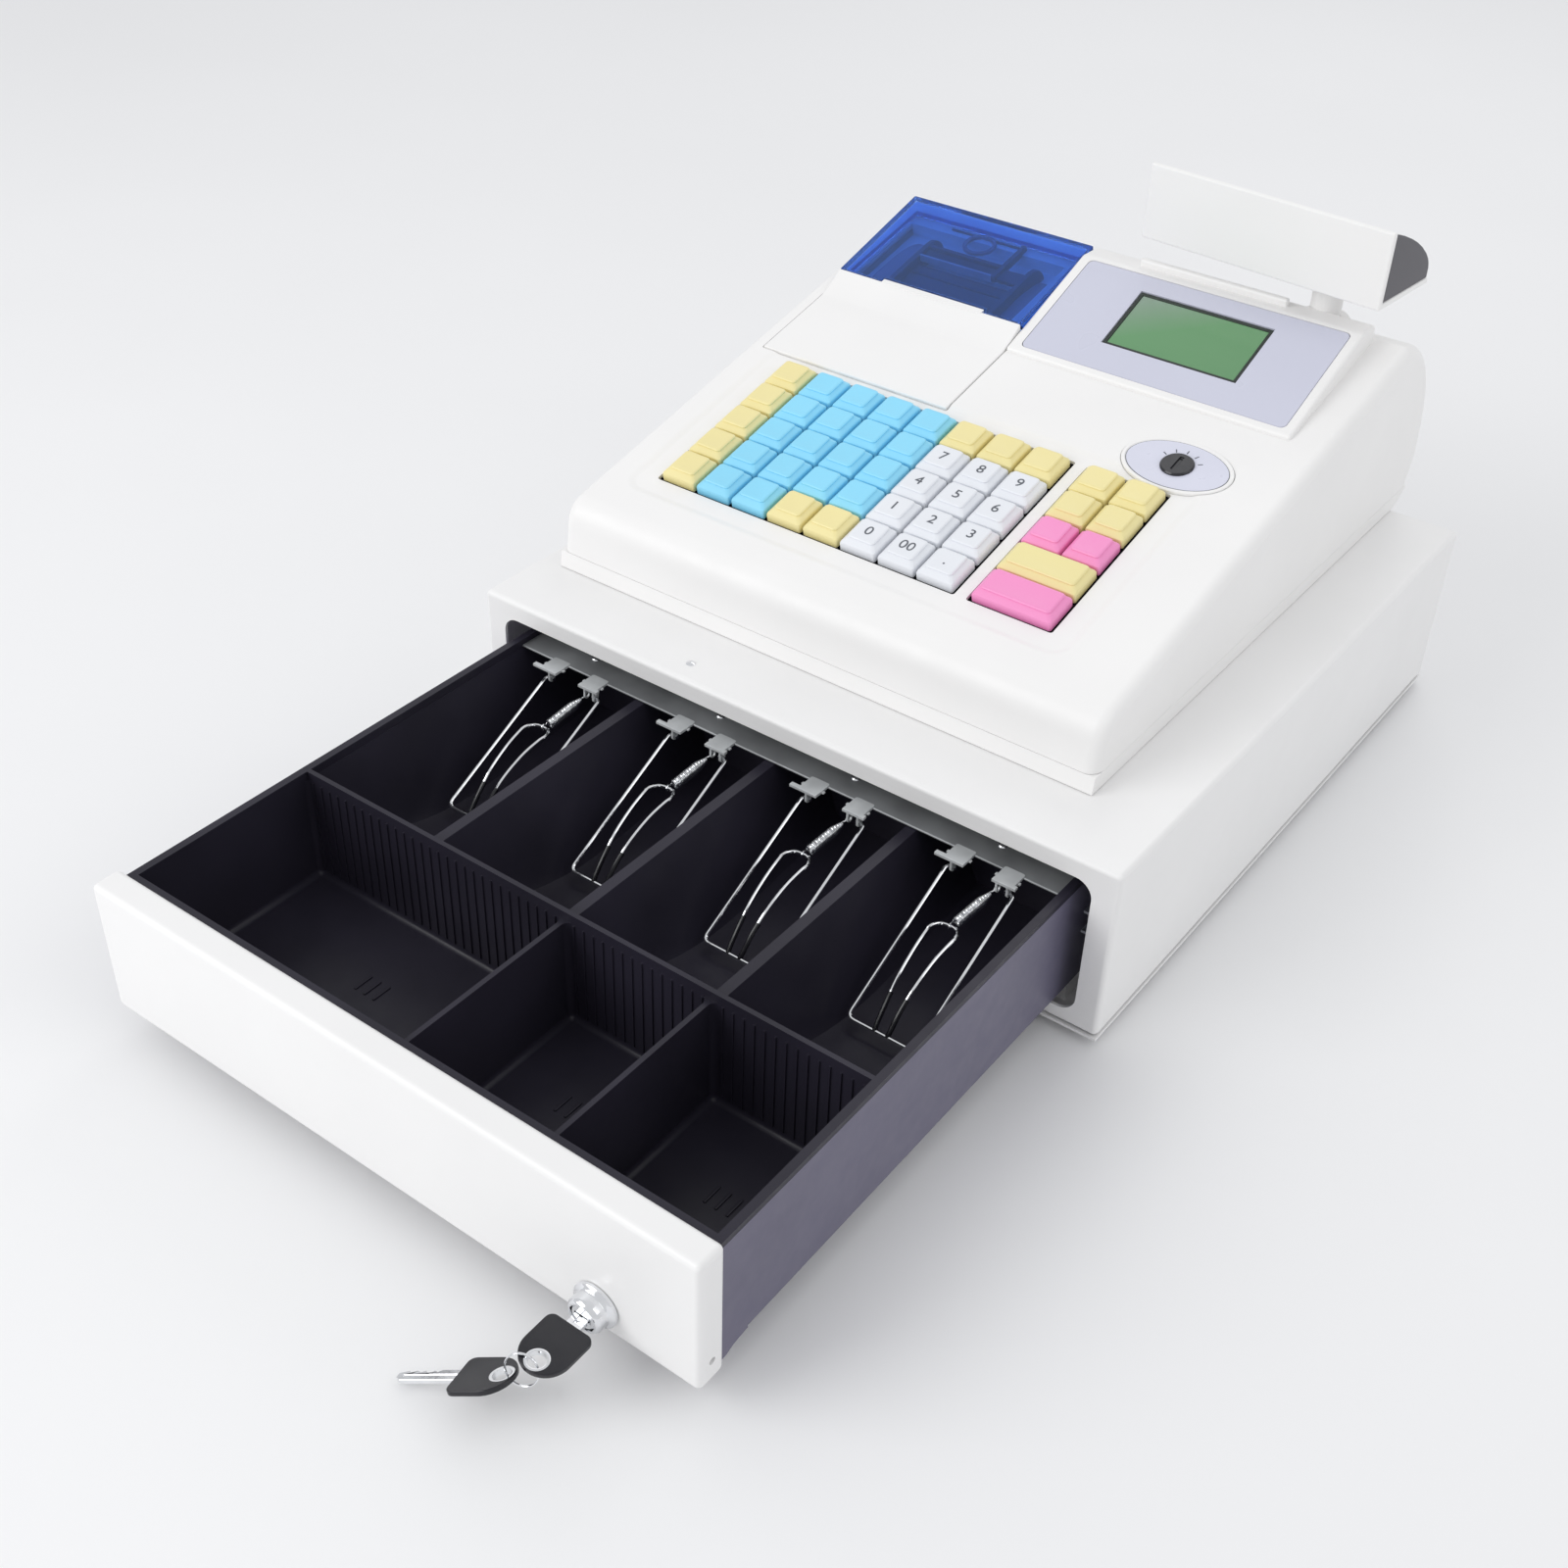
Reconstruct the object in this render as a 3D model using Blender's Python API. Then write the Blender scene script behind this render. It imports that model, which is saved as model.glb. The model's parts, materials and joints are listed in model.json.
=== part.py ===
# Electronic cash register standing on an open cash drawer.
# Metres, +Z up, +Y to the rear, z = 0 under the feet. The drawer is modelled pulled out.
import math

import bmesh
import bpy
from mathutils import Matrix, Vector

# Common clearances and sheet thicknesses
GAP = 0.0003
OVERRUN = 0.004
SHEET = 0.0012
PLASTIC = 0.0025

# Casing
CASING_WIDTH = 0.335
CASING_DEPTH = 0.347
CASING_HEIGHT = 0.087
FRAME_SIDE = 0.0115
FRAME_TOP = 0.0095
FRAME_BOTTOM = 0.0090
FRAME_THICK = 0.0015
OPENING_RADIUS = 0.008
CASING_FOLD = 0.0025
CASING_FOLD_SEGMENTS = 2
FOOT_HEIGHT = 0.004
FOOT_RADIUS = 0.011
FOOT_INSET_X = 0.030
FOOT_INSET_Y = 0.028
FOOT_STRIP_THICK = 0.0014
FOOT_STRIP_WIDTH = 0.012
FOOT_SIDES = 20

# Drawer
DRAWER_STAY = 0.0451
DRAWER_PROUD = 0.0010
FRONT_CLEAR = 0.0060
FRONT_TOP_CLEAR = 0.0045
FRONT_LIFT = 0.0010
FRONT_THICK = 0.0133
FRONT_FOLD = 0.0025
FRONT_FOLD_SEGMENTS = 2
FRONT_SCREW_RADIUS = 0.0016
FRONT_SCREW_DEPTH = 0.0040
FRONT_SCREW_LIFT = 0.0105
PAN_INSET = 0.0028
PAN_LENGTH = 0.268
PAN_TOP_DROP = 0.0058
PAN_SHEET = 0.0010
PAN_LIFT = 0.0030
PAN_TAB_DROP = 0.0024
PAN_TAB_LENGTH = 0.0160
EAR_LENGTH = 0.026
EAR_HEIGHT = 0.0085
EAR_LIFT = 0.030
RUNNER_SHEET = 0.0012
RUNNER_LENGTH = 0.318
PAD_WIDTH = 0.012
PAD_LENGTH = 0.020

# Cash tray
TRAY_WALL = 0.0022
TRAY_FLOOR = 0.0025
TRAY_RIM_DROP = 0.0024
TRAY_END_CLEAR = 0.0107
COIN_LENGTH = 0.0865
COIN_SPLIT_SHARES = (0.5, 0.75)
DIVIDER_TOP = 0.0050
DIVIDER_SLOPE_SHARE = 0.2193
BILL_BAYS = 4
DIVIDER_DROP = 0.0040
BILL_FLOOR_RISE_SHARES = (0.43, 0.18, 0.07, 0.07, 0.11, 0.14)

# Clip rail and bill clips
RAIL_SETBACK = 0.0354
RAIL_DEPTH = 0.022
RAIL_THICK = 0.0012
RAIL_STUD_RADIUS = 0.0021
RAIL_STUD_HEIGHT = 0.0014
RAIL_STUD_SETBACK = 0.0125
RAIL_STUD_SIDES = 10
BRACKET_WIDTH_SHARE = 0.2056
BRACKET_REACH = 0.0080
BRACKET_THICK = 0.0010
BRACKET_OFFSET_SHARE = 0.1439
EAR_THICK = 0.0010
EAR_REACH = 0.0036
CLIP_DROP = 0.0078
CLIP_FORWARD = 0.0034
CLIP_LENGTH = 0.0760
CLIP_HALF_WIDTH_SHARE = 0.2193
CLIP_ANGLE = 27.0
CLIP_WIRE = 0.0009
CLIP_TAIL = 0.0044
CLIP_CORNER = 0.0035
HAIRPIN_WIRE = 0.0008
HAIRPIN_LOOP = 0.0255
HAIRPIN_HALF_WIDTH = 0.0036
HAIRPIN_TOE = 0.0032
HAIRPIN_RISE = 0.0036
SPRING_START = 0.0035
SPRING_END = 0.0215
SPRING_RADIUS = 0.0019
SPRING_WIRE = 0.00045
SPRING_CURLS = 10
SPRING_STEPS = 8
SPRING_TURN_IN = 0.0012

# Lock and keys on the drawer front
LOCK_INSET = 0.0444
LOCK_HEIGHT = 0.0261
LOCK_FLANGE_RADIUS = 0.0095
LOCK_FLANGE_THICK = 0.0022
LOCK_BARREL_RADIUS = 0.0076
LOCK_PROUD = 0.0080
LOCK_TAIL = 0.0075
LOCK_PLUG_RADIUS = 0.0052
LOCK_PLUG_RECESS = 0.0004
LOCK_SIDES = 28
KEYWAY_WIDTH = 0.0072
KEYWAY_HEIGHT = 0.0024
KEY_NECK_WIDTH = 0.0062
KEY_NECK_THICK = 0.0016
KEY_NECK = 0.0042
KEY_BLADE = 0.0090
BOW_WIDTH = 0.0195
BOW_LENGTH = 0.0225
BOW_THICK = 0.0022
BOW_HOLE = 0.0037
BOW_HOLE_INSET = 0.0049
BOW_CORNER = 0.0030
RING_RADIUS = 0.0062
RING_WIRE = 0.0006
RING_STEPS = 28
RING_SLOPE = 65.0
RING_HANG = 0.0008
SPARE_HANG = 0.0021
SPARE_HEADING_SHARES = (-0.865, -0.344, -0.365)
SPARE_BLADE_LENGTH = 0.0240
SPARE_BLADE_WIDTH = 0.0056
SPARE_BLADE_THICK = 0.0016

# Register head
HEAD_LEFT = 0.1547
HEAD_RIGHT = 0.1323
HEAD_FRONT = 0.0380
HEAD_BASE_HEIGHT = 0.0080
HEAD_BASE_LIFT = 0.0003
HEAD_FRONT_HEIGHT = 0.0311
HEAD_FRONT_LEAN = 0.0045
HEAD_FRONT_ROUND = 0.0100
HEAD_SIDE_ROUND = 0.0060
HEAD_SIDE_SEGMENTS = 3
DECK_ANGLE = 13.0
DECK_END = 0.3180
BACK_BULGE = 0.0484
BULGE_HEIGHT = 0.0260
BACK_TUCK = 0.0214
BACK_STEPS = 6

# Display wedge, measured on the deck: across, up the slope, and out from it
WEDGE_LEFT = 0.0363
WEDGE_RIGHT = 0.1135
WEDGE_START = 0.2000
WEDGE_FRONT_STEP = 0.0019
WEDGE_PEAK_START = 0.2735
WEDGE_PEAK = 0.0119
WEDGE_END = 0.2873
WEDGE_END_STEP = 0.0084
BEZEL_LEFT = 0.0304
BEZEL_WIDTH = 0.1388
BEZEL_HEIGHT = 0.0678
BEZEL_THICK = 0.0012
BEZEL_INSET = 0.0042
BEZEL_CORNER = 0.0030
LCD_FROM_LEFT = 0.0348
LCD_FROM_BOTTOM = 0.0177
LCD_WIDTH = 0.0704
LCD_HEIGHT = 0.0391
LCD_THICK = 0.0040
LCD_RECESS = 0.0006
RIDGE_LEFT = 0.0070
RIDGE_LENGTH = 0.0790
RIDGE_WIDTH = 0.0052
RIDGE_HEIGHT = 0.0022

# Keyboard, on the deck
KEY_PITCH = 0.0203
KEY_ROW_PITCH = 0.0200
KEY_LEFT = 0.1163
KEY_BACK_ROW = 0.1313
KEY_COLUMNS = 8
KEY_ROWS = 5
KEY_BLOCK_STEP = 0.1704
KEY_BASE = 0.0194
KEY_TOP = 0.0142
KEY_TOP_SHIFT = 0.0008
KEY_PROUD = 0.0048
KEY_SKIRT = 0.0020
KEY_TOP_ROUND = 0.0010
KEY_MARGIN = 0.0006
KEY_TRAVEL = 0.0030
KEY_STEM = 0.0052
KEY_WEB = 0.0008
KEY_WEB_WIDTH = 0.0040
PLATE_THICK = 0.0016
PLATE_DROP = 0.0030
PLATE_LIP = 0.0018
PLATE_RIM = 0.0012
SOCKET_DEPTH = 0.0042

# Mode switch, on the deck
SWITCH_FROM_CENTRE = 0.0782
SWITCH_UP = 0.1608
SWITCH_HALF_WIDTH = 0.0268
SWITCH_HALF_HEIGHT = 0.0180
SWITCH_THICK = 0.0018
SWITCH_SUNK = 0.0010
SWITCH_SIDES = 36
ROTOR_RADIUS = 0.0078
ROTOR_PROUD = 0.0016
ROTOR_SHAFT = 0.0032
ROTOR_DEPTH = 0.0120
ROTOR_SIDES = 24
ROTOR_SLOT_WIDTH = 0.0022
ROTOR_SLOT_LENGTH = 0.0100
ROTOR_SLOT_DEPTH = 0.0010

# Printer, on the deck
WELL_LEFT = 0.1456
WELL_WIDTH = 0.1096
WELL_START = 0.1468
PANEL_LENGTH = 0.0679
PANEL_RAMP = 0.0180
PANEL_PROUD = 0.0006
COVER_LENGTH = 0.0703
COVER_THICK = 0.0022
COVER_DROP = 0.0018
COVER_CUT = 0.0040
COVER_FRONT_HEIGHT = 0.0062
COVER_BACK_HEIGHT = 0.0102
WELL_CLEAR = 0.0006
LEDGE_WIDTH = 0.0030
LEDGE_THICK = 0.0016
RIB_THICK = 0.0030
RIB_SPREAD = 0.0300
RIB_LENGTH = 0.0360
EXIT_LEFT = 0.0261
EXIT_WIDTH = 0.0610
EXIT_DEPTH = 0.0030
PRINTER_HEIGHT = 0.0300
PRINTER_LENGTH = 0.0440
PRINTER_WIDTH = 0.0860
PRINTER_TOP_DEPTH = 0.0140
CHEEK_THICK = 0.0030
CHEEK_RISE = 0.0060
ROLL_RADIUS = 0.0240
ROLL_CORE = 0.0065
ROLL_WIDTH = 0.0570
ROLL_DEPTH = 0.0380
ROLL_UP_SHARE = 0.597
ROLL_SIDES = 32
SPINDLE_RADIUS = 0.0060

# Power inlet at the rear of the head
INLET_FROM_CENTRE = 0.1050
INLET_RADIUS = 0.0060
INLET_BORE = 0.0030
INLET_DEPTH = 0.0110
INLET_LIFT = 0.0150
INLET_SIDES = 18

# Customer display
POST_FROM_CENTRE = 0.0855
POST_BACK = 0.3220
POST_RADIUS = 0.0075
POST_SIDES = 24
BOSS_RADIUS = 0.0125
BOSS_RISE = 0.0040
DISPLAY_LEFT = 0.0074
DISPLAY_WIDTH = 0.1289
DISPLAY_FRONT = 0.2998
DISPLAY_DEPTH = 0.0479
DISPLAY_LIFT = 0.2096
DISPLAY_TURN = -4.95
DISPLAY_HEIGHT = 0.0367
DISPLAY_WALL = 0.0030
DISPLAY_EDGE = 0.0080
LENS_WALL = 0.0020
LENS_STEPS = 8
LENS_TOP_ANGLE = 35.0

# Latch at the back of the casing
LATCH_WIDTH = 0.0500
LATCH_HEIGHT = 0.0300
LATCH_LENGTH = 0.0220
LATCH_PLUNGER = 0.0040

# Places worked out from the sizes above
FLOOR_TOP = FOOT_HEIGHT + SHEET
CASING_TOP = FOOT_HEIGHT + CASING_HEIGHT
OPENING_WIDTH = CASING_WIDTH - 2 * FRAME_SIDE
OPENING_LOW = FOOT_HEIGHT + FRAME_BOTTOM
OPENING_HIGH = CASING_TOP - FRAME_TOP
FRONT_WIDTH = OPENING_WIDTH - 2 * FRONT_CLEAR
FRONT_LOW = OPENING_LOW + FRONT_LIFT
FRONT_HIGH = OPENING_HIGH - FRONT_TOP_CLEAR
CLOSED_FRONT_BACK = FRONT_THICK - DRAWER_PROUD + GAP
TRAVEL = CLOSED_FRONT_BACK + PAN_LENGTH - DRAWER_STAY
FRONT_FACE = -(TRAVEL + DRAWER_PROUD)
PAN_FRONT = FRONT_FACE + FRONT_THICK + GAP
PAN_BACK = PAN_FRONT + PAN_LENGTH
PAN_WIDTH = FRONT_WIDTH - 2 * PAN_INSET
PAN_LOW = OPENING_LOW + PAN_LIFT
PAN_HIGH = FRONT_HIGH - PAN_TOP_DROP
TRAY_WIDTH = PAN_WIDTH - 2 * (PAN_SHEET + GAP)
TRAY_FRONT = PAN_FRONT + PAN_SHEET + GAP
TRAY_BACK = PAN_BACK - PAN_SHEET - TRAY_END_CLEAR
TRAY_LOW = PAN_LOW + PAN_SHEET + GAP
TRAY_HIGH = PAN_HIGH + GAP + TRAY_RIM_DROP
COIN_BACK = TRAY_FRONT + TRAY_WALL + COIN_LENGTH
BAY_PITCH = TRAY_WIDTH / BILL_BAYS
DIVIDER_SLOPE = BAY_PITCH * DIVIDER_SLOPE_SHARE
BRACKET_WIDTH = BAY_PITCH * BRACKET_WIDTH_SHARE
BRACKET_OFFSET = BAY_PITCH * BRACKET_OFFSET_SHARE
CLIP_HALF_WIDTH = BAY_PITCH * CLIP_HALF_WIDTH_SHARE
BAY_CENTRES = [BAY_PITCH * (i - (BILL_BAYS - 1) / 2) for i in range(BILL_BAYS)]
DIVIDER_HIGH = TRAY_HIGH - DIVIDER_DROP
RAIL_START = TRAY_BACK - RAIL_SETBACK
RAIL_LOW = DIVIDER_HIGH + GAP
RAIL_HIGH = RAIL_LOW + RAIL_THICK
CLIP_PIVOT_Y = RAIL_START - CLIP_FORWARD
CLIP_PIVOT_Z = RAIL_HIGH - CLIP_DROP
LOCK_X = FRONT_WIDTH / 2 - LOCK_INSET
LOCK_Z = LOCK_HEIGHT
BASE_LOW = CASING_TOP + HEAD_BASE_LIFT
SEAM = BASE_LOW + HEAD_BASE_HEIGHT
DECK_SLOPE = math.tan(math.radians(DECK_ANGLE))
DECK_FRONT_Z = BASE_LOW + HEAD_FRONT_HEIGHT
DECK_END_Z = DECK_FRONT_Z + (DECK_END - HEAD_FRONT) * DECK_SLOPE
BULGE_Z = BASE_LOW + BULGE_HEIGHT
HEAD_BACK = DECK_END + BACK_BULGE
BASE_BACK = HEAD_BACK - BACK_TUCK
BEZEL_SLOPE = math.atan2(WEDGE_PEAK - WEDGE_FRONT_STEP, WEDGE_PEAK_START - WEDGE_START)
PLATE_TOP = -PLASTIC - PLATE_DROP
KEY_BOTTOM = PLATE_TOP + KEY_TRAVEL + GAP
PANEL_END = WELL_START + PANEL_LENGTH
COVER_START = PANEL_END + GAP
COVER_END = COVER_START + COVER_LENGTH
WELL_RIGHT = WELL_WIDTH - WELL_LEFT
ROLL_X = -WELL_LEFT + WELL_WIDTH / 2
ROLL_UP = COVER_START + COVER_LENGTH * ROLL_UP_SHARE
KEY_HOLE_Y = FRONT_FACE - LOCK_PROUD - KEY_NECK - BOW_LENGTH + BOW_HOLE_INSET


def clear_scene():
    for item in list(bpy.data.objects):
        bpy.data.objects.remove(item, do_unlink=True)


def material(name, colour, roughness, metallic=0.0, alpha=1.0):
    made = bpy.data.materials.new(name)
    made.use_nodes = True
    shader = made.node_tree.nodes["Principled BSDF"]
    shader.inputs["Base Color"].default_value = (*colour, 1.0)
    shader.inputs["Roughness"].default_value = roughness
    shader.inputs["Metallic"].default_value = metallic
    shader.inputs["Alpha"].default_value = alpha
    return made


def empty(name, location, parent=None, angle=0.0):
    frame = bpy.data.objects.new(name, None)
    bpy.context.scene.collection.objects.link(frame)
    frame.parent = parent
    frame.location = location
    frame.rotation_euler = (math.radians(angle), 0.0, 0.0)
    return frame


def add(name, mesh, parent, slot=None, origin=(0.0, 0.0, 0.0), smooth=30.0):
    """Makes an object whose origin lies at a point given in its parent's frame."""
    mesh.transform(Matrix.Translation(-Vector(origin)))
    mesh.shade_smooth()
    mesh.set_sharp_from_angle(angle=math.radians(smooth))
    item = bpy.data.objects.new(name, mesh)
    bpy.context.scene.collection.objects.link(item)
    item.parent = parent
    item.location = origin
    if slot is not None:
        item.data.materials.append(slot)
    return item


def finished(work, name="shape"):
    bmesh.ops.recalc_face_normals(work, faces=work.faces)
    mesh = bpy.data.meshes.new(name)
    work.to_mesh(mesh)
    work.free()
    return mesh


def box_mesh(low, high):
    work = bmesh.new()
    bmesh.ops.create_cube(work, size=1.0)
    for vert in work.verts:
        vert.co = Vector([(a + b) / 2 + c * (b - a) for a, b, c in zip(low, high, vert.co)])
    return finished(work)


def prism_mesh(points, start, end, axis=0):
    """A closed outline swept along an axis. Its points give the other two axes in order."""
    work = bmesh.new()
    rings = []
    for place in (start, end):
        ring = []
        for first, second in points:
            spot = [first, second]
            spot.insert(axis, place)
            ring.append(work.verts.new(spot))
        rings.append(ring)
    work.faces.new(rings[0])
    work.faces.new(rings[1])
    count = len(points)
    for i in range(count):
        j = (i + 1) % count
        work.faces.new((rings[0][i], rings[0][j], rings[1][j], rings[1][i]))
    return finished(work)


def loft_mesh(rings):
    """Joins rings of equal length into one closed skin."""
    work = bmesh.new()
    made = [[work.verts.new(spot) for spot in ring] for ring in rings]
    work.faces.new(made[0])
    work.faces.new(made[-1])
    for one, two in zip(made, made[1:]):
        count = len(one)
        for i in range(count):
            j = (i + 1) % count
            work.faces.new((one[i], one[j], two[j], two[i]))
    return finished(work)


def disc_points(centre, radii, sides, turn=0.0):
    step = 2 * math.pi / sides
    return [
        (centre[0] + radii[0] * math.cos(i * step + turn), centre[1] + radii[1] * math.sin(i * step + turn))
        for i in range(sides)
    ]


def rounded_points(low, high, radius, steps=3):
    """A rectangle with round corners, anticlockwise."""
    corners = ((high[0], low[1], -90), (high[0], high[1], 0), (low[0], high[1], 90), (low[0], low[1], 180))
    points = []
    for x, y, start in corners:
        cx = x - radius if x == high[0] else x + radius
        cy = y - radius if y == high[1] else y + radius
        for i in range(steps + 1):
            angle = math.radians(start + 90 * i / steps)
            points.append((cx + radius * math.cos(angle), cy + radius * math.sin(angle)))
    return points


def arc(centre, radii, start, end, steps):
    """Points of an ellipse's arc, with angles in degrees."""
    points = []
    for i in range(steps + 1):
        angle = math.radians(start + (end - start) * i / steps)
        points.append((centre[0] + radii[0] * math.cos(angle), centre[1] + radii[1] * math.sin(angle)))
    return points


def inset(points, distance):
    """Moves each side of a closed anticlockwise outline inwards."""
    count = len(points)
    moved = []
    for i in range(count):
        before, here, after = points[i - 1], points[i], points[(i + 1) % count]
        one = Vector((here[0] - before[0], here[1] - before[1])).normalized()
        two = Vector((after[0] - here[0], after[1] - here[1])).normalized()
        normal_one = Vector((-one.y, one.x))
        normal_two = Vector((-two.y, two.x))
        middle = (normal_one + normal_two).normalized()
        reach = distance / max(middle.dot(normal_one), 0.3)
        moved.append((here[0] + middle.x * reach, here[1] + middle.y * reach))
    return moved


def boolean(item, other, operation="DIFFERENCE"):
    modifier = item.modifiers.new(operation.lower(), "BOOLEAN")
    modifier.operation = operation
    modifier.solver = "EXACT"
    modifier.object = other
    other.hide_render = True
    other.display_type = "WIRE"
    return item


def cut(item, mesh, name="cutter"):
    return boolean(item, add(name, mesh, item.parent))


def join(item, mesh, name="addition"):
    return boolean(item, add(name, mesh, item.parent), "UNION")


def bevel(item, width, segments, angle=50.0):
    modifier = item.modifiers.new("bevel", "BEVEL")
    modifier.width = width
    modifier.segments = segments
    modifier.limit_method = "ANGLE"
    modifier.angle_limit = math.radians(angle)
    return item


def tube_mesh(points, radius, resolution=1, closed=False):
    """The mesh of a round wire along points."""
    data = bpy.data.curves.new("wire", "CURVE")
    data.dimensions = "3D"
    data.bevel_depth = radius
    data.bevel_resolution = resolution
    data.use_fill_caps = True
    spline = data.splines.new("POLY")
    spline.points.add(len(points) - 1)
    for spot, point in zip(spline.points, points):
        spot.co = (*point, 1.0)
    spline.use_cyclic_u = closed
    helper = bpy.data.objects.new("wire", data)
    bpy.context.scene.collection.objects.link(helper)
    bpy.context.view_layer.update()
    mesh = bpy.data.meshes.new_from_object(helper)
    bpy.data.objects.remove(helper, do_unlink=True)
    work = bmesh.new()
    work.from_mesh(mesh)
    bmesh.ops.remove_doubles(work, verts=work.verts, dist=radius / 100)
    return finished(work)


def casing_shell(root, slot):
    half = CASING_WIDTH / 2
    low = (-half, 0.0, FOOT_HEIGHT + SHEET + GAP)
    item = add("casing_shell", box_mesh(low, (half, CASING_DEPTH, CASING_TOP)), root, slot)
    bevel(item, CASING_FOLD, CASING_FOLD_SEGMENTS)
    inner_low = (-half + SHEET, FRAME_THICK, FOOT_HEIGHT - OVERRUN)
    inner_high = (half - SHEET, CASING_DEPTH - SHEET, CASING_TOP - SHEET)
    cut(item, box_mesh(inner_low, inner_high))
    wide = OPENING_WIDTH / 2
    mouth = rounded_points((-wide, OPENING_LOW), (wide, OPENING_HIGH), OPENING_RADIUS)
    cut(item, prism_mesh(mouth, -OVERRUN, OVERRUN, axis=1))
    return item


def casing_floor(root, slot):
    half = CASING_WIDTH / 2
    low = (-half, 0.0, FOOT_HEIGHT)
    item = add("casing_floor", box_mesh(low, (half, CASING_DEPTH, FLOOR_TOP)), root, slot)
    reach = PAN_WIDTH / 2 - PAN_SHEET - 2 * GAP
    for side in (-1, 1):
        ends = sorted((side * reach, side * (reach - PAD_WIDTH)))
        low = (ends[0], CLOSED_FRONT_BACK, FLOOR_TOP - SHEET / 2)
        high = (ends[1], CLOSED_FRONT_BACK + PAD_LENGTH, PAN_LOW - GAP)
        join(item, box_mesh(low, high))
    return item


def feet(root, slot):
    """Each strip carries two round pads under the casing floor."""
    x = CASING_WIDTH / 2 - FOOT_INSET_X
    top = FOOT_HEIGHT - GAP
    for name, y in (("front_feet", FOOT_INSET_Y), ("rear_feet", CASING_DEPTH - FOOT_INSET_Y)):
        low = (-x, y - FOOT_STRIP_WIDTH / 2, top - FOOT_STRIP_THICK)
        item = add(name, box_mesh(low, (x, y + FOOT_STRIP_WIDTH / 2, top)), root, slot)
        for side in (-1, 1):
            points = disc_points((side * x, y), (FOOT_RADIUS, FOOT_RADIUS), FOOT_SIDES)
            join(item, prism_mesh(points, 0.0, top, axis=2))


def runner_channels(root, slot):
    """Channels on the casing's walls, behind the closed drawer front, that hold the pan's ears."""
    outer = CASING_WIDTH / 2 - SHEET - GAP
    inner = PAN_WIDTH / 2 + GAP * 3
    low = PAN_LOW + EAR_LIFT - GAP - RUNNER_SHEET
    high = PAN_LOW + EAR_LIFT + EAR_HEIGHT + GAP + RUNNER_SHEET
    start = CLOSED_FRONT_BACK
    for name, side in (("runner_channel_left", -1), ("runner_channel_right", 1)):
        outline = [
            (inner, low), (outer, low), (outer, high), (inner, high),
            (inner, high - RUNNER_SHEET), (outer - RUNNER_SHEET, high - RUNNER_SHEET),
            (outer - RUNNER_SHEET, low + RUNNER_SHEET), (inner, low + RUNNER_SHEET),
        ]
        outline = [(side * x, z) for x, z in outline]
        add(name, prism_mesh(outline, start, start + RUNNER_LENGTH, axis=1), root, slot)


def drawer_latch(root, slot):
    """The spring latch that holds the closed drawer and throws it open."""
    back = CASING_DEPTH - SHEET - GAP
    low = (-LATCH_WIDTH / 2, back - LATCH_LENGTH, FLOOR_TOP + GAP)
    high = (LATCH_WIDTH / 2, back, FLOOR_TOP + GAP + LATCH_HEIGHT)
    item = add("drawer_latch", box_mesh(low, high), root, slot)
    height = low[2] + LATCH_HEIGHT * 2 / 3
    points = disc_points((0.0, height), (LATCH_PLUNGER, LATCH_PLUNGER), 12)
    join(item, prism_mesh(points, PAN_BACK + TRAVEL + GAP, low[1] + OVERRUN, axis=1))


def drawer_pan(root, slot):
    half = PAN_WIDTH / 2
    item = add("drawer_pan", box_mesh((-half, PAN_FRONT, PAN_LOW), (half, PAN_BACK, PAN_HIGH)), root, slot)
    low = (-half + PAN_SHEET, PAN_FRONT + PAN_SHEET, PAN_LOW + PAN_SHEET)
    cut(item, box_mesh(low, (half - PAN_SHEET, PAN_BACK - PAN_SHEET, PAN_HIGH + OVERRUN)))
    reach = CASING_WIDTH / 2 - SHEET - RUNNER_SHEET - 2 * GAP
    for side in (-1, 1):
        ends = sorted((side * (half - PAN_SHEET / 2), side * reach))
        low = (ends[0], PAN_BACK - EAR_LENGTH, PAN_LOW + EAR_LIFT)
        join(item, box_mesh(low, (ends[1], PAN_BACK, low[2] + EAR_HEIGHT)), "ear")
        ends = sorted((side * half, side * (half - PAN_SHEET)))
        tab = [(PAN_FRONT, PAN_LOW + PAN_SHEET), (PAN_FRONT, PAN_LOW - PAN_TAB_DROP)]
        tab.append((PAN_FRONT + PAN_TAB_LENGTH / 4, PAN_LOW - PAN_TAB_DROP))
        tab.append((PAN_FRONT + PAN_TAB_LENGTH / 2, PAN_LOW - PAN_TAB_DROP / 3))
        tab.append((PAN_FRONT + PAN_TAB_LENGTH, PAN_LOW + PAN_SHEET / 4))
        tab.append((PAN_FRONT + PAN_TAB_LENGTH, PAN_LOW + PAN_SHEET))
        join(item, prism_mesh(tab, *ends), "tab")
    return item


def drawer_front(root, slot):
    half = FRONT_WIDTH / 2
    high = (half, FRONT_FACE + FRONT_THICK, FRONT_HIGH)
    item = add("drawer_front", box_mesh((-half, FRONT_FACE, FRONT_LOW), high), root, slot)
    bevel(item, FRONT_FOLD, FRONT_FOLD_SEGMENTS)
    radius = LOCK_BARREL_RADIUS + GAP
    hole = disc_points((LOCK_X, LOCK_Z), (radius, radius), LOCK_SIDES)
    cut(item, prism_mesh(hole, FRONT_FACE - OVERRUN, FRONT_FACE + LOCK_TAIL + GAP, axis=1))
    for side in (-1, 1):
        spot = (FRONT_FACE + FRONT_THICK / 2, FRONT_LOW + FRONT_SCREW_LIFT)
        screw = disc_points(spot, (FRONT_SCREW_RADIUS,) * 2, 10)
        ends = sorted((side * (half - FRONT_SCREW_DEPTH), side * (half + OVERRUN)))
        cut(item, prism_mesh(screw, *ends), "screw_hole")
    return item


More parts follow.
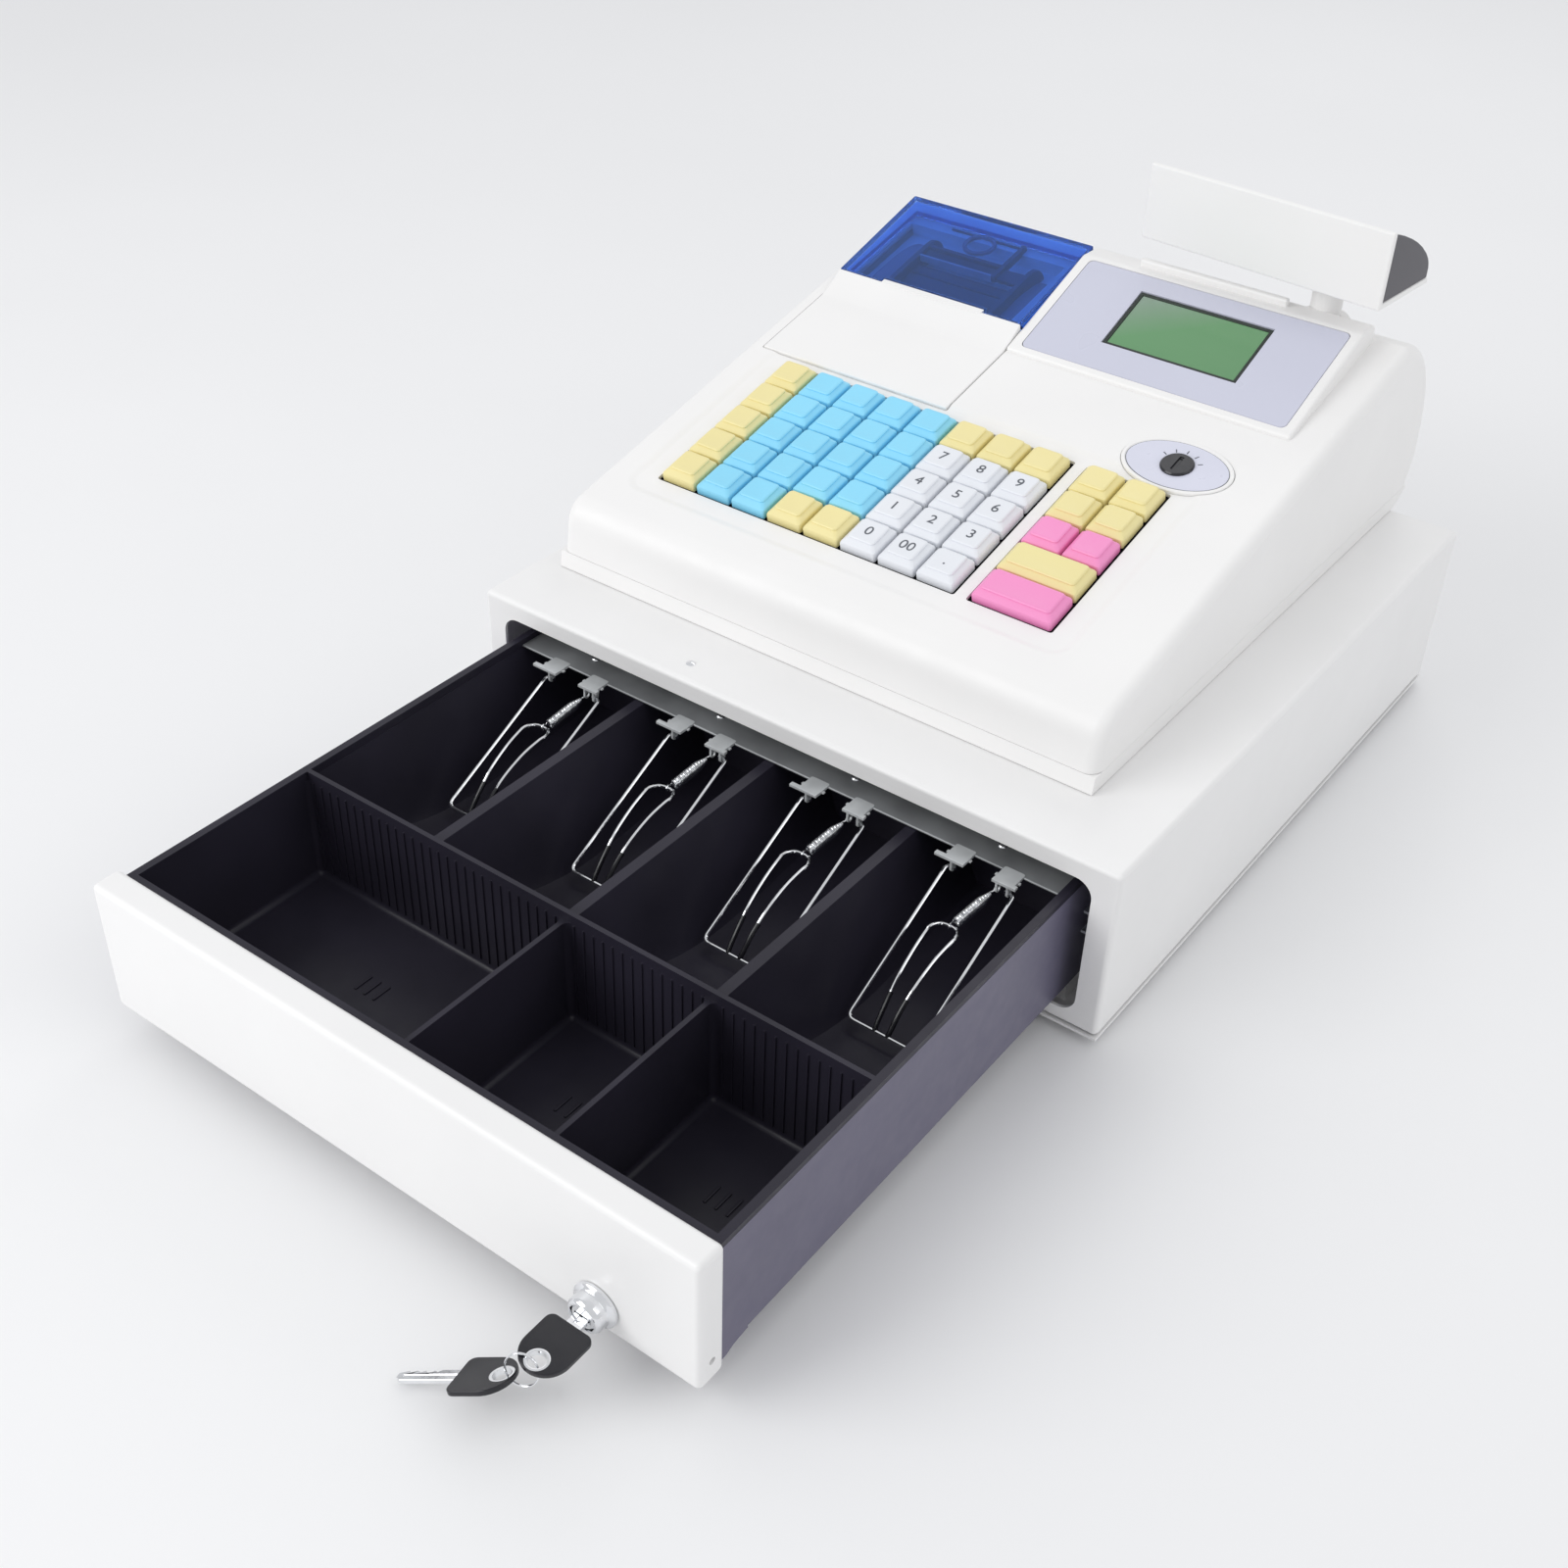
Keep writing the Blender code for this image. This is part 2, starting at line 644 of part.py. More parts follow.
def coin_bays(item):
    """Three bays across the front of the tray."""
    half = TRAY_WIDTH / 2 - TRAY_WALL
    edges = [-half] + [-half + 2 * half * share for share in COIN_SPLIT_SHARES] + [half]
    for i, (left, right) in enumerate(zip(edges, edges[1:])):
        left += TRAY_WALL / 2 if i > 0 else 0.0
        right -= TRAY_WALL / 2 if i + 2 < len(edges) else 0.0
        low = (left, TRAY_FRONT + TRAY_WALL, TRAY_LOW + TRAY_FLOOR)
        cut(item, box_mesh(low, (right, COIN_BACK, TRAY_HIGH + OVERRUN)))


def bill_bay(item, centre):
    """A bay between sloping dividers, whose floor dips towards its middle."""
    start, end = COIN_BACK + TRAY_WALL, TRAY_BACK - TRAY_WALL
    depth = TRAY_HIGH - TRAY_LOW - TRAY_FLOOR
    wide = (BAY_PITCH - DIVIDER_TOP) / 2
    rings = []
    last = len(BILL_FLOOR_RISE_SHARES) - 1
    for i, share in enumerate(BILL_FLOOR_RISE_SHARES):
        y = start + (end - start) * i / last
        floor = TRAY_LOW + TRAY_FLOOR + depth * share
        narrow = wide - DIVIDER_SLOPE * (1 - share)
        rings.append([
            (centre - narrow, y, floor), (centre + narrow, y, floor),
            (centre + wide, y, DIVIDER_HIGH), (centre + wide, y, TRAY_HIGH + OVERRUN),
            (centre - wide, y, TRAY_HIGH + OVERRUN), (centre - wide, y, DIVIDER_HIGH),
        ])
    cut(item, loft_mesh(rings))


def cash_tray(root, slot):
    half = TRAY_WIDTH / 2
    item = add("cash_tray", box_mesh((-half, TRAY_FRONT, TRAY_LOW), (half, TRAY_BACK, TRAY_HIGH)), root, slot)
    rim = PAN_WIDTH / 2
    low = (-rim, PAN_FRONT, TRAY_HIGH - TRAY_RIM_DROP)
    join(item, box_mesh(low, (rim, TRAY_BACK, TRAY_HIGH)))
    inner = half - TRAY_WALL
    ends = ((TRAY_FRONT + TRAY_WALL, COIN_BACK), (COIN_BACK + TRAY_WALL, TRAY_BACK - TRAY_WALL))
    for start, end in ends:
        cut(item, box_mesh((-inner, start, DIVIDER_HIGH), (inner, end, TRAY_HIGH + OVERRUN)))
    coin_bays(item)
    for centre in BAY_CENTRES:
        bill_bay(item, centre)
    return item


def clip_rail(root, slot):
    """The cross rail at the mouth of the casing, with its studs and the brackets of the clips."""
    half = TRAY_WIDTH / 2 - TRAY_WALL - GAP
    low = (-half, RAIL_START, RAIL_LOW)
    item = add("clip_rail", box_mesh(low, (half, RAIL_START + RAIL_DEPTH, RAIL_HIGH)), root, slot)
    for centre in BAY_CENTRES:
        spot = (centre, RAIL_START + RAIL_STUD_SETBACK)
        stud = disc_points(spot, (RAIL_STUD_RADIUS,) * 2, RAIL_STUD_SIDES)
        join(item, prism_mesh(stud, RAIL_LOW + RAIL_THICK / 2, RAIL_HIGH + RAIL_STUD_HEIGHT, axis=2))
        for side in (-1, 1):
            bracket(item, centre, side)
    return item


def bracket(item, centre, side):
    """A tin plate in front of the rail, with an ear for the clip and on one side a tongue for its spring."""
    middle = centre + side * BRACKET_OFFSET
    half = BRACKET_WIDTH / 2
    low = (middle - half, RAIL_START - BRACKET_REACH, RAIL_HIGH - BRACKET_THICK)
    join(item, box_mesh(low, (middle + half, RAIL_START + BRACKET_THICK, RAIL_HIGH)))
    outer = centre + side * (CLIP_HALF_WIDTH - CLIP_TAIL / 2)
    ends = sorted((outer, outer - side * EAR_THICK))
    join(item, ear_mesh(*ends), "ear")
    if side > 0:
        join(item, ear_mesh(middle - half, middle - half + EAR_THICK), "tongue")
    hole = disc_points((CLIP_PIVOT_Y, CLIP_PIVOT_Z), (CLIP_WIRE + GAP,) * 2, 8)
    cut(item, prism_mesh(hole, ends[0] - EAR_THICK / 2, ends[1] + EAR_THICK / 2, axis=0))


def ear_mesh(left, right):
    low = (left, CLIP_PIVOT_Y - EAR_REACH / 2, CLIP_PIVOT_Z - EAR_REACH / 2)
    return box_mesh(low, (right, CLIP_PIVOT_Y + EAR_REACH / 2, RAIL_HIGH - BRACKET_THICK / 2))


def clip_point(centre, across, along, rise=0.0):
    """A point on a clip: across it, along it from its pivot, and out from its plane."""
    angle = math.radians(CLIP_ANGLE)
    y = CLIP_PIVOT_Y - along * math.cos(angle) - rise * math.sin(angle)
    z = CLIP_PIVOT_Z - along * math.sin(angle) + rise * math.cos(angle)
    return (centre + across, y, z)


def clip_frame(root, slot, number, centre):
    half = CLIP_HALF_WIDTH
    side = [(half - CLIP_TAIL, 0.0), (half - CLIP_CORNER / 2, 0.0), (half, CLIP_CORNER / 2)]
    side += [(half, CLIP_LENGTH - CLIP_CORNER), (half - CLIP_CORNER, CLIP_LENGTH)]
    route = side + [(-across, along) for across, along in reversed(side)]
    points = [clip_point(centre, across, along) for across, along in route]
    pivot = (centre, CLIP_PIVOT_Y, CLIP_PIVOT_Z)
    item = add(f"clip_frame_{number}", tube_mesh(points, CLIP_WIRE), root, slot, pivot)
    wide = HAIRPIN_HALF_WIDTH
    middle = (HAIRPIN_LOOP + CLIP_LENGTH) / 2
    leg = [
        (HAIRPIN_TOE, CLIP_LENGTH, 0.0), (HAIRPIN_TOE, CLIP_LENGTH - wide, HAIRPIN_RISE / 2),
        (wide, middle, HAIRPIN_RISE), (wide, HAIRPIN_LOOP + wide, HAIRPIN_RISE / 2),
        (wide / 2, HAIRPIN_LOOP + wide / 4, HAIRPIN_RISE / 4),
    ]
    route = leg + [(-across, along, rise) for across, along, rise in reversed(leg)]
    join(item, tube_mesh([clip_point(centre, *spot) for spot in route], HAIRPIN_WIRE))
    return item


def spring_points(centre):
    """The coil of a clip's spring, from the bracket's tongue to its hook round the hairpin's loop."""
    tongue = BRACKET_OFFSET - BRACKET_WIDTH / 2 - GAP
    points = [clip_point(centre, tongue, 0.0), clip_point(centre, tongue / 2, 0.0)]
    points.append(clip_point(centre, tongue / 4, SPRING_TURN_IN))
    total = SPRING_CURLS * SPRING_STEPS
    for i in range(total + 1):
        turn = 2 * math.pi * i / SPRING_STEPS
        along = SPRING_START + (SPRING_END - SPRING_START) * i / total
        points.append(
            clip_point(centre, SPRING_RADIUS * math.cos(turn), along, SPRING_RADIUS * math.sin(turn))
        )
    loop = (HAIRPIN_LOOP + HAIRPIN_HALF_WIDTH / 4, HAIRPIN_RISE / 4)
    step = 360 / SPRING_STEPS
    reach = (HAIRPIN_WIRE + SPRING_WIRE + GAP) / math.cos(math.radians(step / 2))
    for along, rise in arc(loop, (reach, reach), 180, -step, SPRING_STEPS // 2 + 1):
        points.append(clip_point(centre, 0.0, along, rise))
    return points


def least_gap(points, wire, skip):
    """The least clear gap between stretches of a wire that are more than a few points apart."""
    spots = [Vector(point) for point in points]
    least = min(
        (one - two).length
        for i, one in enumerate(spots)
        for two in spots[i + skip:]
    )
    return least - 2 * wire


def clip_spring(root, slot, number, centre):
    points = spring_points(centre)
    pivot = (centre, CLIP_PIVOT_Y, CLIP_PIVOT_Z)
    add(f"clip_spring_{number}", tube_mesh(points, SPRING_WIRE), root, slot, pivot)
    gap = least_gap(points, SPRING_WIRE, SPRING_STEPS - 1)
    print(f"clip_spring_{number}: least gap between curls {gap * 1000:.2f} mm")


def lock(root, chrome):
    """The lock barrel is fixed in the drawer front, and the plug turns in it with the key."""
    centre = (LOCK_X, LOCK_Z)
    barrel = disc_points(centre, (LOCK_BARREL_RADIUS,) * 2, LOCK_SIDES)
    outer = FRONT_FACE - LOCK_PROUD
    item = add("lock_barrel", prism_mesh(barrel, outer, FRONT_FACE + LOCK_TAIL, axis=1), root, chrome)
    flange = disc_points(centre, (LOCK_FLANGE_RADIUS,) * 2, LOCK_SIDES)
    join(item, prism_mesh(flange, FRONT_FACE - GAP - LOCK_FLANGE_THICK, FRONT_FACE - GAP, axis=1))
    bore = disc_points(centre, (LOCK_PLUG_RADIUS + GAP,) * 2, LOCK_SIDES)
    bottom = FRONT_FACE + LOCK_TAIL - SHEET
    cut(item, prism_mesh(bore, outer - OVERRUN, bottom, axis=1))
    plug = disc_points(centre, (LOCK_PLUG_RADIUS,) * 2, LOCK_SIDES)
    axis_point = (LOCK_X, outer, LOCK_Z)
    face = outer + LOCK_PLUG_RECESS
    turning = add("lock_plug", prism_mesh(plug, face, bottom - GAP, axis=1), root, chrome, axis_point)
    wide, high = KEYWAY_WIDTH / 2, KEYWAY_HEIGHT / 2
    low = (LOCK_X - wide, face - OVERRUN, LOCK_Z - high)
    end = (LOCK_X + wide, face + KEY_BLADE + GAP, LOCK_Z + high)
    cut(turning, box_mesh(low, end))


def bow_mesh():
    """A key's flat bow in x and y, square at its neck, which is the origin, and round at its far end."""
    half = BOW_WIDTH / 2
    near = rounded_points((-half, -BOW_LENGTH), (half, 0.0), BOW_CORNER)
    far = arc((0.0, -BOW_LENGTH + half), (half, half), 180, 360, 8)
    steps = len(near) // 4
    points = near[steps:3 * steps] + far
    return prism_mesh(points, -BOW_THICK / 2, BOW_THICK / 2, axis=2)


def drawer_key(root, slot):
    """The key in the lock, with its bow flat."""
    neck_end = FRONT_FACE - LOCK_PROUD - KEY_NECK
    axis_point = (LOCK_X, neck_end, LOCK_Z)
    mesh = bow_mesh()
    mesh.transform(Matrix.Translation(axis_point))
    item = add("drawer_key", mesh, root, slot, axis_point)
    wide, high = KEY_NECK_WIDTH / 2, KEY_NECK_THICK / 2
    blade_end = FRONT_FACE - LOCK_PROUD + LOCK_PLUG_RECESS + KEY_BLADE
    low = (LOCK_X - wide, neck_end - BOW_CORNER, LOCK_Z - high)
    join(item, box_mesh(low, (LOCK_X + wide, blade_end, LOCK_Z + high)))
    hole = disc_points((LOCK_X, KEY_HOLE_Y), (BOW_HOLE,) * 2, 14)
    cut(item, prism_mesh(hole, LOCK_Z - BOW_THICK, LOCK_Z + BOW_THICK, axis=2))
    return item


def ring_frame():
    """Two directions of the split ring's plane and the point where it hangs in the bow's hole."""
    slope = math.radians(RING_SLOPE)
    across = Vector((-1.0, 0.0, 1.0)).normalized()
    outward = across.cross(Vector((0.0, 1.0, 0.0))) * math.sin(slope)
    if outward.z > 0.0:
        outward.negate()
    outward.y = -math.cos(slope)
    hang = Vector((LOCK_X, KEY_HOLE_Y - RING_HANG, LOCK_Z))
    return across, outward, hang


def key_ring(root, slot):
    across, outward, hang = ring_frame()
    centre = hang + outward * RING_RADIUS
    points = []
    for i in range(RING_STEPS):
        turn = 2 * math.pi * i / RING_STEPS
        points.append(centre + (across * math.sin(turn) - outward * math.cos(turn)) * RING_RADIUS)
    add("key_ring", tube_mesh(points, RING_WIRE, closed=True), root, slot)


def spare_key(root, slot):
    """The spare key hangs on the far side of the ring and leans down to the surface."""
    across, outward, hang = ring_frame()
    heading = Vector(SPARE_HEADING_SHARES).normalized()
    normal = (across - heading * across.dot(heading)).normalized()
    sideways = heading.cross(normal)
    turn = Matrix((sideways, heading, normal)).transposed().to_4x4()
    hole = hang + outward * RING_RADIUS * 2 + heading * SPARE_HANG
    back = Vector((0.0, BOW_LENGTH - BOW_HOLE_INSET, 0.0))
    place = Matrix.Translation(hole) @ turn @ Matrix.Translation(back)
    mesh = bow_mesh()
    mesh.transform(place)
    item = add("spare_key", mesh, root, slot)
    wide, high = SPARE_BLADE_WIDTH / 2, SPARE_BLADE_THICK / 2
    blade = box_mesh((-wide, -BOW_CORNER, -high), (wide, SPARE_BLADE_LENGTH, high))
    blade.transform(place)
    join(item, blade)
    opening = disc_points((0.0, -BOW_LENGTH + BOW_HOLE_INSET), (BOW_HOLE,) * 2, 14)
    cutter = prism_mesh(opening, -BOW_THICK, BOW_THICK, axis=2)
    cutter.transform(place)
    cut(item, cutter)


def profile_points():
    """The side outline of the whole head, anticlockwise in y and z, from the seam's front."""
    run = (DECK_FRONT_Z - BASE_LOW) - HEAD_FRONT_ROUND
    front_top = (HEAD_FRONT + HEAD_FRONT_LEAN * run / HEAD_FRONT_HEIGHT, BASE_LOW + run)
    corner = (HEAD_FRONT + HEAD_FRONT_LEAN, DECK_FRONT_Z + HEAD_FRONT_LEAN * DECK_SLOPE)
    slope = math.radians(DECK_ANGLE)
    reach = (HEAD_FRONT_ROUND * math.cos(slope), HEAD_FRONT_ROUND * math.sin(slope))
    deck_start = (corner[0] + reach[0], corner[1] + reach[1])
    front = []
    for i in range(4):
        share = (i + 1) / 4
        inner = 1 - share
        front.append(tuple(
            inner * inner * a + 2 * inner * share * b + share * share * c
            for a, b, c in zip(front_top, corner, deck_start)
        ))
    back = arc((DECK_END, BULGE_Z), (BACK_BULGE, DECK_END_Z - BULGE_Z), 0, 90, BACK_STEPS)
    tuck = arc((BASE_BACK, BULGE_Z), (BACK_TUCK, BULGE_Z - BASE_LOW), -90, 0, 4)
    return front_top, front, back, tuck


def upper_outline():
    """The upper shell's outline, anticlockwise: the seam, the back, the deck and the front."""
    front_top, front, back, tuck = profile_points()
    low = SEAM + GAP
    above = [point for point in tuck if point[1] > low + GAP]
    before = [point for point in tuck if point[1] <= low + GAP][-1]
    share = (low - before[1]) / (above[0][1] - before[1])
    crossing = (before[0] + share * (above[0][0] - before[0]), low)
    front_y = HEAD_FRONT + HEAD_FRONT_LEAN * (low - BASE_LOW) / HEAD_FRONT_HEIGHT
    return [(front_y, low), crossing] + above + back[1:] + list(reversed(front)) + [front_top]


def lower_outline():
    """The lower shell's outline up to the seam, anticlockwise."""
    _, _, _, tuck = profile_points()
    below = [point for point in tuck if point[1] < SEAM - GAP]
    after = [point for point in tuck if point[1] >= SEAM - GAP][0]
    share = (SEAM - below[-1][1]) / (after[1] - below[-1][1])
    crossing = (below[-1][0] + share * (after[0] - below[-1][0]), SEAM)
    front_y = HEAD_FRONT + HEAD_FRONT_LEAN * HEAD_BASE_HEIGHT / HEAD_FRONT_HEIGHT
    return [(HEAD_FRONT, BASE_LOW)] + below + [crossing, (front_y, SEAM)]


def head_base(root, slot):
    item = add("head_base", prism_mesh(lower_outline(), -HEAD_LEFT, HEAD_RIGHT), root, slot)
    low = (-HEAD_LEFT + PLASTIC, HEAD_FRONT + 2 * PLASTIC, BASE_LOW + PLASTIC)
    cut(item, box_mesh(low, (HEAD_RIGHT - PLASTIC, BASE_BACK - PLASTIC, SEAM + OVERRUN)))
    for side in (-1, 1):
        join(item, printer_rib(ROLL_X + side * RIB_SPREAD), "rib")
    return item


def printer_rib(middle):
    """A rib from the head's floor up to the sloping underside of the printer."""
    slope = math.radians(DECK_ANGLE)
    reach = WELL_START + PRINTER_TOP_DEPTH
    depth = PRINTER_TOP_DEPTH + PRINTER_HEIGHT + GAP
    start = HEAD_FRONT + reach * math.cos(slope) + depth * math.sin(slope) + RIB_THICK
    top = DECK_FRONT_Z + (start - HEAD_FRONT) * DECK_SLOPE - depth / math.cos(slope)
    floor = BASE_LOW + PLASTIC / 2
    end = start + RIB_LENGTH
    outline = [(start, floor), (end, floor), (end, top + RIB_LENGTH * DECK_SLOPE), (start, top)]
    return prism_mesh(outline, middle - RIB_THICK / 2, middle + RIB_THICK / 2)


def shell_blank():
    """The upper shell's outer solid, with round edges along both sides."""
    mesh = prism_mesh(upper_outline(), -HEAD_LEFT, HEAD_RIGHT)
    work = bmesh.new()
    work.from_mesh(mesh)
    low = SEAM + 2 * GAP
    edges = [
        edge for edge in work.edges
        if abs(edge.verts[0].co.x - edge.verts[1].co.x) < GAP
        and max(vert.co.z for vert in edge.verts) > low
    ]
    bmesh.ops.bevel(
        work, geom=edges, offset=HEAD_SIDE_ROUND, offset_type="OFFSET", segments=HEAD_SIDE_SEGMENTS,
        profile=0.5, affect="EDGES", clamp_overlap=True,
    )
    return finished(work)


def wedge_mesh():
    """The raised housing round the display, as an outline across the deck."""
    sunk = -PLASTIC / 2
    points = [
        (WEDGE_START, sunk), (WEDGE_END, sunk), (WEDGE_END, WEDGE_END_STEP),
        (WEDGE_PEAK_START, WEDGE_PEAK), (WEDGE_START, WEDGE_FRONT_STEP),
    ]
    return prism_mesh(points, -WEDGE_LEFT, WEDGE_RIGHT)


def head_shell(root, deck, slot):
    item = add("head_shell", shell_blank(), root, slot)
    wedge = add("wedge", wedge_mesh(), deck)
    boolean(item, wedge, "UNION")
    inner = inset(upper_outline(), PLASTIC)
    inner[0] = (inner[0][0], SEAM - OVERRUN)
    inner[1] = (inner[1][0], SEAM - OVERRUN)
    cut(item, prism_mesh(inner, -HEAD_LEFT + PLASTIC, HEAD_RIGHT - PLASTIC))
    ridge_low = (-RIDGE_LEFT, WEDGE_PEAK_START + RIDGE_WIDTH, WEDGE_END_STEP / 2)
    ridge_high = (RIDGE_LENGTH - RIDGE_LEFT, WEDGE_END - RIDGE_WIDTH, WEDGE_PEAK + RIDGE_HEIGHT)
    boolean(item, add("ridge", box_mesh(ridge_low, ridge_high), deck), "UNION")
    ledge_low = (-WELL_LEFT - LEDGE_WIDTH, WELL_START - LEDGE_WIDTH, -PLASTIC - LEDGE_THICK)
    ledge_high = (WELL_RIGHT + LEDGE_WIDTH, COVER_END + GAP + LEDGE_WIDTH, -PLASTIC / 2)
    boolean(item, add("ledge", box_mesh(ledge_low, ledge_high), deck), "UNION")
    boss = disc_points((POST_FROM_CENTRE, POST_BACK), (BOSS_RADIUS,) * 2, POST_SIDES)
    join(item, prism_mesh(boss, DECK_END_Z - 2 * BOSS_RISE, boss_top(), axis=2))
    socket = disc_points((POST_FROM_CENTRE, POST_BACK), (POST_RADIUS + GAP,) * 2, POST_SIDES)
    cut(item, prism_mesh(socket, DECK_END_Z - BOSS_RISE, DISPLAY_LIFT, axis=2))
    for name, mesh in deck_openings():
        boolean(item, add(name, mesh, deck))
    bore = disc_points((-INLET_FROM_CENTRE, BULGE_Z + INLET_LIFT), (INLET_RADIUS + GAP,) * 2, INLET_SIDES)
    cut(item, prism_mesh(bore, HEAD_BACK - INLET_DEPTH, HEAD_BACK + OVERRUN, axis=1))
    return item


def boss_top():
    return DECK_END_Z + BOSS_RISE


def block_bounds():
    """The outlines of the two key blocks on the deck, as low and high corners."""
    reach = KEY_BASE / 2 + KEY_MARGIN
    low_s = KEY_BACK_ROW - (KEY_ROWS - 1) * KEY_ROW_PITCH - reach
    high_s = KEY_BACK_ROW + reach
    last = -KEY_LEFT + (KEY_COLUMNS - 1) * KEY_PITCH
    right = -KEY_LEFT + KEY_BLOCK_STEP
    main = ((-KEY_LEFT - reach, low_s), (last + reach, high_s))
    side = ((right - reach, low_s), (right + KEY_PITCH + reach, high_s))
    return main, side


def deck_openings():
    """Cutters in the deck's frame for the keys, the printer well, the switch and the display."""
    through = (-PLASTIC - OVERRUN, OVERRUN)
    made = []
    for low, high in block_bounds():
        made.append(("key_opening", box_mesh((*low, through[0]), (*high, through[1]))))
    low = (-WELL_LEFT, WELL_START, -PLASTIC - GAP)
    high = (WELL_RIGHT, COVER_END + GAP, through[1])
    made.append(("printer_opening", box_mesh(low, high)))
    low = (-WELL_LEFT + LEDGE_WIDTH, WELL_START + LEDGE_WIDTH, through[0] - LEDGE_THICK)
    high = (WELL_RIGHT - LEDGE_WIDTH, COVER_END - LEDGE_WIDTH, through[1])
    made.append(("printer_well", box_mesh(low, high)))
    radii = (SWITCH_HALF_WIDTH + GAP, SWITCH_HALF_HEIGHT + GAP)
    oval = disc_points((SWITCH_FROM_CENTRE, SWITCH_UP), radii, SWITCH_SIDES)
    made.append(("switch_recess", prism_mesh(oval, -SWITCH_SUNK - GAP, OVERRUN, axis=2)))
    hole = disc_points((SWITCH_FROM_CENTRE, SWITCH_UP), (ROTOR_SHAFT + GAP,) * 2, ROTOR_SIDES)
    made.append(("switch_hole", prism_mesh(hole, *through, axis=2)))
    made += [("bezel_recess", bezel_shape(GAP, -BEZEL_THICK - GAP, OVERRUN))]
    made += [("lcd_pocket", lcd_shape(GAP, -BEZEL_THICK - LCD_THICK - 2 * GAP, 0.0))]
    return made


def bezel_frame(mesh):
    """Moves a mesh from the bezel's own plane, its lower left corner at the origin, to the deck."""
    run = BEZEL_INSET * math.cos(BEZEL_SLOPE)
    start = Vector((-BEZEL_LEFT, WEDGE_START + run, WEDGE_FRONT_STEP + BEZEL_INSET * math.sin(BEZEL_SLOPE)))
    mesh.transform(Matrix.Translation(start) @ Matrix.Rotation(BEZEL_SLOPE, 4, "X"))
    return mesh


def bezel_shape(grow, low, high):
    points = rounded_points((-grow, -grow), (BEZEL_WIDTH + grow, BEZEL_HEIGHT + grow), BEZEL_CORNER)
    return bezel_frame(prism_mesh(points, low, high, axis=2))


def lcd_shape(grow, low, high):
    left, bottom = LCD_FROM_LEFT - grow, LCD_FROM_BOTTOM - grow
    right = LCD_FROM_LEFT + LCD_WIDTH + grow
    top = LCD_FROM_BOTTOM + LCD_HEIGHT + grow
    return bezel_frame(box_mesh((left, bottom, low), (right, top, high)))


def display(deck, bezel_slot, lcd_slot):
    plate = add("display_bezel", bezel_shape(0.0, -BEZEL_THICK, 0.0), deck, bezel_slot)
    cutter = add("lcd_window", lcd_shape(GAP, -BEZEL_THICK - OVERRUN, OVERRUN), deck)
    boolean(plate, cutter)
    add("lcd_module", lcd_shape(0.0, -BEZEL_THICK - LCD_THICK, -LCD_RECESS), deck, lcd_slot)


def mode_switch(deck, plate_slot, rotor_slot):
    centre = (SWITCH_FROM_CENTRE, SWITCH_UP)
    oval = disc_points(centre, (SWITCH_HALF_WIDTH, SWITCH_HALF_HEIGHT), SWITCH_SIDES)
    plate_mesh = prism_mesh(oval, -SWITCH_SUNK, SWITCH_THICK - SWITCH_SUNK, axis=2)
    plate = add("switch_escutcheon", plate_mesh, deck, plate_slot)
    hole = disc_points(centre, (ROTOR_SHAFT + GAP,) * 2, ROTOR_SIDES)
    cut(plate, prism_mesh(hole, -OVERRUN, OVERRUN, axis=2))
    low = SWITCH_THICK - SWITCH_SUNK + GAP
    axis_point = (*centre, low)
    cap = disc_points(centre, (ROTOR_RADIUS,) * 2, ROTOR_SIDES)
    rotor = add("mode_switch", prism_mesh(cap, low, low + ROTOR_PROUD, axis=2), deck, rotor_slot, axis_point)
    shaft = disc_points(centre, (ROTOR_SHAFT,) * 2, ROTOR_SIDES)
    join(rotor, prism_mesh(shaft, low - ROTOR_DEPTH, low + ROTOR_PROUD / 2, axis=2))
    wide, long = ROTOR_SLOT_WIDTH / 2, ROTOR_SLOT_LENGTH / 2
    slot_low = (centre[0] - wide, centre[1] - long, low + ROTOR_PROUD - ROTOR_SLOT_DEPTH)
    cut(rotor, box_mesh(slot_low, (centre[0] + wide, centre[1] + long, low + OVERRUN)))


def key_place(column, row):
    """The centre of a key on the deck. Columns 8 and 9 are the block on the right."""
    x = -KEY_LEFT + column * KEY_PITCH
    if column >= KEY_COLUMNS:
        x = -KEY_LEFT + KEY_BLOCK_STEP + (column - KEY_COLUMNS) * KEY_PITCH
    return x, KEY_BACK_ROW - row * KEY_ROW_PITCH


def cap_rings(x, s, extra=0.0):
    """A key cap's rings from its skirt to its top, wider by an extra width."""
    base, top = KEY_BASE / 2 - GAP, KEY_TOP / 2
    edge = top - KEY_TOP_ROUND
    levels = (
        (base, KEY_BOTTOM, 0.0), (base, KEY_SKIRT, 0.0),
        (top, KEY_PROUD - KEY_TOP_ROUND, KEY_TOP_SHIFT), (edge, KEY_PROUD, KEY_TOP_SHIFT),
    )
    rings = []
    for half, height, shift in levels:
        wide = half + extra / 2
        rings.append([
            (x - wide, s - half + shift, height), (x + wide, s - half + shift, height),
            (x + wide, s + half + shift, height), (x - wide, s + half + shift, height),
        ])
    return rings


def moving_key(name, deck, slot, column, row, extra=0.0):
    x, s = key_place(column, row)
    x += extra / 2
    item = add(name, loft_mesh(cap_rings(x, s, extra)), deck, slot, (x, s, KEY_BOTTOM))
    half = KEY_STEM / 2
    low = (x - half, s - half, PLATE_TOP - SOCKET_DEPTH + KEY_TRAVEL + GAP)
    join(item, box_mesh(low, (x + half, s + half, KEY_BOTTOM + KEY_SKIRT)))
    return item


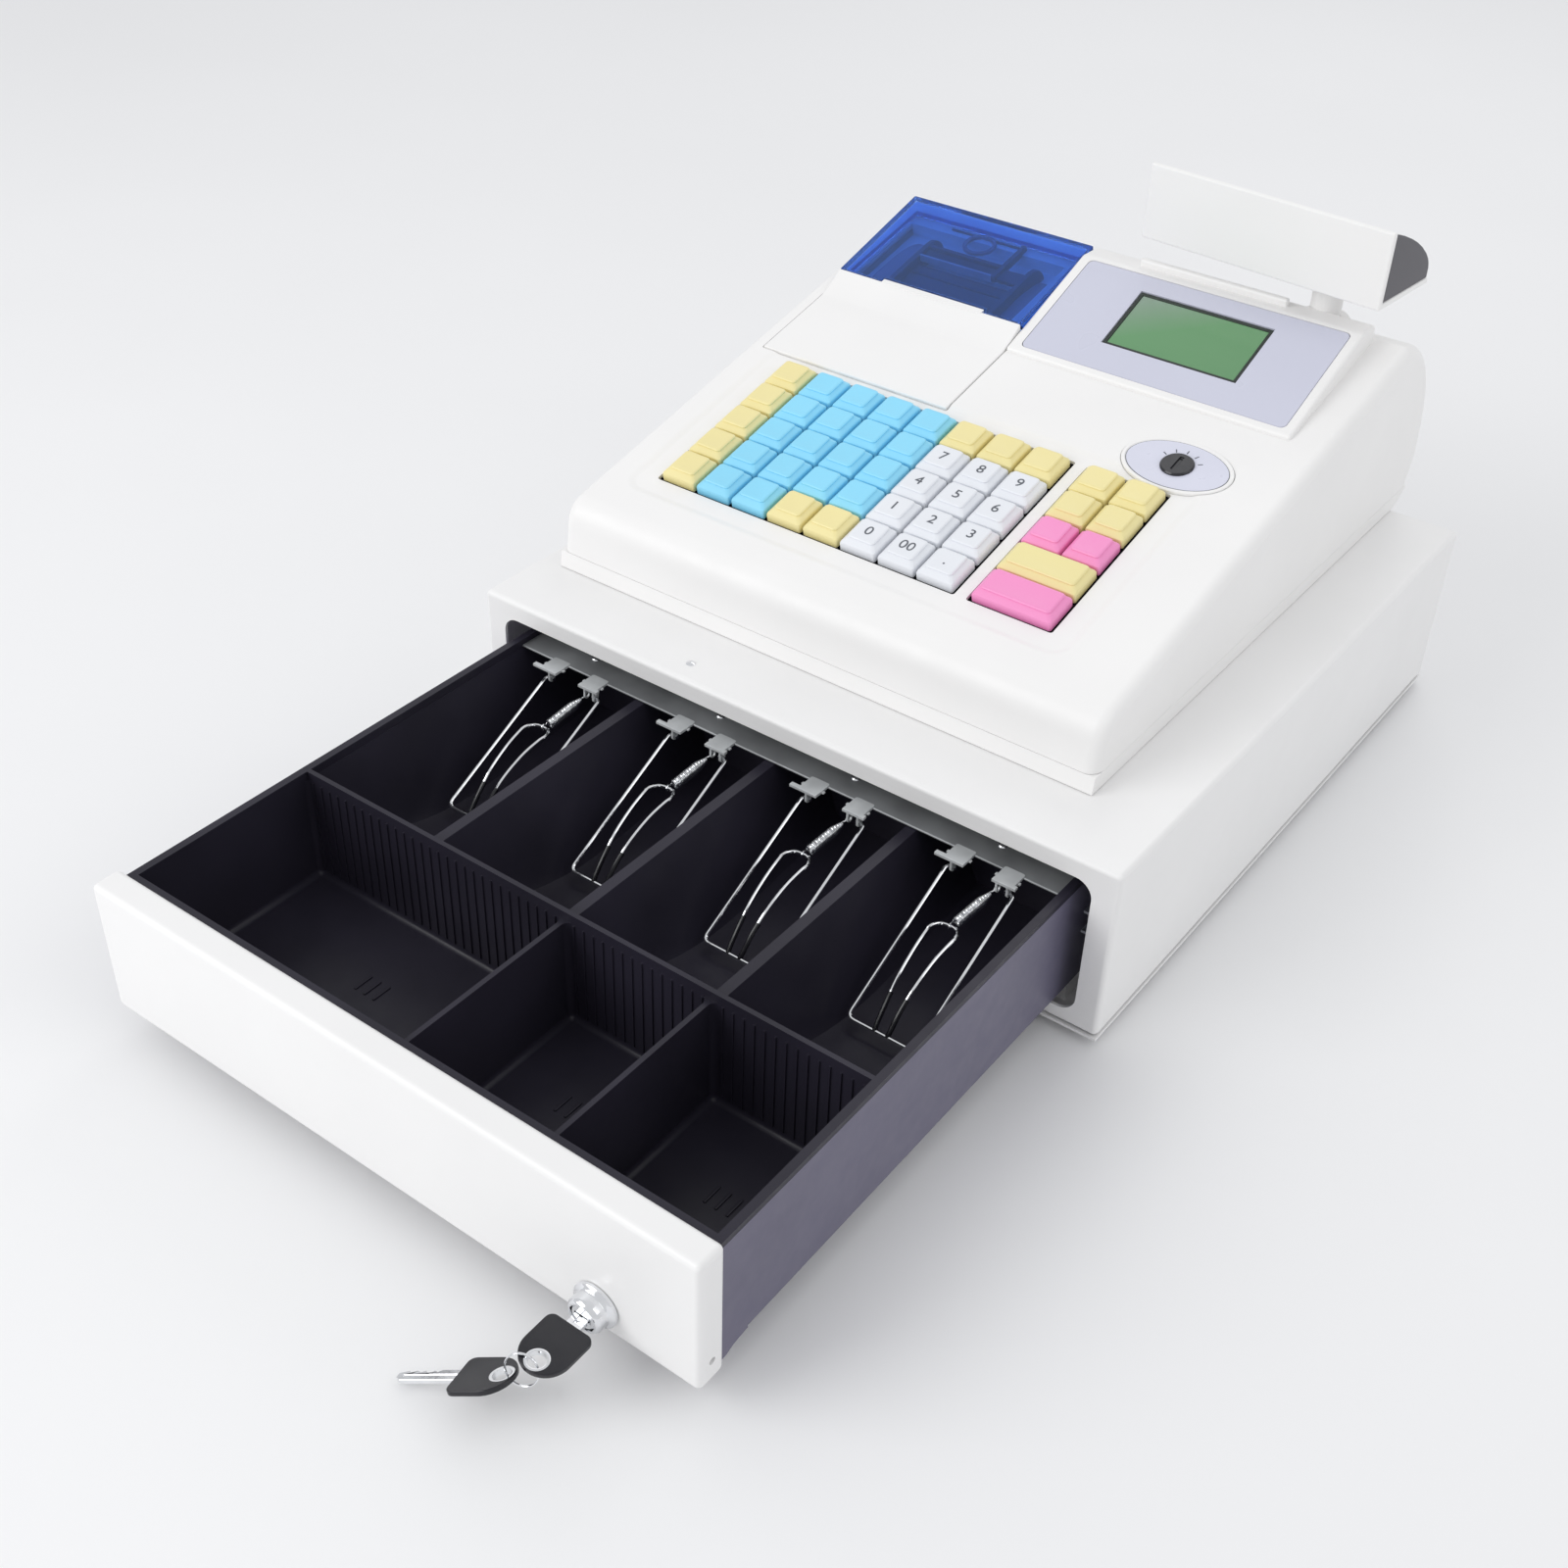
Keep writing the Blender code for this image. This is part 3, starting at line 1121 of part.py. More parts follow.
def key_group(name, deck, slot, places):
    """Neighbouring keys in one colour, joined by a thin web under their caps."""
    first = places[0]
    x, s = key_place(*first)
    item = add(name, loft_mesh(cap_rings(x, s)), deck, slot)
    for place in places[1:]:
        x, s = key_place(*place)
        join(item, loft_mesh(cap_rings(x, s)), "cap")
    half = KEY_WEB_WIDTH / 2
    for column in sorted({place[0] for place in places}):
        rows = [row for col, row in places if col == column]
        if len(rows) > 1:
            web(item, key_place(column, max(rows)), key_place(column, min(rows)), half)
    for row in sorted({place[1] for place in places}):
        columns = [col for col, line in places if line == row]
        if len(columns) > 1:
            web(item, key_place(min(columns), row), key_place(max(columns), row), half)
    return item


def web(item, start, end, half):
    low = (start[0] - half, start[1] - half, KEY_BOTTOM + GAP)
    high = (end[0] + half, end[1] + half, KEY_BOTTOM + GAP + KEY_WEB)
    join(item, box_mesh(low, high), "web")


NUMBER_KEYS = {
    "key_7": (5, 1), "key_8": (6, 1), "key_9": (7, 1), "key_4": (5, 2), "key_5": (6, 2), "key_6": (7, 2),
    "key_1": (5, 3), "key_2": (6, 3), "key_3": (7, 3), "key_0": (5, 4), "key_00": (6, 4), "key_point": (7, 4),
}
PINK_KEYS = {"key_clear": (8, 2), "key_change": (9, 2)}
WIDE_KEYS = {"key_subtotal": (8, 3), "key_total": (8, 4)}
BLUE_KEYS = [(column, row) for column in range(1, 5) for row in range(4)] + [(1, 4), (2, 4)]
LEFT_KEYS = [(0, row) for row in range(5)]
TOP_KEYS = [(5, 0), (6, 0), (7, 0)]
FRONT_KEYS = [(3, 4), (4, 4)]
RIGHT_KEYS = [(8, 0), (9, 0), (8, 1), (9, 1)]


def key_plate(deck, slot):
    """The dark plate under the keys, with a socket for each stem that moves."""
    main, side = block_bounds()
    low = (main[0][0] - PLATE_LIP, main[0][1] - PLATE_LIP, PLATE_TOP - PLATE_THICK)
    high = (side[1][0] + PLATE_LIP, side[1][1] + PLATE_LIP, -PLASTIC - GAP)
    item = add("key_plate", box_mesh(low, high), deck, slot)
    inner_low = (low[0] + PLATE_RIM, low[1] + PLATE_RIM, PLATE_TOP)
    cut(item, box_mesh(inner_low, (high[0] - PLATE_RIM, high[1] - PLATE_RIM, OVERRUN)), "basin")
    places = [key_place(*place) for place in (*NUMBER_KEYS.values(), *PINK_KEYS.values())]
    places += [(x + KEY_PITCH / 2, s) for x, s in (key_place(*place) for place in WIDE_KEYS.values())]
    half = KEY_STEM / 2 + GAP
    for x, s in places:
        hole_low = (x - half, s - half, PLATE_TOP - PLATE_THICK - OVERRUN)
        cut(item, box_mesh(hole_low, (x + half, s + half, PLATE_TOP + OVERRUN)), "socket")
    return item


def keyboard(deck, slots):
    key_plate(deck, slots["plate"])
    for name, place in NUMBER_KEYS.items():
        moving_key(name, deck, slots["white"], *place)
    for name, place in PINK_KEYS.items():
        moving_key(name, deck, slots["pink"], *place)
    for (name, place), slot in zip(WIDE_KEYS.items(), (slots["yellow"], slots["pink"])):
        moving_key(name, deck, slot, *place, extra=KEY_PITCH)
    key_group("blue_keys", deck, slots["blue"], BLUE_KEYS)
    key_group("yellow_keys_left", deck, slots["yellow"], LEFT_KEYS)
    key_group("yellow_keys_top", deck, slots["yellow"], TOP_KEYS)
    key_group("yellow_keys_front", deck, slots["yellow"], FRONT_KEYS)
    key_group("yellow_keys_right", deck, slots["yellow"], RIGHT_KEYS)


def exit_bounds(grow):
    """The left and right ends of the notch in the cover's front edge."""
    left = -WELL_LEFT + EXIT_LEFT
    return left - grow, left + EXIT_WIDTH + grow


def printer_front_panel(deck, slot):
    """The white panel before the cover, which ramps up to it and has a lip in the cover's notch."""
    start = WELL_START + WELL_CLEAR
    outline = [
        (start, -PLASTIC), (PANEL_END, -PLASTIC), (PANEL_END, COVER_FRONT_HEIGHT),
        (PANEL_END - PANEL_RAMP, PANEL_PROUD), (start, PANEL_PROUD),
    ]
    mesh = prism_mesh(outline, -WELL_LEFT + WELL_CLEAR, WELL_RIGHT - WELL_CLEAR)
    item = add("printer_front_panel", mesh, deck, slot)
    exit_left, exit_right = exit_bounds(-WELL_CLEAR)
    low = (exit_left, PANEL_END - SHEET, COVER_FRONT_HEIGHT - COVER_THICK)
    lip = box_mesh(low, (exit_right, PANEL_END + EXIT_DEPTH - WELL_CLEAR, COVER_FRONT_HEIGHT))
    join(item, lip)
    return item


def printer_cover(deck, slot):
    """The tinted cover, a shell that rises to its hinged rear edge and is open below and in front."""
    left, right = -WELL_LEFT + WELL_CLEAR, WELL_RIGHT - WELL_CLEAR
    end = COVER_END - WELL_CLEAR
    hinge = (ROLL_X, end, COVER_BACK_HEIGHT)
    outline = [
        (COVER_START + COVER_CUT, -COVER_DROP), (end, -COVER_DROP), (end, COVER_BACK_HEIGHT),
        (COVER_START, COVER_FRONT_HEIGHT), (COVER_START, COVER_FRONT_HEIGHT - COVER_THICK / 2),
    ]
    item = add("printer_cover", prism_mesh(outline, left, right), deck, slot, hinge)
    slope = (COVER_BACK_HEIGHT - COVER_FRONT_HEIGHT) / (end - COVER_START)
    front, back = COVER_START - OVERRUN, end - COVER_THICK
    under_front = COVER_FRONT_HEIGHT - COVER_THICK - OVERRUN * slope
    under_back = COVER_BACK_HEIGHT - COVER_THICK - COVER_THICK * slope
    below = -COVER_DROP - OVERRUN
    hollow = [(front, below), (back, below), (back, under_back), (front, under_front)]
    cut(item, prism_mesh(hollow, left + COVER_THICK, right - COVER_THICK))
    exit_left, exit_right = exit_bounds(0.0)
    low = (exit_left, COVER_START - OVERRUN, 0.0)
    cut(item, box_mesh(low, (exit_right, COVER_START + EXIT_DEPTH, COVER_BACK_HEIGHT)))
    return item


def printer_body(deck, slot):
    """The print mechanism, with cheeks that carry the paper roll's spindle."""
    centre = ROLL_X
    wide = PRINTER_WIDTH / 2
    top = -PRINTER_TOP_DEPTH
    low = (centre - wide, WELL_START + PRINTER_TOP_DEPTH, top - PRINTER_HEIGHT)
    item = add("printer_body", box_mesh(low, (centre + wide, low[1] + PRINTER_LENGTH, top)), deck, slot)
    inner = ROLL_WIDTH / 2 + 2 * GAP
    for side in (-1, 1):
        ends = sorted((centre + side * inner, centre + side * (inner + CHEEK_THICK)))
        cheek_low = (ends[0], low[1] + OVERRUN, top - PRINTER_HEIGHT)
        cheek_high = (ends[1], ROLL_UP + ROLL_CORE, top + CHEEK_RISE)
        join(item, box_mesh(cheek_low, cheek_high))
        stub = disc_points((ROLL_UP, -ROLL_DEPTH), (SPINDLE_RADIUS,) * 2, 16)
        stub_ends = sorted((centre + side * (inner - OVERRUN), centre + side * (inner + CHEEK_THICK / 2)))
        join(item, prism_mesh(stub, *stub_ends))
    return item


def paper_roll(deck, slot):
    axis_point = (ROLL_X, ROLL_UP, -ROLL_DEPTH)
    half = ROLL_WIDTH / 2
    rim = disc_points((ROLL_UP, -ROLL_DEPTH), (ROLL_RADIUS,) * 2, ROLL_SIDES)
    item = add("paper_roll", prism_mesh(rim, ROLL_X - half, ROLL_X + half), deck, slot, axis_point)
    core = disc_points((ROLL_UP, -ROLL_DEPTH), (ROLL_CORE,) * 2, ROLL_SIDES // 2)
    cut(item, prism_mesh(core, ROLL_X - half - OVERRUN, ROLL_X + half + OVERRUN))
    return item


def power_inlet(root, slot):
    centre = (-INLET_FROM_CENTRE, BULGE_Z + INLET_LIFT)
    outer = disc_points(centre, (INLET_RADIUS,) * 2, INLET_SIDES)
    back = HEAD_BACK - INLET_DEPTH
    item = add("power_inlet", prism_mesh(outer, back + GAP, HEAD_BACK - PLASTIC / 2, axis=1), root, slot)
    bore = disc_points(centre, (INLET_BORE,) * 2, INLET_SIDES)
    cut(item, prism_mesh(bore, back + PLASTIC, HEAD_BACK + OVERRUN, axis=1))
    return item


def display_post(root, slot):
    axis_point = (POST_FROM_CENTRE, POST_BACK, boss_top())
    points = disc_points((POST_FROM_CENTRE, POST_BACK), (POST_RADIUS,) * 2, POST_SIDES)
    low = DECK_END_Z - BOSS_RISE + GAP
    add("display_post", prism_mesh(points, low, DISPLAY_LIFT - GAP, axis=2), root, slot, axis_point)


def display_turned(mesh):
    """The customer display's shapes stand turned about the post, as it is left at rest."""
    post = Matrix.Translation((POST_FROM_CENTRE, POST_BACK, 0.0))
    mesh.transform(post @ Matrix.Rotation(math.radians(DISPLAY_TURN), 4, "Z") @ post.inverted())
    return mesh


def display_housing(root, slot):
    """The white front, foot and back lip of the customer display."""
    front, back = DISPLAY_FRONT, DISPLAY_FRONT + DISPLAY_DEPTH
    low, high = DISPLAY_LIFT, DISPLAY_LIFT + DISPLAY_HEIGHT
    outline = [
        (front, low), (back, low), (back, low + DISPLAY_WALL), (front + DISPLAY_WALL, low + DISPLAY_WALL),
        (front + DISPLAY_WALL, high - DISPLAY_EDGE), (front + DISPLAY_EDGE, high), (front, high),
    ]
    axis_point = (POST_FROM_CENTRE, POST_BACK, boss_top())
    mesh = display_turned(prism_mesh(outline, -DISPLAY_LEFT, DISPLAY_WIDTH - DISPLAY_LEFT))
    add("customer_display_housing", mesh, root, slot, axis_point)


def display_lens(root, slot):
    """The tinted lens that curves down behind the white front, hollow and open towards it."""
    front, back = DISPLAY_FRONT + DISPLAY_WALL + GAP, DISPLAY_FRONT + DISPLAY_DEPTH - DISPLAY_WALL / 2
    low = DISPLAY_LIFT + DISPLAY_WALL + GAP
    high = DISPLAY_LIFT + DISPLAY_HEIGHT - DISPLAY_EDGE - GAP
    start = (DISPLAY_FRONT + DISPLAY_EDGE + GAP, DISPLAY_LIFT + DISPLAY_HEIGHT - GAP)
    top = math.radians(LENS_TOP_ANGLE)
    radii = ((back - start[0]) / (1.0 - math.cos(top)), (start[1] - low) / math.sin(top))
    curve = arc((back - radii[0], low), radii, 0, LENS_TOP_ANGLE, LENS_STEPS)
    outline = [(front, low)] + curve + [(front, high)]
    left, right = -DISPLAY_LEFT + GAP, DISPLAY_WIDTH - DISPLAY_LEFT - GAP
    axis_point = (POST_FROM_CENTRE, POST_BACK, boss_top())
    mesh = display_turned(prism_mesh(outline, left, right))
    item = add("customer_display_lens", mesh, root, slot, axis_point)
    hollow = inset(outline, LENS_WALL)
    hollow[0] = (hollow[0][0], low - OVERRUN)
    hollow[1] = (hollow[1][0], low - OVERRUN)
    cut(item, display_turned(prism_mesh(hollow, left + LENS_WALL, right - LENS_WALL)))
    return item


def centre_depth(root):
    """Moves everything along y so that the middle of its depth lies on the origin."""
    bpy.context.view_layer.update()
    graph = bpy.context.evaluated_depsgraph_get()
    depths = []
    for item in bpy.data.objects:
        if item.type == "MESH" and not item.hide_render:
            solid = item.evaluated_get(graph)
            depths += [(solid.matrix_world @ vert.co).y for vert in solid.data.vertices]
    root.location.y = -(min(depths) + max(depths)) / 2


def main():
    clear_scene()
    root = empty("register_frame", (0.0, 0.0, 0.0))
    deck = empty("deck_frame", (0.0, HEAD_FRONT, DECK_FRONT_Z), root, DECK_ANGLE)
    white = material("white_enamel", (0.88, 0.87, 0.86), 0.42)
    shell = material("white_plastic", (0.90, 0.89, 0.88), 0.45)
    steel = material("grey_steel", (0.26, 0.25, 0.33), 0.45, 0.3)
    zinc = material("zinc_steel", (0.42, 0.44, 0.45), 0.4, 0.9)
    black = material("tray_black", (0.014, 0.013, 0.025), 0.5)
    rubber = material("rubber_black", (0.02, 0.02, 0.02), 0.8)
    chrome = material("chrome", (0.80, 0.80, 0.82), 0.15, 1.0)
    key_slots = {
        "plate": material("key_plate_dark", (0.03, 0.03, 0.05), 0.6),
        "white": material("key_white", (0.80, 0.82, 0.85), 0.4),
        "yellow": material("key_yellow", (0.86, 0.77, 0.37), 0.4),
        "pink": material("key_pink", (0.93, 0.34, 0.64), 0.4),
        "blue": material("key_blue", (0.27, 0.69, 0.93), 0.4),
    }
    casing_shell(root, white)
    casing_floor(root, white)
    feet(root, rubber)
    runner_channels(root, zinc)
    drawer_latch(root, zinc)
    drawer_pan(root, steel)
    drawer_front(root, white)
    cash_tray(root, black)
    clip_rail(root, zinc)
    for number, centre in enumerate(BAY_CENTRES, 1):
        clip_frame(root, chrome, number, centre)
        clip_spring(root, chrome, number, centre)
    lock(root, chrome)
    drawer_key(root, black)
    key_ring(root, chrome)
    spare_key(root, black)
    head_base(root, shell)
    head_shell(root, deck, shell)
    keyboard(deck, key_slots)
    bezel_slot = material("bezel_lilac", (0.62, 0.63, 0.72), 0.4)
    display(deck, bezel_slot, material("lcd_green", (0.16, 0.42, 0.17), 0.25))
    mode_switch(deck, material("switch_lilac", (0.70, 0.71, 0.80), 0.4), black)
    printer_body(deck, black)
    paper_roll(deck, material("paper", (0.92, 0.92, 0.90), 0.8))
    printer_front_panel(deck, shell)
    printer_cover(deck, material("cover_blue", (0.02, 0.07, 0.75), 0.12, 0.0, 0.45))
    power_inlet(root, black)
    display_post(root, shell)
    display_housing(root, shell)
    display_lens(root, material("lens_grey", (0.11, 0.10, 0.12), 0.15))
    centre_depth(root)


main()
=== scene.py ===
import json
from math import atan2, cos, pi, radians, sin, tan

import bmesh
import bpy
from mathutils import Matrix, Vector


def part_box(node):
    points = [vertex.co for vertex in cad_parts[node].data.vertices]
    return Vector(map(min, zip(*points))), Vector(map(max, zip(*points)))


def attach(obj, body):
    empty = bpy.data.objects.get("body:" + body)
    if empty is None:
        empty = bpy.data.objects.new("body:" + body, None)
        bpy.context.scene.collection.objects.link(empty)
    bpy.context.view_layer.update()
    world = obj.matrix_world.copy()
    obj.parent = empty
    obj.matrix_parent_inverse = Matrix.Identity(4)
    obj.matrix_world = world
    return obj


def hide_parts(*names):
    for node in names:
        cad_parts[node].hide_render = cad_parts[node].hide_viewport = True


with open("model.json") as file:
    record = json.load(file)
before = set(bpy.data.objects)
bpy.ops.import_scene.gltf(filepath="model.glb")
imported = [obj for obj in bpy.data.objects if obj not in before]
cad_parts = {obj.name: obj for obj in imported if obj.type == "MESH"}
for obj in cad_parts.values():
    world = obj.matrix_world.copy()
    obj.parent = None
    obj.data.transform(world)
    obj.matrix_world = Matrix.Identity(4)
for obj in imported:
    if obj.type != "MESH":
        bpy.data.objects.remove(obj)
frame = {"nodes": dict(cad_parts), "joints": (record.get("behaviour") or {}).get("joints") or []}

at = Matrix.Translation

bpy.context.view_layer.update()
JOINTS = {joint["name"]: joint for joint in frame["joints"]}

# Camera of the photograph: its place, its direction of view and its lens on a 36 mm sensor
CAMERA_PLACE = (0.3928, -0.57784, 0.5591)
CAMERA_LOOK = (-0.4652, 0.6501, -0.6008)
CAMERA_UP = (-0.3769, 0.4686, 0.7990)
CAMERA_LENS = 44.217
CAMERA_SENSOR = 36.0
CAMERA_RANGE = (0.01, 20.0)

# Common clearances, wall thicknesses and edge radii. AXIS is the least radius of a turned profile.
GAP = 0.0003
OVERRUN = 0.004
AXIS = 1e-5
SHEET = 0.0012
PLASTIC = 0.0025
EDGE_HAIR = 0.0002
EDGE_FINE = 0.0003
EDGE_MEDIUM = 0.0006
EDGE_COARSE = 0.0008

# Casing and drawer front
FRAME_SIDE = 0.0115
FRAME_TOP = 0.0095
FRAME_BOTTOM = 0.0090
FRAME_THICK = 0.0015
OPENING_RADIUS = 0.008
CASING_FOLD = 0.0025
SCREW_RADIUS = 0.0016
SCREW_LIFT = 0.0105
SCREW_DEPTH = 0.0040
CASING_SCREW = (-0.0545, 0.0118)
CASING_SCREW_RADIUS = 0.0022
CASING_SCREW_PROFILE = (
    (0.0001, -GAP), (CASING_SCREW_RADIUS, -GAP), (CASING_SCREW_RADIUS, 0.0002),
    (CASING_SCREW_RADIUS * 0.6, 0.0007), (0.0001, 0.0008),
)

# Drawer pan
PAN_SHEET = 0.0010
PAN_FOLD = 0.0016
PAN_TAB_DROP = 0.0024
PAN_TAB_LENGTH = 0.0160
PAN_WIDTH = 0.2944
EAR_LENGTH = 0.026
EAR_HEIGHT = 0.0085
EAR_LIFT = 0.030

# Cash tray
TRAY_RIM = 0.0013
TRAY_RIM_DROP = 0.0024
TRAY_WALL = 0.0022
TRAY_FLOOR = 0.0025
COIN_LENGTH = 0.0865
COIN_SPLIT_SHARES = (0.5, 0.75)
COIN_FILLET = 0.0030
DIVIDER_DROP = 0.0040
DIVIDER_TOP = 0.0050
DIVIDER_SLOPE = 0.0160
DIVIDER_CURVE = 1.5
BILL_BAYS = 4
BILL_FLOOR_RISE_SHARES = (0.43, 0.18, 0.07, 0.07, 0.11, 0.14)
RIB_PITCH = 0.00485
RIB_WIDTH = 0.0011
RIB_PROUD = 0.0006
BAR_LENGTH = 0.0095
BAR_WIDTH = 0.0012
BAR_PITCH = 0.0052
BAR_HEIGHT = 0.0006
BAR_FROM_FRONT = 0.0518

# Clip rail and bill clips
RAIL_THICK = 0.0012
STUD_RADIUS = 0.0021
STUD_SETBACK = 0.0125
STUD_HEIGHT = 0.0014
BRACKET_WIDTH = 0.0095
BRACKET_REACH = 0.0080
BRACKET_THICK = 0.0010
BRACKET_OFFSET = 0.0105
BRACKET_SHIFT = 0.0020
BRACKET_WING = 0.0042
BRACKET_BAR = 0.0014
BRACKET_CORNER = 0.0010
BRACKET_EDGE = 0.00015
EAR_THICK = 0.0010
EAR_REACH = 0.0036
CLIP_LENGTH = 0.0760
CLIP_HALF_WIDTH = 0.0160
CLIP_ANGLE = 27.0
CLIP_WIRE = 0.0009
CLIP_TAIL = 0.0044
CLIP_CORNER = 0.0035
HAIRPIN_WIRE = 0.0008
HAIRPIN_LEG = (
    (0.0030, 1.0, 0.0), (0.0033, 0.95, 0.0016), (0.0035, 0.86, 0.0042), (0.0042, 0.72, 0.0068),
    (0.0050, 0.55, 0.0068), (0.0058, 0.42, 0.0048), (0.0060, 0.365, 0.0030), (0.0040, 0.318, 0.0008),
)
HAIRPIN_LOOP_SHARE = 0.305
HAIRPIN_LOOP_RISE = 0.0
SLEEVE_LENGTH = 0.0170
SLEEVE_RADIUS = 0.0011
SPRING_HEAD = (0.0063, 0.0030, -0.0014)
SPRING_FOOT = (0.0008, 0.0205, -0.0010)
SPRING_RADIUS = 0.0023
SPRING_TAPER = 0.35
SPRING_GROWTH = 2.5
SPRING_STEPS = 14
SPRING_WIRE = 0.00033
SPRING_CURLS = 26

# Lock and keys
LOCK_PROUD = 0.0080
LOCK_FLANGE_RADIUS = 0.0095
LOCK_FLANGE_THICK = 0.0022
LOCK_BARREL_RADIUS = 0.0076
LOCK_PLUG_RADIUS = 0.0052
LOCK_TAIL = 0.0075
LOCK_LIP = 0.0006
LOCK_BEVEL = 0.0005
LOCK_CONE_IN = 0.0008
LOCK_CONE_DROP = 0.0018
LOCK_FILLET = 0.0012
LOCK_FLANGE_DROP = 0.0007
LOCK_PLUG_SUNK = 0.0004
KEYWAY_WIDTH = 0.0072
KEYWAY_HEIGHT = 0.0024
KEY_NECK = 0.0042
KEY_NECK_WIDTH = 0.0062
KEY_NECK_THICK = 0.0016
KEY_BLADE = 0.0090
BOW_WIDTH = 0.0195
BOW_LENGTH = 0.0225
BOW_THICK = 0.0022
BOW_HOLE = 0.0037
BOW_HOLE_INSET = 0.0049
BOW_CORNER = 0.0030
BOW_EDGE = 0.0005
EYELET_MIDDLE = 0.0004
EYELET_RIM = 0.0008
EYELET_CROWN = 0.00015
BLADE_CUT = 0.0012
BLADE_NICK = 0.0004
BLADE_EDGE = 0.00012
RING_RADIUS = 0.0062
RING_WIRE = 0.0006
RING_WIRE_SHARE = 0.55
RING_STEPS = 96
RING_SLOPE = 65.0
RING_HANG = 0.0008
SPARE_HANG = 0.0021
SPARE_HEADING_SHARES = (-0.865, -0.344, -0.365)
SPARE_BLADE_LENGTH = 0.0240
SPARE_BLADE_WIDTH = 0.0056
SPARE_BLADE_THICK = 0.0016

# Register head
HEAD_FRONT_HEIGHT = 0.0311
HEAD_BASE_HEIGHT = 0.0080
HEAD_FRONT_LEAN = 0.0045
HEAD_FRONT_ROUND = 0.0100
HEAD_SIDE_ROUND = 0.0060
DECK_ANGLE = radians(13.0)
DECK_LENGTH = 0.2800
BULGE_HEIGHT = 0.0260
BACK_TUCK = 0.0214

# Display wedge, measured on the deck: across, up the slope, and out from it
WEDGE_LEFT = 0.0363
WEDGE_RIGHT = 0.1135
WEDGE_START = 0.2000
WEDGE_FRONT_STEP = 0.0019
WEDGE_PEAK_START = 0.2735
WEDGE_PEAK = 0.0119
WEDGE_END = 0.2873
WEDGE_END_STEP = 0.0084
WEDGE_ROUND = 0.0018
BEZEL_LEFT = 0.0304
BEZEL_WIDTH = 0.1388
BEZEL_HEIGHT = 0.0678
BEZEL_THICK = 0.0012
BEZEL_INSET = 0.0042
BEZEL_CORNER = 0.0030
LCD_FROM_LEFT = 0.0348
LCD_FROM_BOTTOM = 0.0177
LCD_WIDTH = 0.0704
LCD_HEIGHT = 0.0391
LCD_THICK = 0.0040
LCD_RECESS = 0.0006
LCD_BORDER = 0.0017
LCD_GLASS_DROP = 0.0007
RIDGE_LEFT = 0.0070
RIDGE_LENGTH = 0.0790
RIDGE_WIDTH = 0.0052
RIDGE_HEIGHT = 0.0022
RIDGE_ROUND = 0.0012
HOLE_CORNER = 0.0012

# Keyboard, on the deck
KEY_PITCH = 0.0203
KEY_ROW_PITCH = 0.0200
KEY_LEFT = 0.1163
KEY_BACK_ROW = 0.1313
KEY_COLUMNS = 8
KEY_ROWS = 5
KEY_BLOCK_STEP = 0.1704
KEY_BASE = 0.0194
KEY_TOP = 0.0142
KEY_TOP_SHIFT = 0.0008
KEY_PROUD = 0.0048
KEY_SKIRT = 0.0020
KEY_BOTTOM = -0.0022
KEY_MARGIN = 0.0015
KEY_STEM = 0.0052
KEY_CORNER = 0.0016
KEY_EDGE = 0.0003
KEY_TOP_EDGE = 0.0001
KEY_TOP_ROUND = 0.0010
KEY_TOP_DROP = 0.0011
KEY_DISH = 0.0003
DIGIT_SIZE = 0.0078
DIGIT_THICK = 0.00012
SURROUND = 0.0085
SURROUND_SLOPE = 0.0045
SURROUND_DROP = 0.0008
SURROUND_CORNER = 0.006

# Mode switch, on the deck
SWITCH_HALF_WIDTH = 0.0268
SWITCH_HALF_HEIGHT = 0.0180
SWITCH_RIM = 0.0021
SWITCH_TOP = 0.0008
SWITCH_SUNK = 0.0010
SWITCH_FIELD_DROP = 0.0004
SWITCH_LINE_DROP = 0.0005
SWITCH_EDGE_STEPS = (
    (0.0, 0.0005), (0.0003, 0.0001), (0.0008, 0.0), (SWITCH_RIM - 0.0005, 0.0001), (SWITCH_RIM, 0.0006),
)
SWITCH_STOPS = (-60, -30, 0, 30, 60)
ROTOR_RADIUS = 0.0078
ROTOR_SHAFT = 0.0032
ROTOR_PROUD = 0.0016
ROTOR_DEPTH = 0.0120
ROTOR_SLOT_WIDTH = 0.0022
ROTOR_SLOT_LENGTH = 0.0100
ROTOR_SLOT_DEPTH = 0.0010
MARK_LENGTH = 0.0022
MARK_WIDTH = 0.0005
MARK_THICK = 0.0001

# Printer, on the deck
WELL_LEFT = 0.1456
WELL_WIDTH = 0.1096
WELL_START = 0.1468
PANEL_LENGTH = 0.0679
PANEL_RAMP = 0.0180
PANEL_PROUD = 0.0006
PANEL_BEND = 1.4
COVER_LENGTH = 0.0703
COVER_THICK = 0.0022
COVER_DROP = 0.0018
COVER_CUT = 0.0040
COVER_FRONT_HEIGHT = 0.0062
COVER_BACK_HEIGHT = 0.0102
COVER_ROUND = 0.0007
WELL_CLEAR = 0.0006
LEDGE_WIDTH = 0.0030
LEDGE_THICK = 0.0016
EXIT_LEFT = 0.0261
EXIT_WIDTH = 0.0610
EXIT_DEPTH = 0.0030
PRINTER_HEIGHT = 0.0300
PRINTER_LENGTH = 0.0440
PRINTER_WIDTH = 0.0860
PRINTER_TOP_DEPTH = 0.0140
CHEEK_THICK = 0.0030
CHEEK_FRONT = 0.2190
CHEEK_BACK = 0.2735
CHEEK_ROUND = 0.0120
CHEEK_EDGE = 0.0004
GUARD_WIDTH = 0.0110
GUARD_TOP = -0.0030
GUARD_BACK = 0.2740
GUARD_ROUND = 0.0300
GUIDE_START = 0.2505
GUIDE_WIDTH = 0.0110
GUIDE_BACK = 0.2820
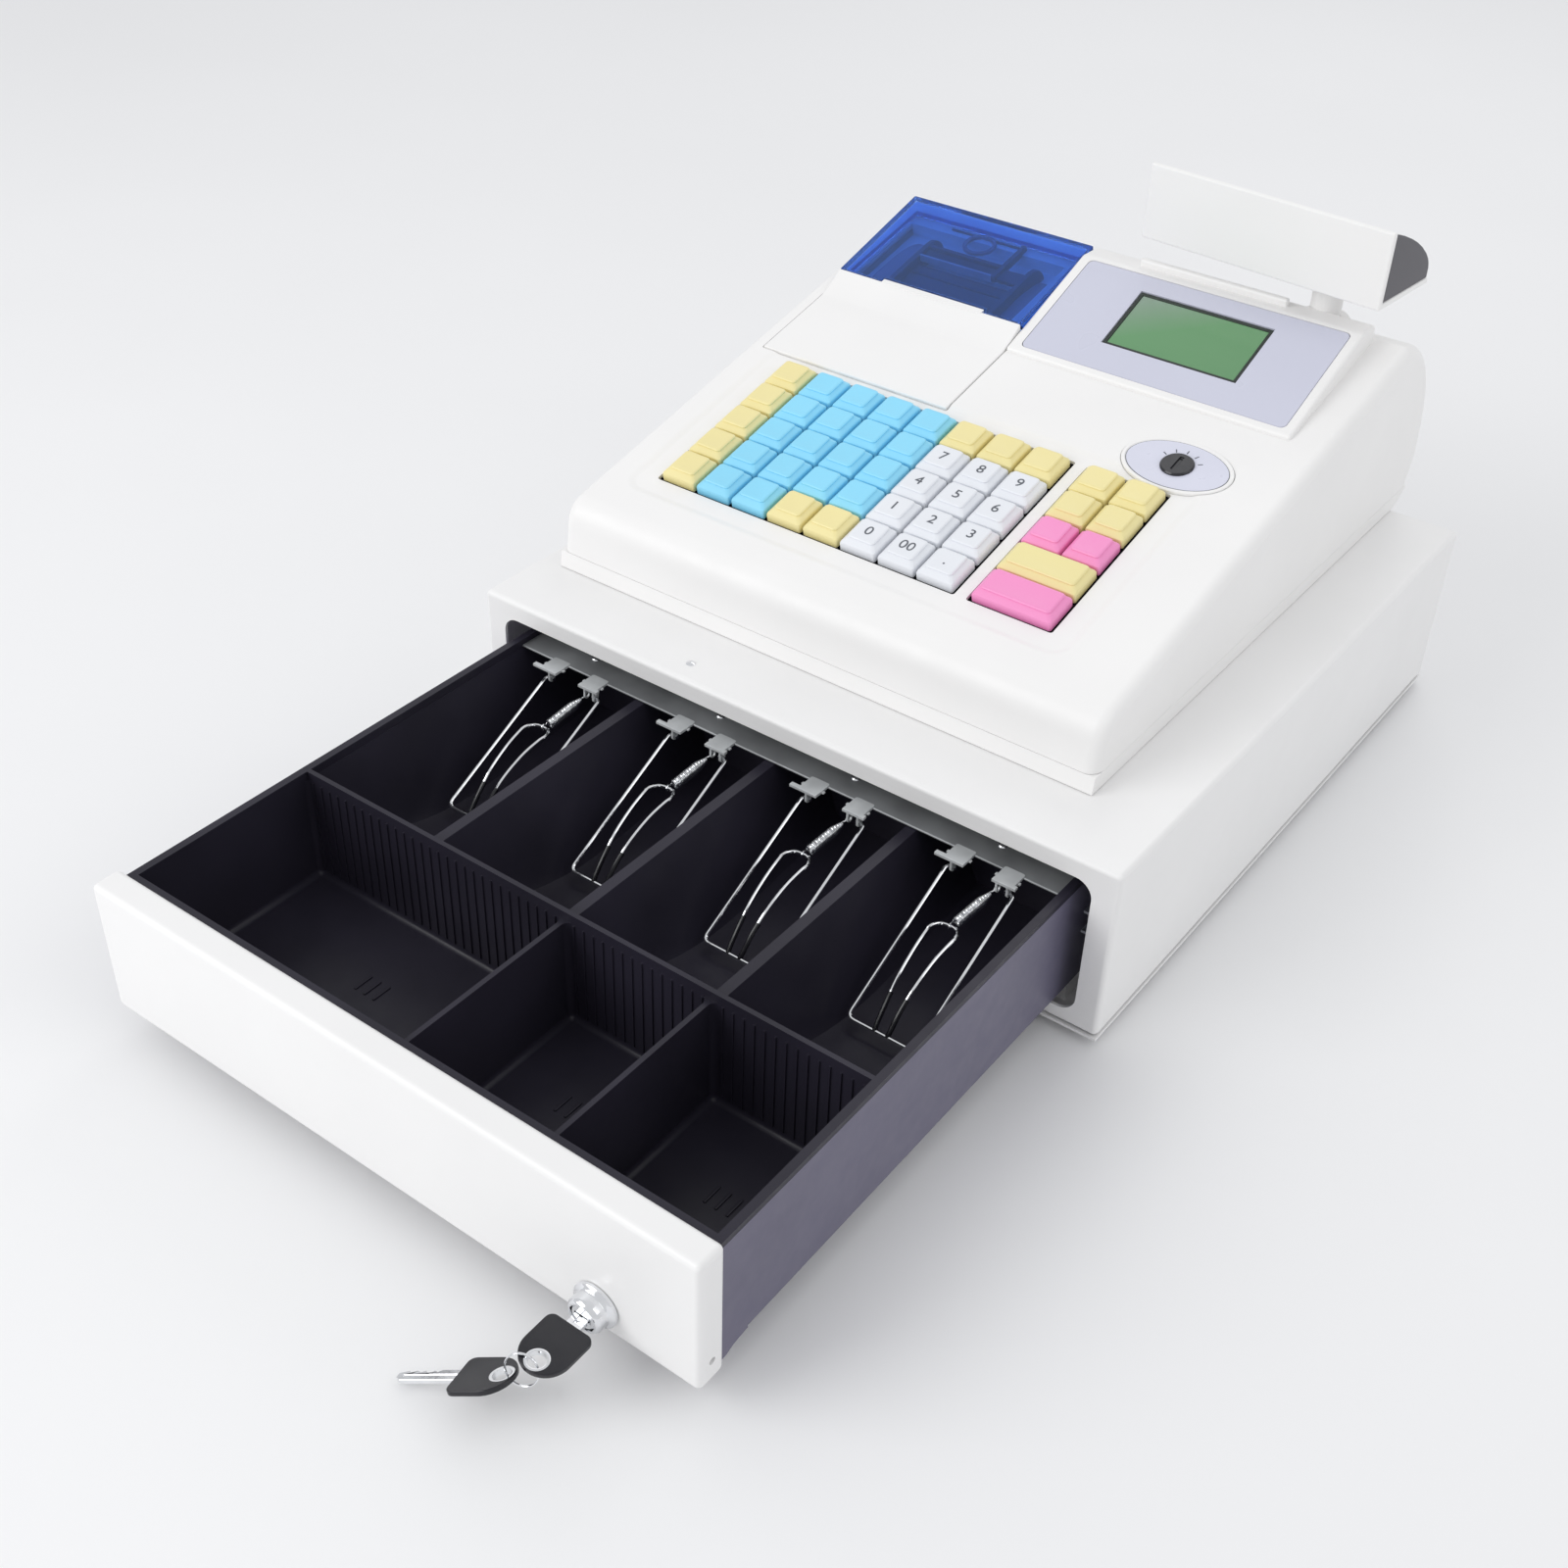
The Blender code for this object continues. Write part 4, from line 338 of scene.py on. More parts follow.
GUIDE_THICK = 0.0040
GUIDE_INSET = 0.0150
GUIDE_RING = 0.0078
TUB_DEPTH = 0.0400
SHELF_SIDE = 0.0130
SHELF_BACK = 0.0080
PATH_TOP = -0.0050
PATH_GROOVE = 0.0012
ROLL_RADIUS = 0.0240
ROLL_CORE = 0.0065
ROLL_WIDTH = 0.0570
ROLL_DEPTH = 0.0380
ROLL_UP_SHARE = 0.597
SPINDLE_RADIUS = 0.0060
ROLL_BEVEL = 0.0004

# Rear: power inlet, post and customer display
INLET_RADIUS = 0.0060
INLET_BORE = 0.0030
INLET_DEPTH = 0.0110
INLET_BEVEL = 0.0004
PIN_RADIUS = 0.0010
PIN_TIP_RADIUS = 0.0006
PIN_SUNK = 0.0010
POST_RADIUS = 0.0075
BOSS_RADIUS = 0.0125
BOSS_RISE = 0.0040
BOSS_FLARE = 0.0010
BOSS_STEPS = ((0.0, 0.0012), (0.0009, GAP), (0.0018, 0.0))
POST_STEPS = ((0.0, 0.0012), (0.0004, 0.0002), (0.0010, 0.0))
DISPLAY_LEFT = 0.0929
DISPLAY_WIDTH = 0.1289
DISPLAY_FRONT = 0.0222
DISPLAY_DEPTH = 0.0479
DISPLAY_TURN = radians(-4.95)
DISPLAY_WALL = 0.0030
DISPLAY_EDGE = 0.0080
DISPLAY_ROUND = 0.0009
LENS_WALL = 0.0020
LENS_DROP = 0.0010
LENS_PROFILE_SHARES = (
    (0.995, 0.15), (0.97, 0.235), (0.93, 0.315), (0.85, 0.42),
    (0.70, 0.57), (0.55, 0.69), (0.40, 0.79), (0.20, 0.905),
)

# Studio: floor, sky and the lights by name, place, size and power
FLOOR_HALF = 3.0
FLOOR_THICK = 0.05
SKY_COLOUR = (0.97, 0.98, 1.0, 1.0)
SKY_STRENGTH = 0.74
LIGHTS = (
    ("key_light", (-1.0, -1.6, 1.2), 1.4, 19.0),
    ("fill_light", (1.5, 0.2, 1.2), 1.2, 3.5),
    ("back_light", (-0.2, 1.5, 1.4), 1.2, 4.0),
)

# Places taken from the frame
BASE_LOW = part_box("head_base")[0]
SHELL_LOW, SHELL_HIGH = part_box("head_shell")
HEAD_LEFT, HEAD_RIGHT = SHELL_LOW.x, SHELL_HIGH.x
HEAD_FRONT = BASE_LOW.y
FLOOR_Z = BASE_LOW.z
SEAM = FLOOR_Z + HEAD_BASE_HEIGHT
DECK_FRONT_Z = FLOOR_Z + HEAD_FRONT_HEIGHT
DECK_SLOPE = tan(DECK_ANGLE)
DECK_END = HEAD_FRONT + DECK_LENGTH
DECK_END_Z = DECK_FRONT_Z + DECK_LENGTH * DECK_SLOPE
BULGE_Z = FLOOR_Z + BULGE_HEIGHT
HEAD_BACK = SHELL_HIGH.y
BASE_BACK = HEAD_BACK - BACK_TUCK
DECK = at((0.0, HEAD_FRONT, DECK_FRONT_Z)) @ Matrix.Rotation(DECK_ANGLE, 4, "X")
BEZEL_SLOPE = atan2(WEDGE_PEAK - WEDGE_FRONT_STEP, WEDGE_PEAK_START - WEDGE_START)
BEZEL_CORNER_SPOT = Vector((
    -BEZEL_LEFT,
    WEDGE_START + BEZEL_INSET * cos(BEZEL_SLOPE),
    WEDGE_FRONT_STEP + BEZEL_INSET * sin(BEZEL_SLOPE),
))
BEZEL = DECK @ at(BEZEL_CORNER_SPOT) @ Matrix.Rotation(BEZEL_SLOPE, 4, "X")
PANEL_END = WELL_START + PANEL_LENGTH
COVER_START = PANEL_END + GAP
COVER_END = COVER_START + COVER_LENGTH
WELL_RIGHT = WELL_WIDTH - WELL_LEFT
ROLL_X = -WELL_LEFT + WELL_WIDTH / 2
ROLL_UP = COVER_START + COVER_LENGTH * ROLL_UP_SHARE
LOCK_X, _, LOCK_Z = JOINTS["lock_turn"]["pos_m"]
LOCK_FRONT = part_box("lock_barrel")[0].y
FRONT_FACE = LOCK_FRONT + LOCK_PROUD
KEY_HOLE_Y = LOCK_FRONT - KEY_NECK - BOW_LENGTH + BOW_HOLE_INSET


# Mesh tools

def finished(work):
    bmesh.ops.recalc_face_normals(work, faces=work.faces)
    mesh = bpy.data.meshes.new("shape")
    work.to_mesh(mesh)
    work.free()
    return mesh


def linked(name, data):
    item = bpy.data.objects.new(name, data)
    bpy.context.scene.collection.objects.link(item)
    return item


def box(low, high):
    work = bmesh.new()
    bmesh.ops.create_cube(work, size=1.0)
    for vert in work.verts:
        vert.co = Vector([(a + b) / 2 + c * (b - a) for a, b, c in zip(low, high, vert.co)])
    return finished(work)


def loft(rings, closed=False):
    """Joins rings of equal length into one skin, capped at both ends or closed round."""
    work = bmesh.new()
    made = [[work.verts.new(spot) for spot in ring] for ring in rings]
    pairs = list(zip(made, made[1:]))
    if closed:
        pairs.append((made[-1], made[0]))
    else:
        work.faces.new(made[0])
        work.faces.new(made[-1])
    for one, two in pairs:
        for i in range(len(one)):
            j = (i + 1) % len(one)
            work.faces.new((one[i], one[j], two[j], two[i]))
    return finished(work)


def prism(points, start, end, axis=0):
    """A closed outline swept along an axis. Its points give the other two axes in order."""
    rings = []
    for place in (start, end):
        ring = [[first, second] for first, second in points]
        for spot in ring:
            spot.insert(axis, place)
        rings.append(ring)
    return loft(rings)


def disc(centre, radius, sides=40, radius_two=None):
    other = radius if radius_two is None else radius_two
    turns = [2 * pi * i / sides for i in range(sides)]
    return [(centre[0] + radius * cos(turn), centre[1] + other * sin(turn)) for turn in turns]


def rounded(low, high, radius, steps=6):
    """A rectangle with round corners, anticlockwise."""
    centres = (
        (high[0] - radius, low[1] + radius, -90), (high[0] - radius, high[1] - radius, 0),
        (low[0] + radius, high[1] - radius, 90), (low[0] + radius, low[1] + radius, 180),
    )
    points = []
    for x, y, start in centres:
        points += arc((x, y), (radius, radius), start, start + 90, steps)
    return points


def arc(centre, radii, start, end, steps):
    points = []
    for i in range(steps + 1):
        angle = radians(start + (end - start) * i / steps)
        points.append((centre[0] + radii[0] * cos(angle), centre[1] + radii[1] * sin(angle)))
    return points


def inset(points, distance):
    """Moves each side of a closed anticlockwise outline inwards."""
    moved = []
    for i, here in enumerate(points):
        before, after = points[i - 1], points[(i + 1) % len(points)]
        one = Vector((here[0] - before[0], here[1] - before[1])).normalized()
        two = Vector((after[0] - here[0], after[1] - here[1])).normalized()
        normal = Vector((-one.y, one.x))
        middle = (normal + Vector((-two.y, two.x))).normalized()
        reach = distance / max(middle.dot(normal), 0.3)
        moved.append((here[0] + middle.x * reach, here[1] + middle.y * reach))
    return moved


def lathe(profile, place, sides=48):
    """Turns a profile of radius and height round the Z axis of a place. It closes on itself."""
    rings = []
    for i in range(sides):
        turn = 2 * pi * i / sides
        rings.append([place @ Vector((r * cos(turn), r * sin(turn), h)) for r, h in profile])
    return loft(rings, closed=True)


def smooth_path(points, steps=6):
    """A curve through all points, for wires."""
    spots = [Vector(point) for point in points]
    spots = [2 * spots[0] - spots[1]] + spots + [2 * spots[-1] - spots[-2]]
    path = []
    for p0, p1, p2, p3 in zip(spots, spots[1:], spots[2:], spots[3:]):
        for i in range(steps):
            t = i / steps
            bend = 2 * p0 - 5 * p1 + 4 * p2 - p3
            twist = 3 * p1 - p0 - 3 * p2 + p3
            path.append(0.5 * (2 * p1 + (p2 - p0) * t + bend * t * t + twist * t * t * t))
    path.append(spots[-2])
    return path


def cornered_path(points, radius, steps=5):
    """Straight runs with round corners, for bent wire."""
    spots = [Vector(point) for point in points]
    path = [spots[0]]
    for before, here, after in zip(spots, spots[1:], spots[2:]):
        back, on = before - here, after - here
        reach = min(radius, back.length / 2.2, on.length / 2.2)
        start, end = here + back.normalized() * reach, here + on.normalized() * reach
        for i in range(steps + 1):
            t = i / steps
            path.append(start * (1 - t) ** 2 + here * (2 * t * (1 - t)) + end * t * t)
    path.append(spots[-1])
    return path


def tube(points, radius, closed=False, resolution=3):
    data = bpy.data.curves.new("wire", "CURVE")
    data.dimensions = "3D"
    data.bevel_depth = radius
    data.bevel_resolution = resolution
    data.use_fill_caps = True
    spline = data.splines.new("POLY")
    spline.points.add(len(points) - 1)
    for spot, point in zip(spline.points, points):
        spot.co = (*point, 1.0)
    spline.use_cyclic_u = closed
    return flattened("wire", data)


def flattened(name, curve):
    """The mesh of a curve or of a text."""
    helper = linked(name, curve)
    bpy.context.view_layer.update()
    mesh = bpy.data.meshes.new_from_object(helper)
    bpy.data.objects.remove(helper, do_unlink=True)
    return mesh


def shaped(mesh, joins=(), cuts=(), fold=0.0, segments=3, angle=40.0):
    """Adds and cuts other meshes, then rounds the edges."""
    item = linked("work", mesh)
    helpers = [item]
    for operation, others in (("UNION", joins), ("DIFFERENCE", cuts)):
        for other in others:
            tool = linked("tool", other)
            helpers.append(tool)
            modifier = item.modifiers.new("cut", "BOOLEAN")
            modifier.operation = operation
            modifier.solver = "EXACT"
            modifier.object = tool
    if fold > 0.0:
        modifier = item.modifiers.new("fold", "BEVEL")
        modifier.width = fold
        modifier.segments = segments
        modifier.limit_method = "ANGLE"
        modifier.angle_limit = radians(angle)
    bpy.context.view_layer.update()
    graph = bpy.context.evaluated_depsgraph_get()
    result = bpy.data.meshes.new_from_object(item.evaluated_get(graph))
    for helper in helpers:
        bpy.data.objects.remove(helper, do_unlink=True)
    return result


def block(low, high, fold, segments=3):
    """A box with soft edges."""
    return shaped(box(low, high), fold=fold, segments=segments)


def moved(mesh, place):
    mesh.transform(place)
    return mesh


def merged(parts):
    """One mesh of several, each with the number of its finish."""
    work = bmesh.new()
    for mesh, finish in parts:
        start = len(work.faces)
        work.from_mesh(mesh)
        work.faces.ensure_lookup_table()
        for face in work.faces[start:]:
            face.material_index = finish
    result = bpy.data.meshes.new("shape")
    work.to_mesh(result)
    work.free()
    return result


def piece(name, mesh, body, nodes, finishes, sharp=35.0):
    """Puts a mesh in the scene on its body, with its finishes, and hides the nodes it replaces."""
    item = linked(name, mesh)
    for finish in finishes:
        mesh.materials.append(finish)
    mesh.shade_smooth()
    mesh.set_sharp_from_angle(angle=radians(sharp))
    weighted = item.modifiers.new("weighted_normals", "WEIGHTED_NORMAL")
    weighted.keep_sharp = True
    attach(item, body)
    if nodes:
        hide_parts(*nodes)


# Materials

def noise(tree, source, scale, detail=2.0):
    node = tree.nodes.new("ShaderNodeTexNoise")
    node.inputs["Scale"].default_value = scale
    node.inputs["Detail"].default_value = detail
    tree.links.new(source, node.inputs["Vector"])
    return node.outputs["Fac"]


def ramp(tree, factor, stops):
    node = tree.nodes.new("ShaderNodeValToRGB")
    elements = node.color_ramp.elements
    while len(elements) < len(stops):
        elements.new(0.5)
    for element, (position, colour) in zip(elements, stops):
        element.position = position
        element.color = (*colour, 1.0)
    tree.links.new(factor, node.inputs["Fac"])
    return node.outputs["Color"]


def ranged(tree, factor, low, high):
    node = tree.nodes.new("ShaderNodeMapRange")
    node.inputs["From Min"].default_value = 0.3
    node.inputs["From Max"].default_value = 0.7
    node.inputs["To Min"].default_value = low
    node.inputs["To Max"].default_value = high
    tree.links.new(factor, node.inputs["Value"])
    return node.outputs["Result"]


def shade(colour, share):
    return tuple(min(1.0, part * share) for part in colour)


def surface(name, colour, roughness, metallic=0.0, mottle=0.04, patch=16.0, grain=900.0, relief=1e-5,
            gloss=0.05, **fixed):
    """A finish with slow changes of tone, uneven gloss and a fine skin."""
    made = bpy.data.materials.new(name)
    made.use_nodes = True
    tree = made.node_tree
    shader = tree.nodes["Principled BSDF"]
    place = tree.nodes.new("ShaderNodeTexCoord").outputs["Object"]
    broad = noise(tree, place, patch)
    fine = noise(tree, place, grain, 3.0)
    tone = ramp(tree, broad, ((0.3, shade(colour, 1 - mottle)), (0.7, shade(colour, 1 + mottle))))
    tree.links.new(tone, shader.inputs["Base Color"])
    tree.links.new(ranged(tree, noise(tree, place, patch * 7), roughness - gloss, roughness + gloss),
                   shader.inputs["Roughness"])
    bump = tree.nodes.new("ShaderNodeBump")
    bump.inputs["Strength"].default_value = 1.0
    bump.inputs["Distance"].default_value = relief
    tree.links.new(fine, bump.inputs["Height"])
    tree.links.new(bump.outputs["Normal"], shader.inputs["Normal"])
    shader.inputs["Metallic"].default_value = metallic
    for socket, value in fixed.items():
        shader.inputs[socket.replace("_", " ")].default_value = value
    return made


def spangled(name, colour, roughness):
    """Zinc plate with its patchwork of crystals."""
    made = surface(name, colour, roughness, metallic=0.9, grain=1500.0, relief=4e-6)
    tree = made.node_tree
    cells = tree.nodes.new("ShaderNodeTexVoronoi")
    cells.inputs["Scale"].default_value = 160.0
    place = tree.nodes.new("ShaderNodeTexCoord").outputs["Object"]
    tree.links.new(place, cells.inputs["Vector"])
    grey = tree.nodes.new("ShaderNodeRGBToBW")
    tree.links.new(cells.outputs["Color"], grey.inputs["Color"])
    tone = ramp(tree, grey.outputs["Val"], ((0.2, shade(colour, 0.82)), (0.8, shade(colour, 1.15))))
    tree.links.new(tone, tree.nodes["Principled BSDF"].inputs["Base Color"])
    return made


def lcd_glass(name, colour, painted_sheen):
    """The unlit display behind its glass, with a painted sheen of reflected light: pale towards the upper
    left, greener and darker towards the lower right.
    """
    made = surface(name, colour, 0.22, grain=3000.0, relief=1e-6, Coat_Weight=0.6, Coat_Roughness=0.05)
    tree = made.node_tree
    # Painted sheen of reflected light: the glass is paler towards the upper left and darker towards the
    # lower right.
    place = tree.nodes.new("ShaderNodeTexCoord").outputs["Generated"]
    slide = tree.nodes.new("ShaderNodeVectorMath")
    slide.operation = "DOT_PRODUCT"
    slide.inputs[1].default_value = (0.55, -0.45, 0.0)
    tree.links.new(place, slide.inputs[0])
    shift = tree.nodes.new("ShaderNodeMath")
    shift.operation = "ADD"
    shift.inputs[1].default_value = 0.45
    tree.links.new(slide.outputs["Value"], shift.inputs[0])
    tone = ramp(tree, shift.outputs[0], ((0.0, painted_sheen), (0.42, colour), (1.0, shade(colour, 0.92))))
    tree.links.new(tone, tree.nodes["Principled BSDF"].inputs["Base Color"])
    return made


def wound_paper(name):
    """Thermal paper, with the turns of the roll on its end faces."""
    made = surface(name, (0.86, 0.86, 0.84), 0.75, grain=1800.0, relief=6e-6)
    tree = made.node_tree
    shift = tree.nodes.new("ShaderNodeMapping")
    centre = JOINTS["paper_roll_spin"]["pos_m"]
    shift.inputs["Location"].default_value = [-value for value in centre]
    place = tree.nodes.new("ShaderNodeTexCoord").outputs["Object"]
    tree.links.new(place, shift.inputs["Vector"])
    turns = tree.nodes.new("ShaderNodeTexWave")
    turns.wave_type = "RINGS"
    turns.rings_direction = "X"
    turns.inputs["Scale"].default_value = 420.0
    turns.inputs["Distortion"].default_value = 0.6
    tree.links.new(shift.outputs["Vector"], turns.inputs["Vector"])
    tone = ramp(tree, turns.outputs["Fac"], ((0.0, (0.74, 0.74, 0.71)), (1.0, (0.90, 0.90, 0.88))))
    tree.links.new(tone, tree.nodes["Principled BSDF"].inputs["Base Color"])
    return made


WHITE_ENAMEL = surface("white_enamel", (0.86, 0.855, 0.85), 0.36, mottle=0.012, grain=650.0, relief=1.4e-5)
WHITE_PLASTIC = surface("white_plastic", (0.88, 0.872, 0.862), 0.40, mottle=0.012, grain=1900.0, relief=8e-6)
GREY_STEEL = surface("grey_steel", (0.128, 0.120, 0.178), 0.42, mottle=0.06, grain=700.0, relief=1.2e-5)
ZINC = spangled("zinc_steel", (0.66, 0.69, 0.72), 0.38)
RAIL_STEEL = surface("rail_steel", (0.30, 0.31, 0.32), 0.40, metallic=0.35, mottle=0.25, patch=38.0,
                     relief=5e-6)
TRAY_BLACK = surface("tray_black", (0.0225, 0.0205, 0.0320), 0.34, mottle=0.22, grain=2200.0, relief=1.2e-5,
                     Specular_IOR_Level=0.28)
RUBBER = surface("rubber_black", (0.020, 0.020, 0.021), 0.78, mottle=0.2, relief=2e-5)
BLACK_PLASTIC = surface("black_plastic", (0.010, 0.010, 0.014), 0.22, mottle=0.15, grain=2500.0, relief=8e-6)
CHROME = surface("chrome", (0.82, 0.83, 0.85), 0.11, metallic=1.0, mottle=0.05, patch=120.0, relief=1e-6)
PLATE_DARK = surface("key_plate_dark", (0.008, 0.008, 0.016), 0.60, mottle=0.15, relief=1e-5)
KEY_WHITE = surface("key_white", (0.80, 0.82, 0.86), 0.34, mottle=0.02, grain=2400.0, relief=7e-6)
KEY_YELLOW = surface("key_yellow", (0.86, 0.76, 0.37), 0.34, mottle=0.03, grain=2400.0, relief=7e-6)
KEY_PINK = surface("key_pink", (0.93, 0.31, 0.60), 0.34, mottle=0.03, grain=2400.0, relief=7e-6)
KEY_BLUE = surface("key_blue", (0.27, 0.70, 0.93), 0.34, mottle=0.03, grain=2400.0, relief=7e-6)
BEZEL_LILAC = surface("bezel_lilac", (0.60, 0.61, 0.72), 0.32, mottle=0.01, patch=5.0, grain=2600.0,
                      relief=1.5e-6)
LCD_FRAME = surface("lcd_frame", (0.018, 0.028, 0.022), 0.30, mottle=0.1, relief=5e-6)
# The pale second colour is a painted sheen of reflected light on the glass.
LCD_GREEN = lcd_glass("lcd_green", (0.115, 0.30, 0.125), (0.24, 0.33, 0.26))
SWITCH_LILAC = surface("switch_lilac", (0.66, 0.67, 0.78), 0.30, mottle=0.03, grain=2600.0, relief=5e-6)
INK = surface("print_ink", (0.10, 0.11, 0.13), 0.5, mottle=0.1, relief=3e-6)
PAPER = wound_paper("paper")
COVER_BLUE = surface("cover_blue", (0.22, 0.44, 1.0), 0.05, mottle=0.05, relief=1e-6, gloss=0.02,
                     Transmission_Weight=0.93, IOR=1.3)
MECHANISM_GREY = surface("mechanism_grey", (0.30, 0.28, 0.34), 0.45, mottle=0.1, grain=2200.0, relief=8e-6)
# Dark finish of the print block and guide. On the cheeks it is also painted shade, standing for the well's
# shadowed side walls.
MECHANISM_DARK_AND_PAINTED_SHADE = surface("mechanism_dark", (0.085, 0.085, 0.12), 0.40, mottle=0.15, grain=2200.0,
                         relief=8e-6)
TIN = surface("tin_plate", (0.62, 0.64, 0.65), 0.38, metallic=0.3, mottle=0.12, patch=90.0, relief=4e-6)
LENS_GREY = surface("lens_grey", (0.055, 0.050, 0.072), 0.10, mottle=0.05, relief=1e-6, gloss=0.03,
                    Transmission_Weight=0.45, IOR=1.49)


# Casing

def casing():
    low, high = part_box("casing_shell")
    outer = block(low, high, CASING_FOLD, 5)
    inner_low = (low.x + SHEET, low.y + FRAME_THICK, low.z - OVERRUN)
    inner_high = (high.x - SHEET, high.y - SHEET, high.z - SHEET)
    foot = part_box("casing_floor")[0].z
    mouth_low = (low.x + FRAME_SIDE, foot + FRAME_BOTTOM)
    mouth = rounded(mouth_low, (high.x - FRAME_SIDE, high.z - FRAME_TOP), OPENING_RADIUS, 8)
    cuts = [box(inner_low, inner_high), prism(mouth, low.y - OVERRUN, low.y + OVERRUN, axis=1)]
    shell = shaped(outer, cuts=cuts)
    x, setback = CASING_SCREW
    head = lathe(CASING_SCREW_PROFILE, at((x, low.y + setback, high.z)), 24)
    piece("casing_shell_formed", shell, "cabinet", ["casing_shell"], [WHITE_ENAMEL])
    piece("casing_top_screw", head, "cabinet", [], [CHROME])


def drawer_front():
    low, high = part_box("drawer_front")
    slab = block(low, high, CASING_FOLD, 6)
    radius = LOCK_BARREL_RADIUS + GAP
    hole = prism(disc((LOCK_X, LOCK_Z), radius), low.y - OVERRUN, low.y + LOCK_TAIL + GAP, axis=1)
    cuts = [hole]
    for side, face in ((-1, low.x), (1, high.x)):
        spot = ((low.y + high.y) / 2, low.z + SCREW_LIFT)
        ends = sorted((face - side * SCREW_DEPTH, face + side * OVERRUN))
        cuts.append(prism(disc(spot, SCREW_RADIUS, 24), *ends))
    front = shaped(slab, cuts=cuts)
    piece("drawer_front_formed", front, "drawer", ["drawer_front"], [WHITE_ENAMEL])


def drawer_pan():
    low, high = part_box("drawer_pan")
    half = PAN_WIDTH / 2
    floor = low.z + PAN_TAB_DROP
    outer = block((-half, low.y, floor), (half, high.y, high.z + OVERRUN), PAN_FOLD)
    top_low = (-half - OVERRUN, low.y - OVERRUN, high.z)
    top = box(top_low, (half + OVERRUN, high.y + OVERRUN, high.z + 2 * OVERRUN))
    inner_low = (-half + PAN_SHEET, low.y + PAN_SHEET, floor + PAN_SHEET)
    inner_high = (half - PAN_SHEET, high.y - PAN_SHEET, high.z + OVERRUN)
    inner = block(inner_low, inner_high, PAN_FOLD - PAN_SHEET / 2)
    joins = []
    for side in (-1, 1):
        ends = sorted((side * (half - PAN_SHEET / 2), side * high.x))
        ear_low = (ends[0], high.y - EAR_LENGTH, floor + EAR_LIFT)
        joins.append(box(ear_low, (ends[1], high.y, ear_low[2] + EAR_HEIGHT)))
        ends = sorted((side * half, side * (half - PAN_SHEET)))
        tab = [(low.y, floor + PAN_FOLD * 2), (low.y, low.z), (low.y + PAN_TAB_LENGTH / 4, low.z)]
        tab.append((low.y + PAN_TAB_LENGTH / 2, floor - PAN_TAB_DROP / 3))
        tab.append((low.y + PAN_TAB_LENGTH, floor + PAN_SHEET / 4))
        tab.append((low.y + PAN_TAB_LENGTH, floor + PAN_FOLD * 2))
        joins.append(prism(tab, *ends))
    pan = shaped(outer, joins=joins, cuts=[top, inner])
    piece("drawer_pan_formed", pan, "drawer", ["drawer_pan"], [GREY_STEEL])


# Cash tray

def smooth_share(shares, place):
    """A value between a row of shares, with an even curve through them."""
    spot = min(max(place, 0.0), 1.0) * (len(shares) - 1)
    i = min(int(spot), len(shares) - 2)
    t = spot - i
    before, here = shares[max(i - 1, 0)], shares[i]
    after, last = shares[i + 1], shares[min(i + 2, len(shares) - 1)]
    bend = 2 * before - 5 * here + 4 * after - last
    twist = 3 * here - before - 3 * after + last
    return 0.5 * (2 * here + (after - before) * t + bend * t * t + twist * t ** 3)


def bill_bay_cut(centre, pitch, start, end, floor_z, top, divider):
    depth = top - floor_z
    wide = (pitch - DIVIDER_TOP) / 2
    rings = []
    for i in range(25):
        share = smooth_share(BILL_FLOOR_RISE_SHARES, i / 24)
        floor = floor_z + depth * share
        narrow = wide - DIVIDER_SLOPE * (1 - share)
        side = []
        for k in range(7):
            t = k / 6
            side.append((narrow + (wide - narrow) * t, floor + (divider - floor) * t ** DIVIDER_CURVE))
        side.append((wide, top + OVERRUN))
        y = start + (end - start) * i / 24
        ring = [(centre + x, y, z) for x, z in side]
        rings.append(ring + [(centre - x, y, z) for x, z in reversed(side)])
    return loft(rings)


def tray_ribs(coin_back, left, right, floor_z, top):
    """Upright ribs on the wall behind the coin bays."""
    count = int((right - left) / RIB_PITCH)
    start = (left + right) / 2 - RIB_PITCH * (count - 1) / 2
    parts = []
    for i in range(count):
        x = start + RIB_PITCH * i
        outline = [
            (x - RIB_WIDTH / 2, coin_back + RIB_PROUD), (x - RIB_WIDTH / 3, coin_back - RIB_PROUD),
            (x + RIB_WIDTH / 3, coin_back - RIB_PROUD), (x + RIB_WIDTH / 2, coin_back + RIB_PROUD),
        ]
        parts.append((prism(outline, floor_z + COIN_FILLET, top - RIB_PROUD, axis=2), 0))
    return parts


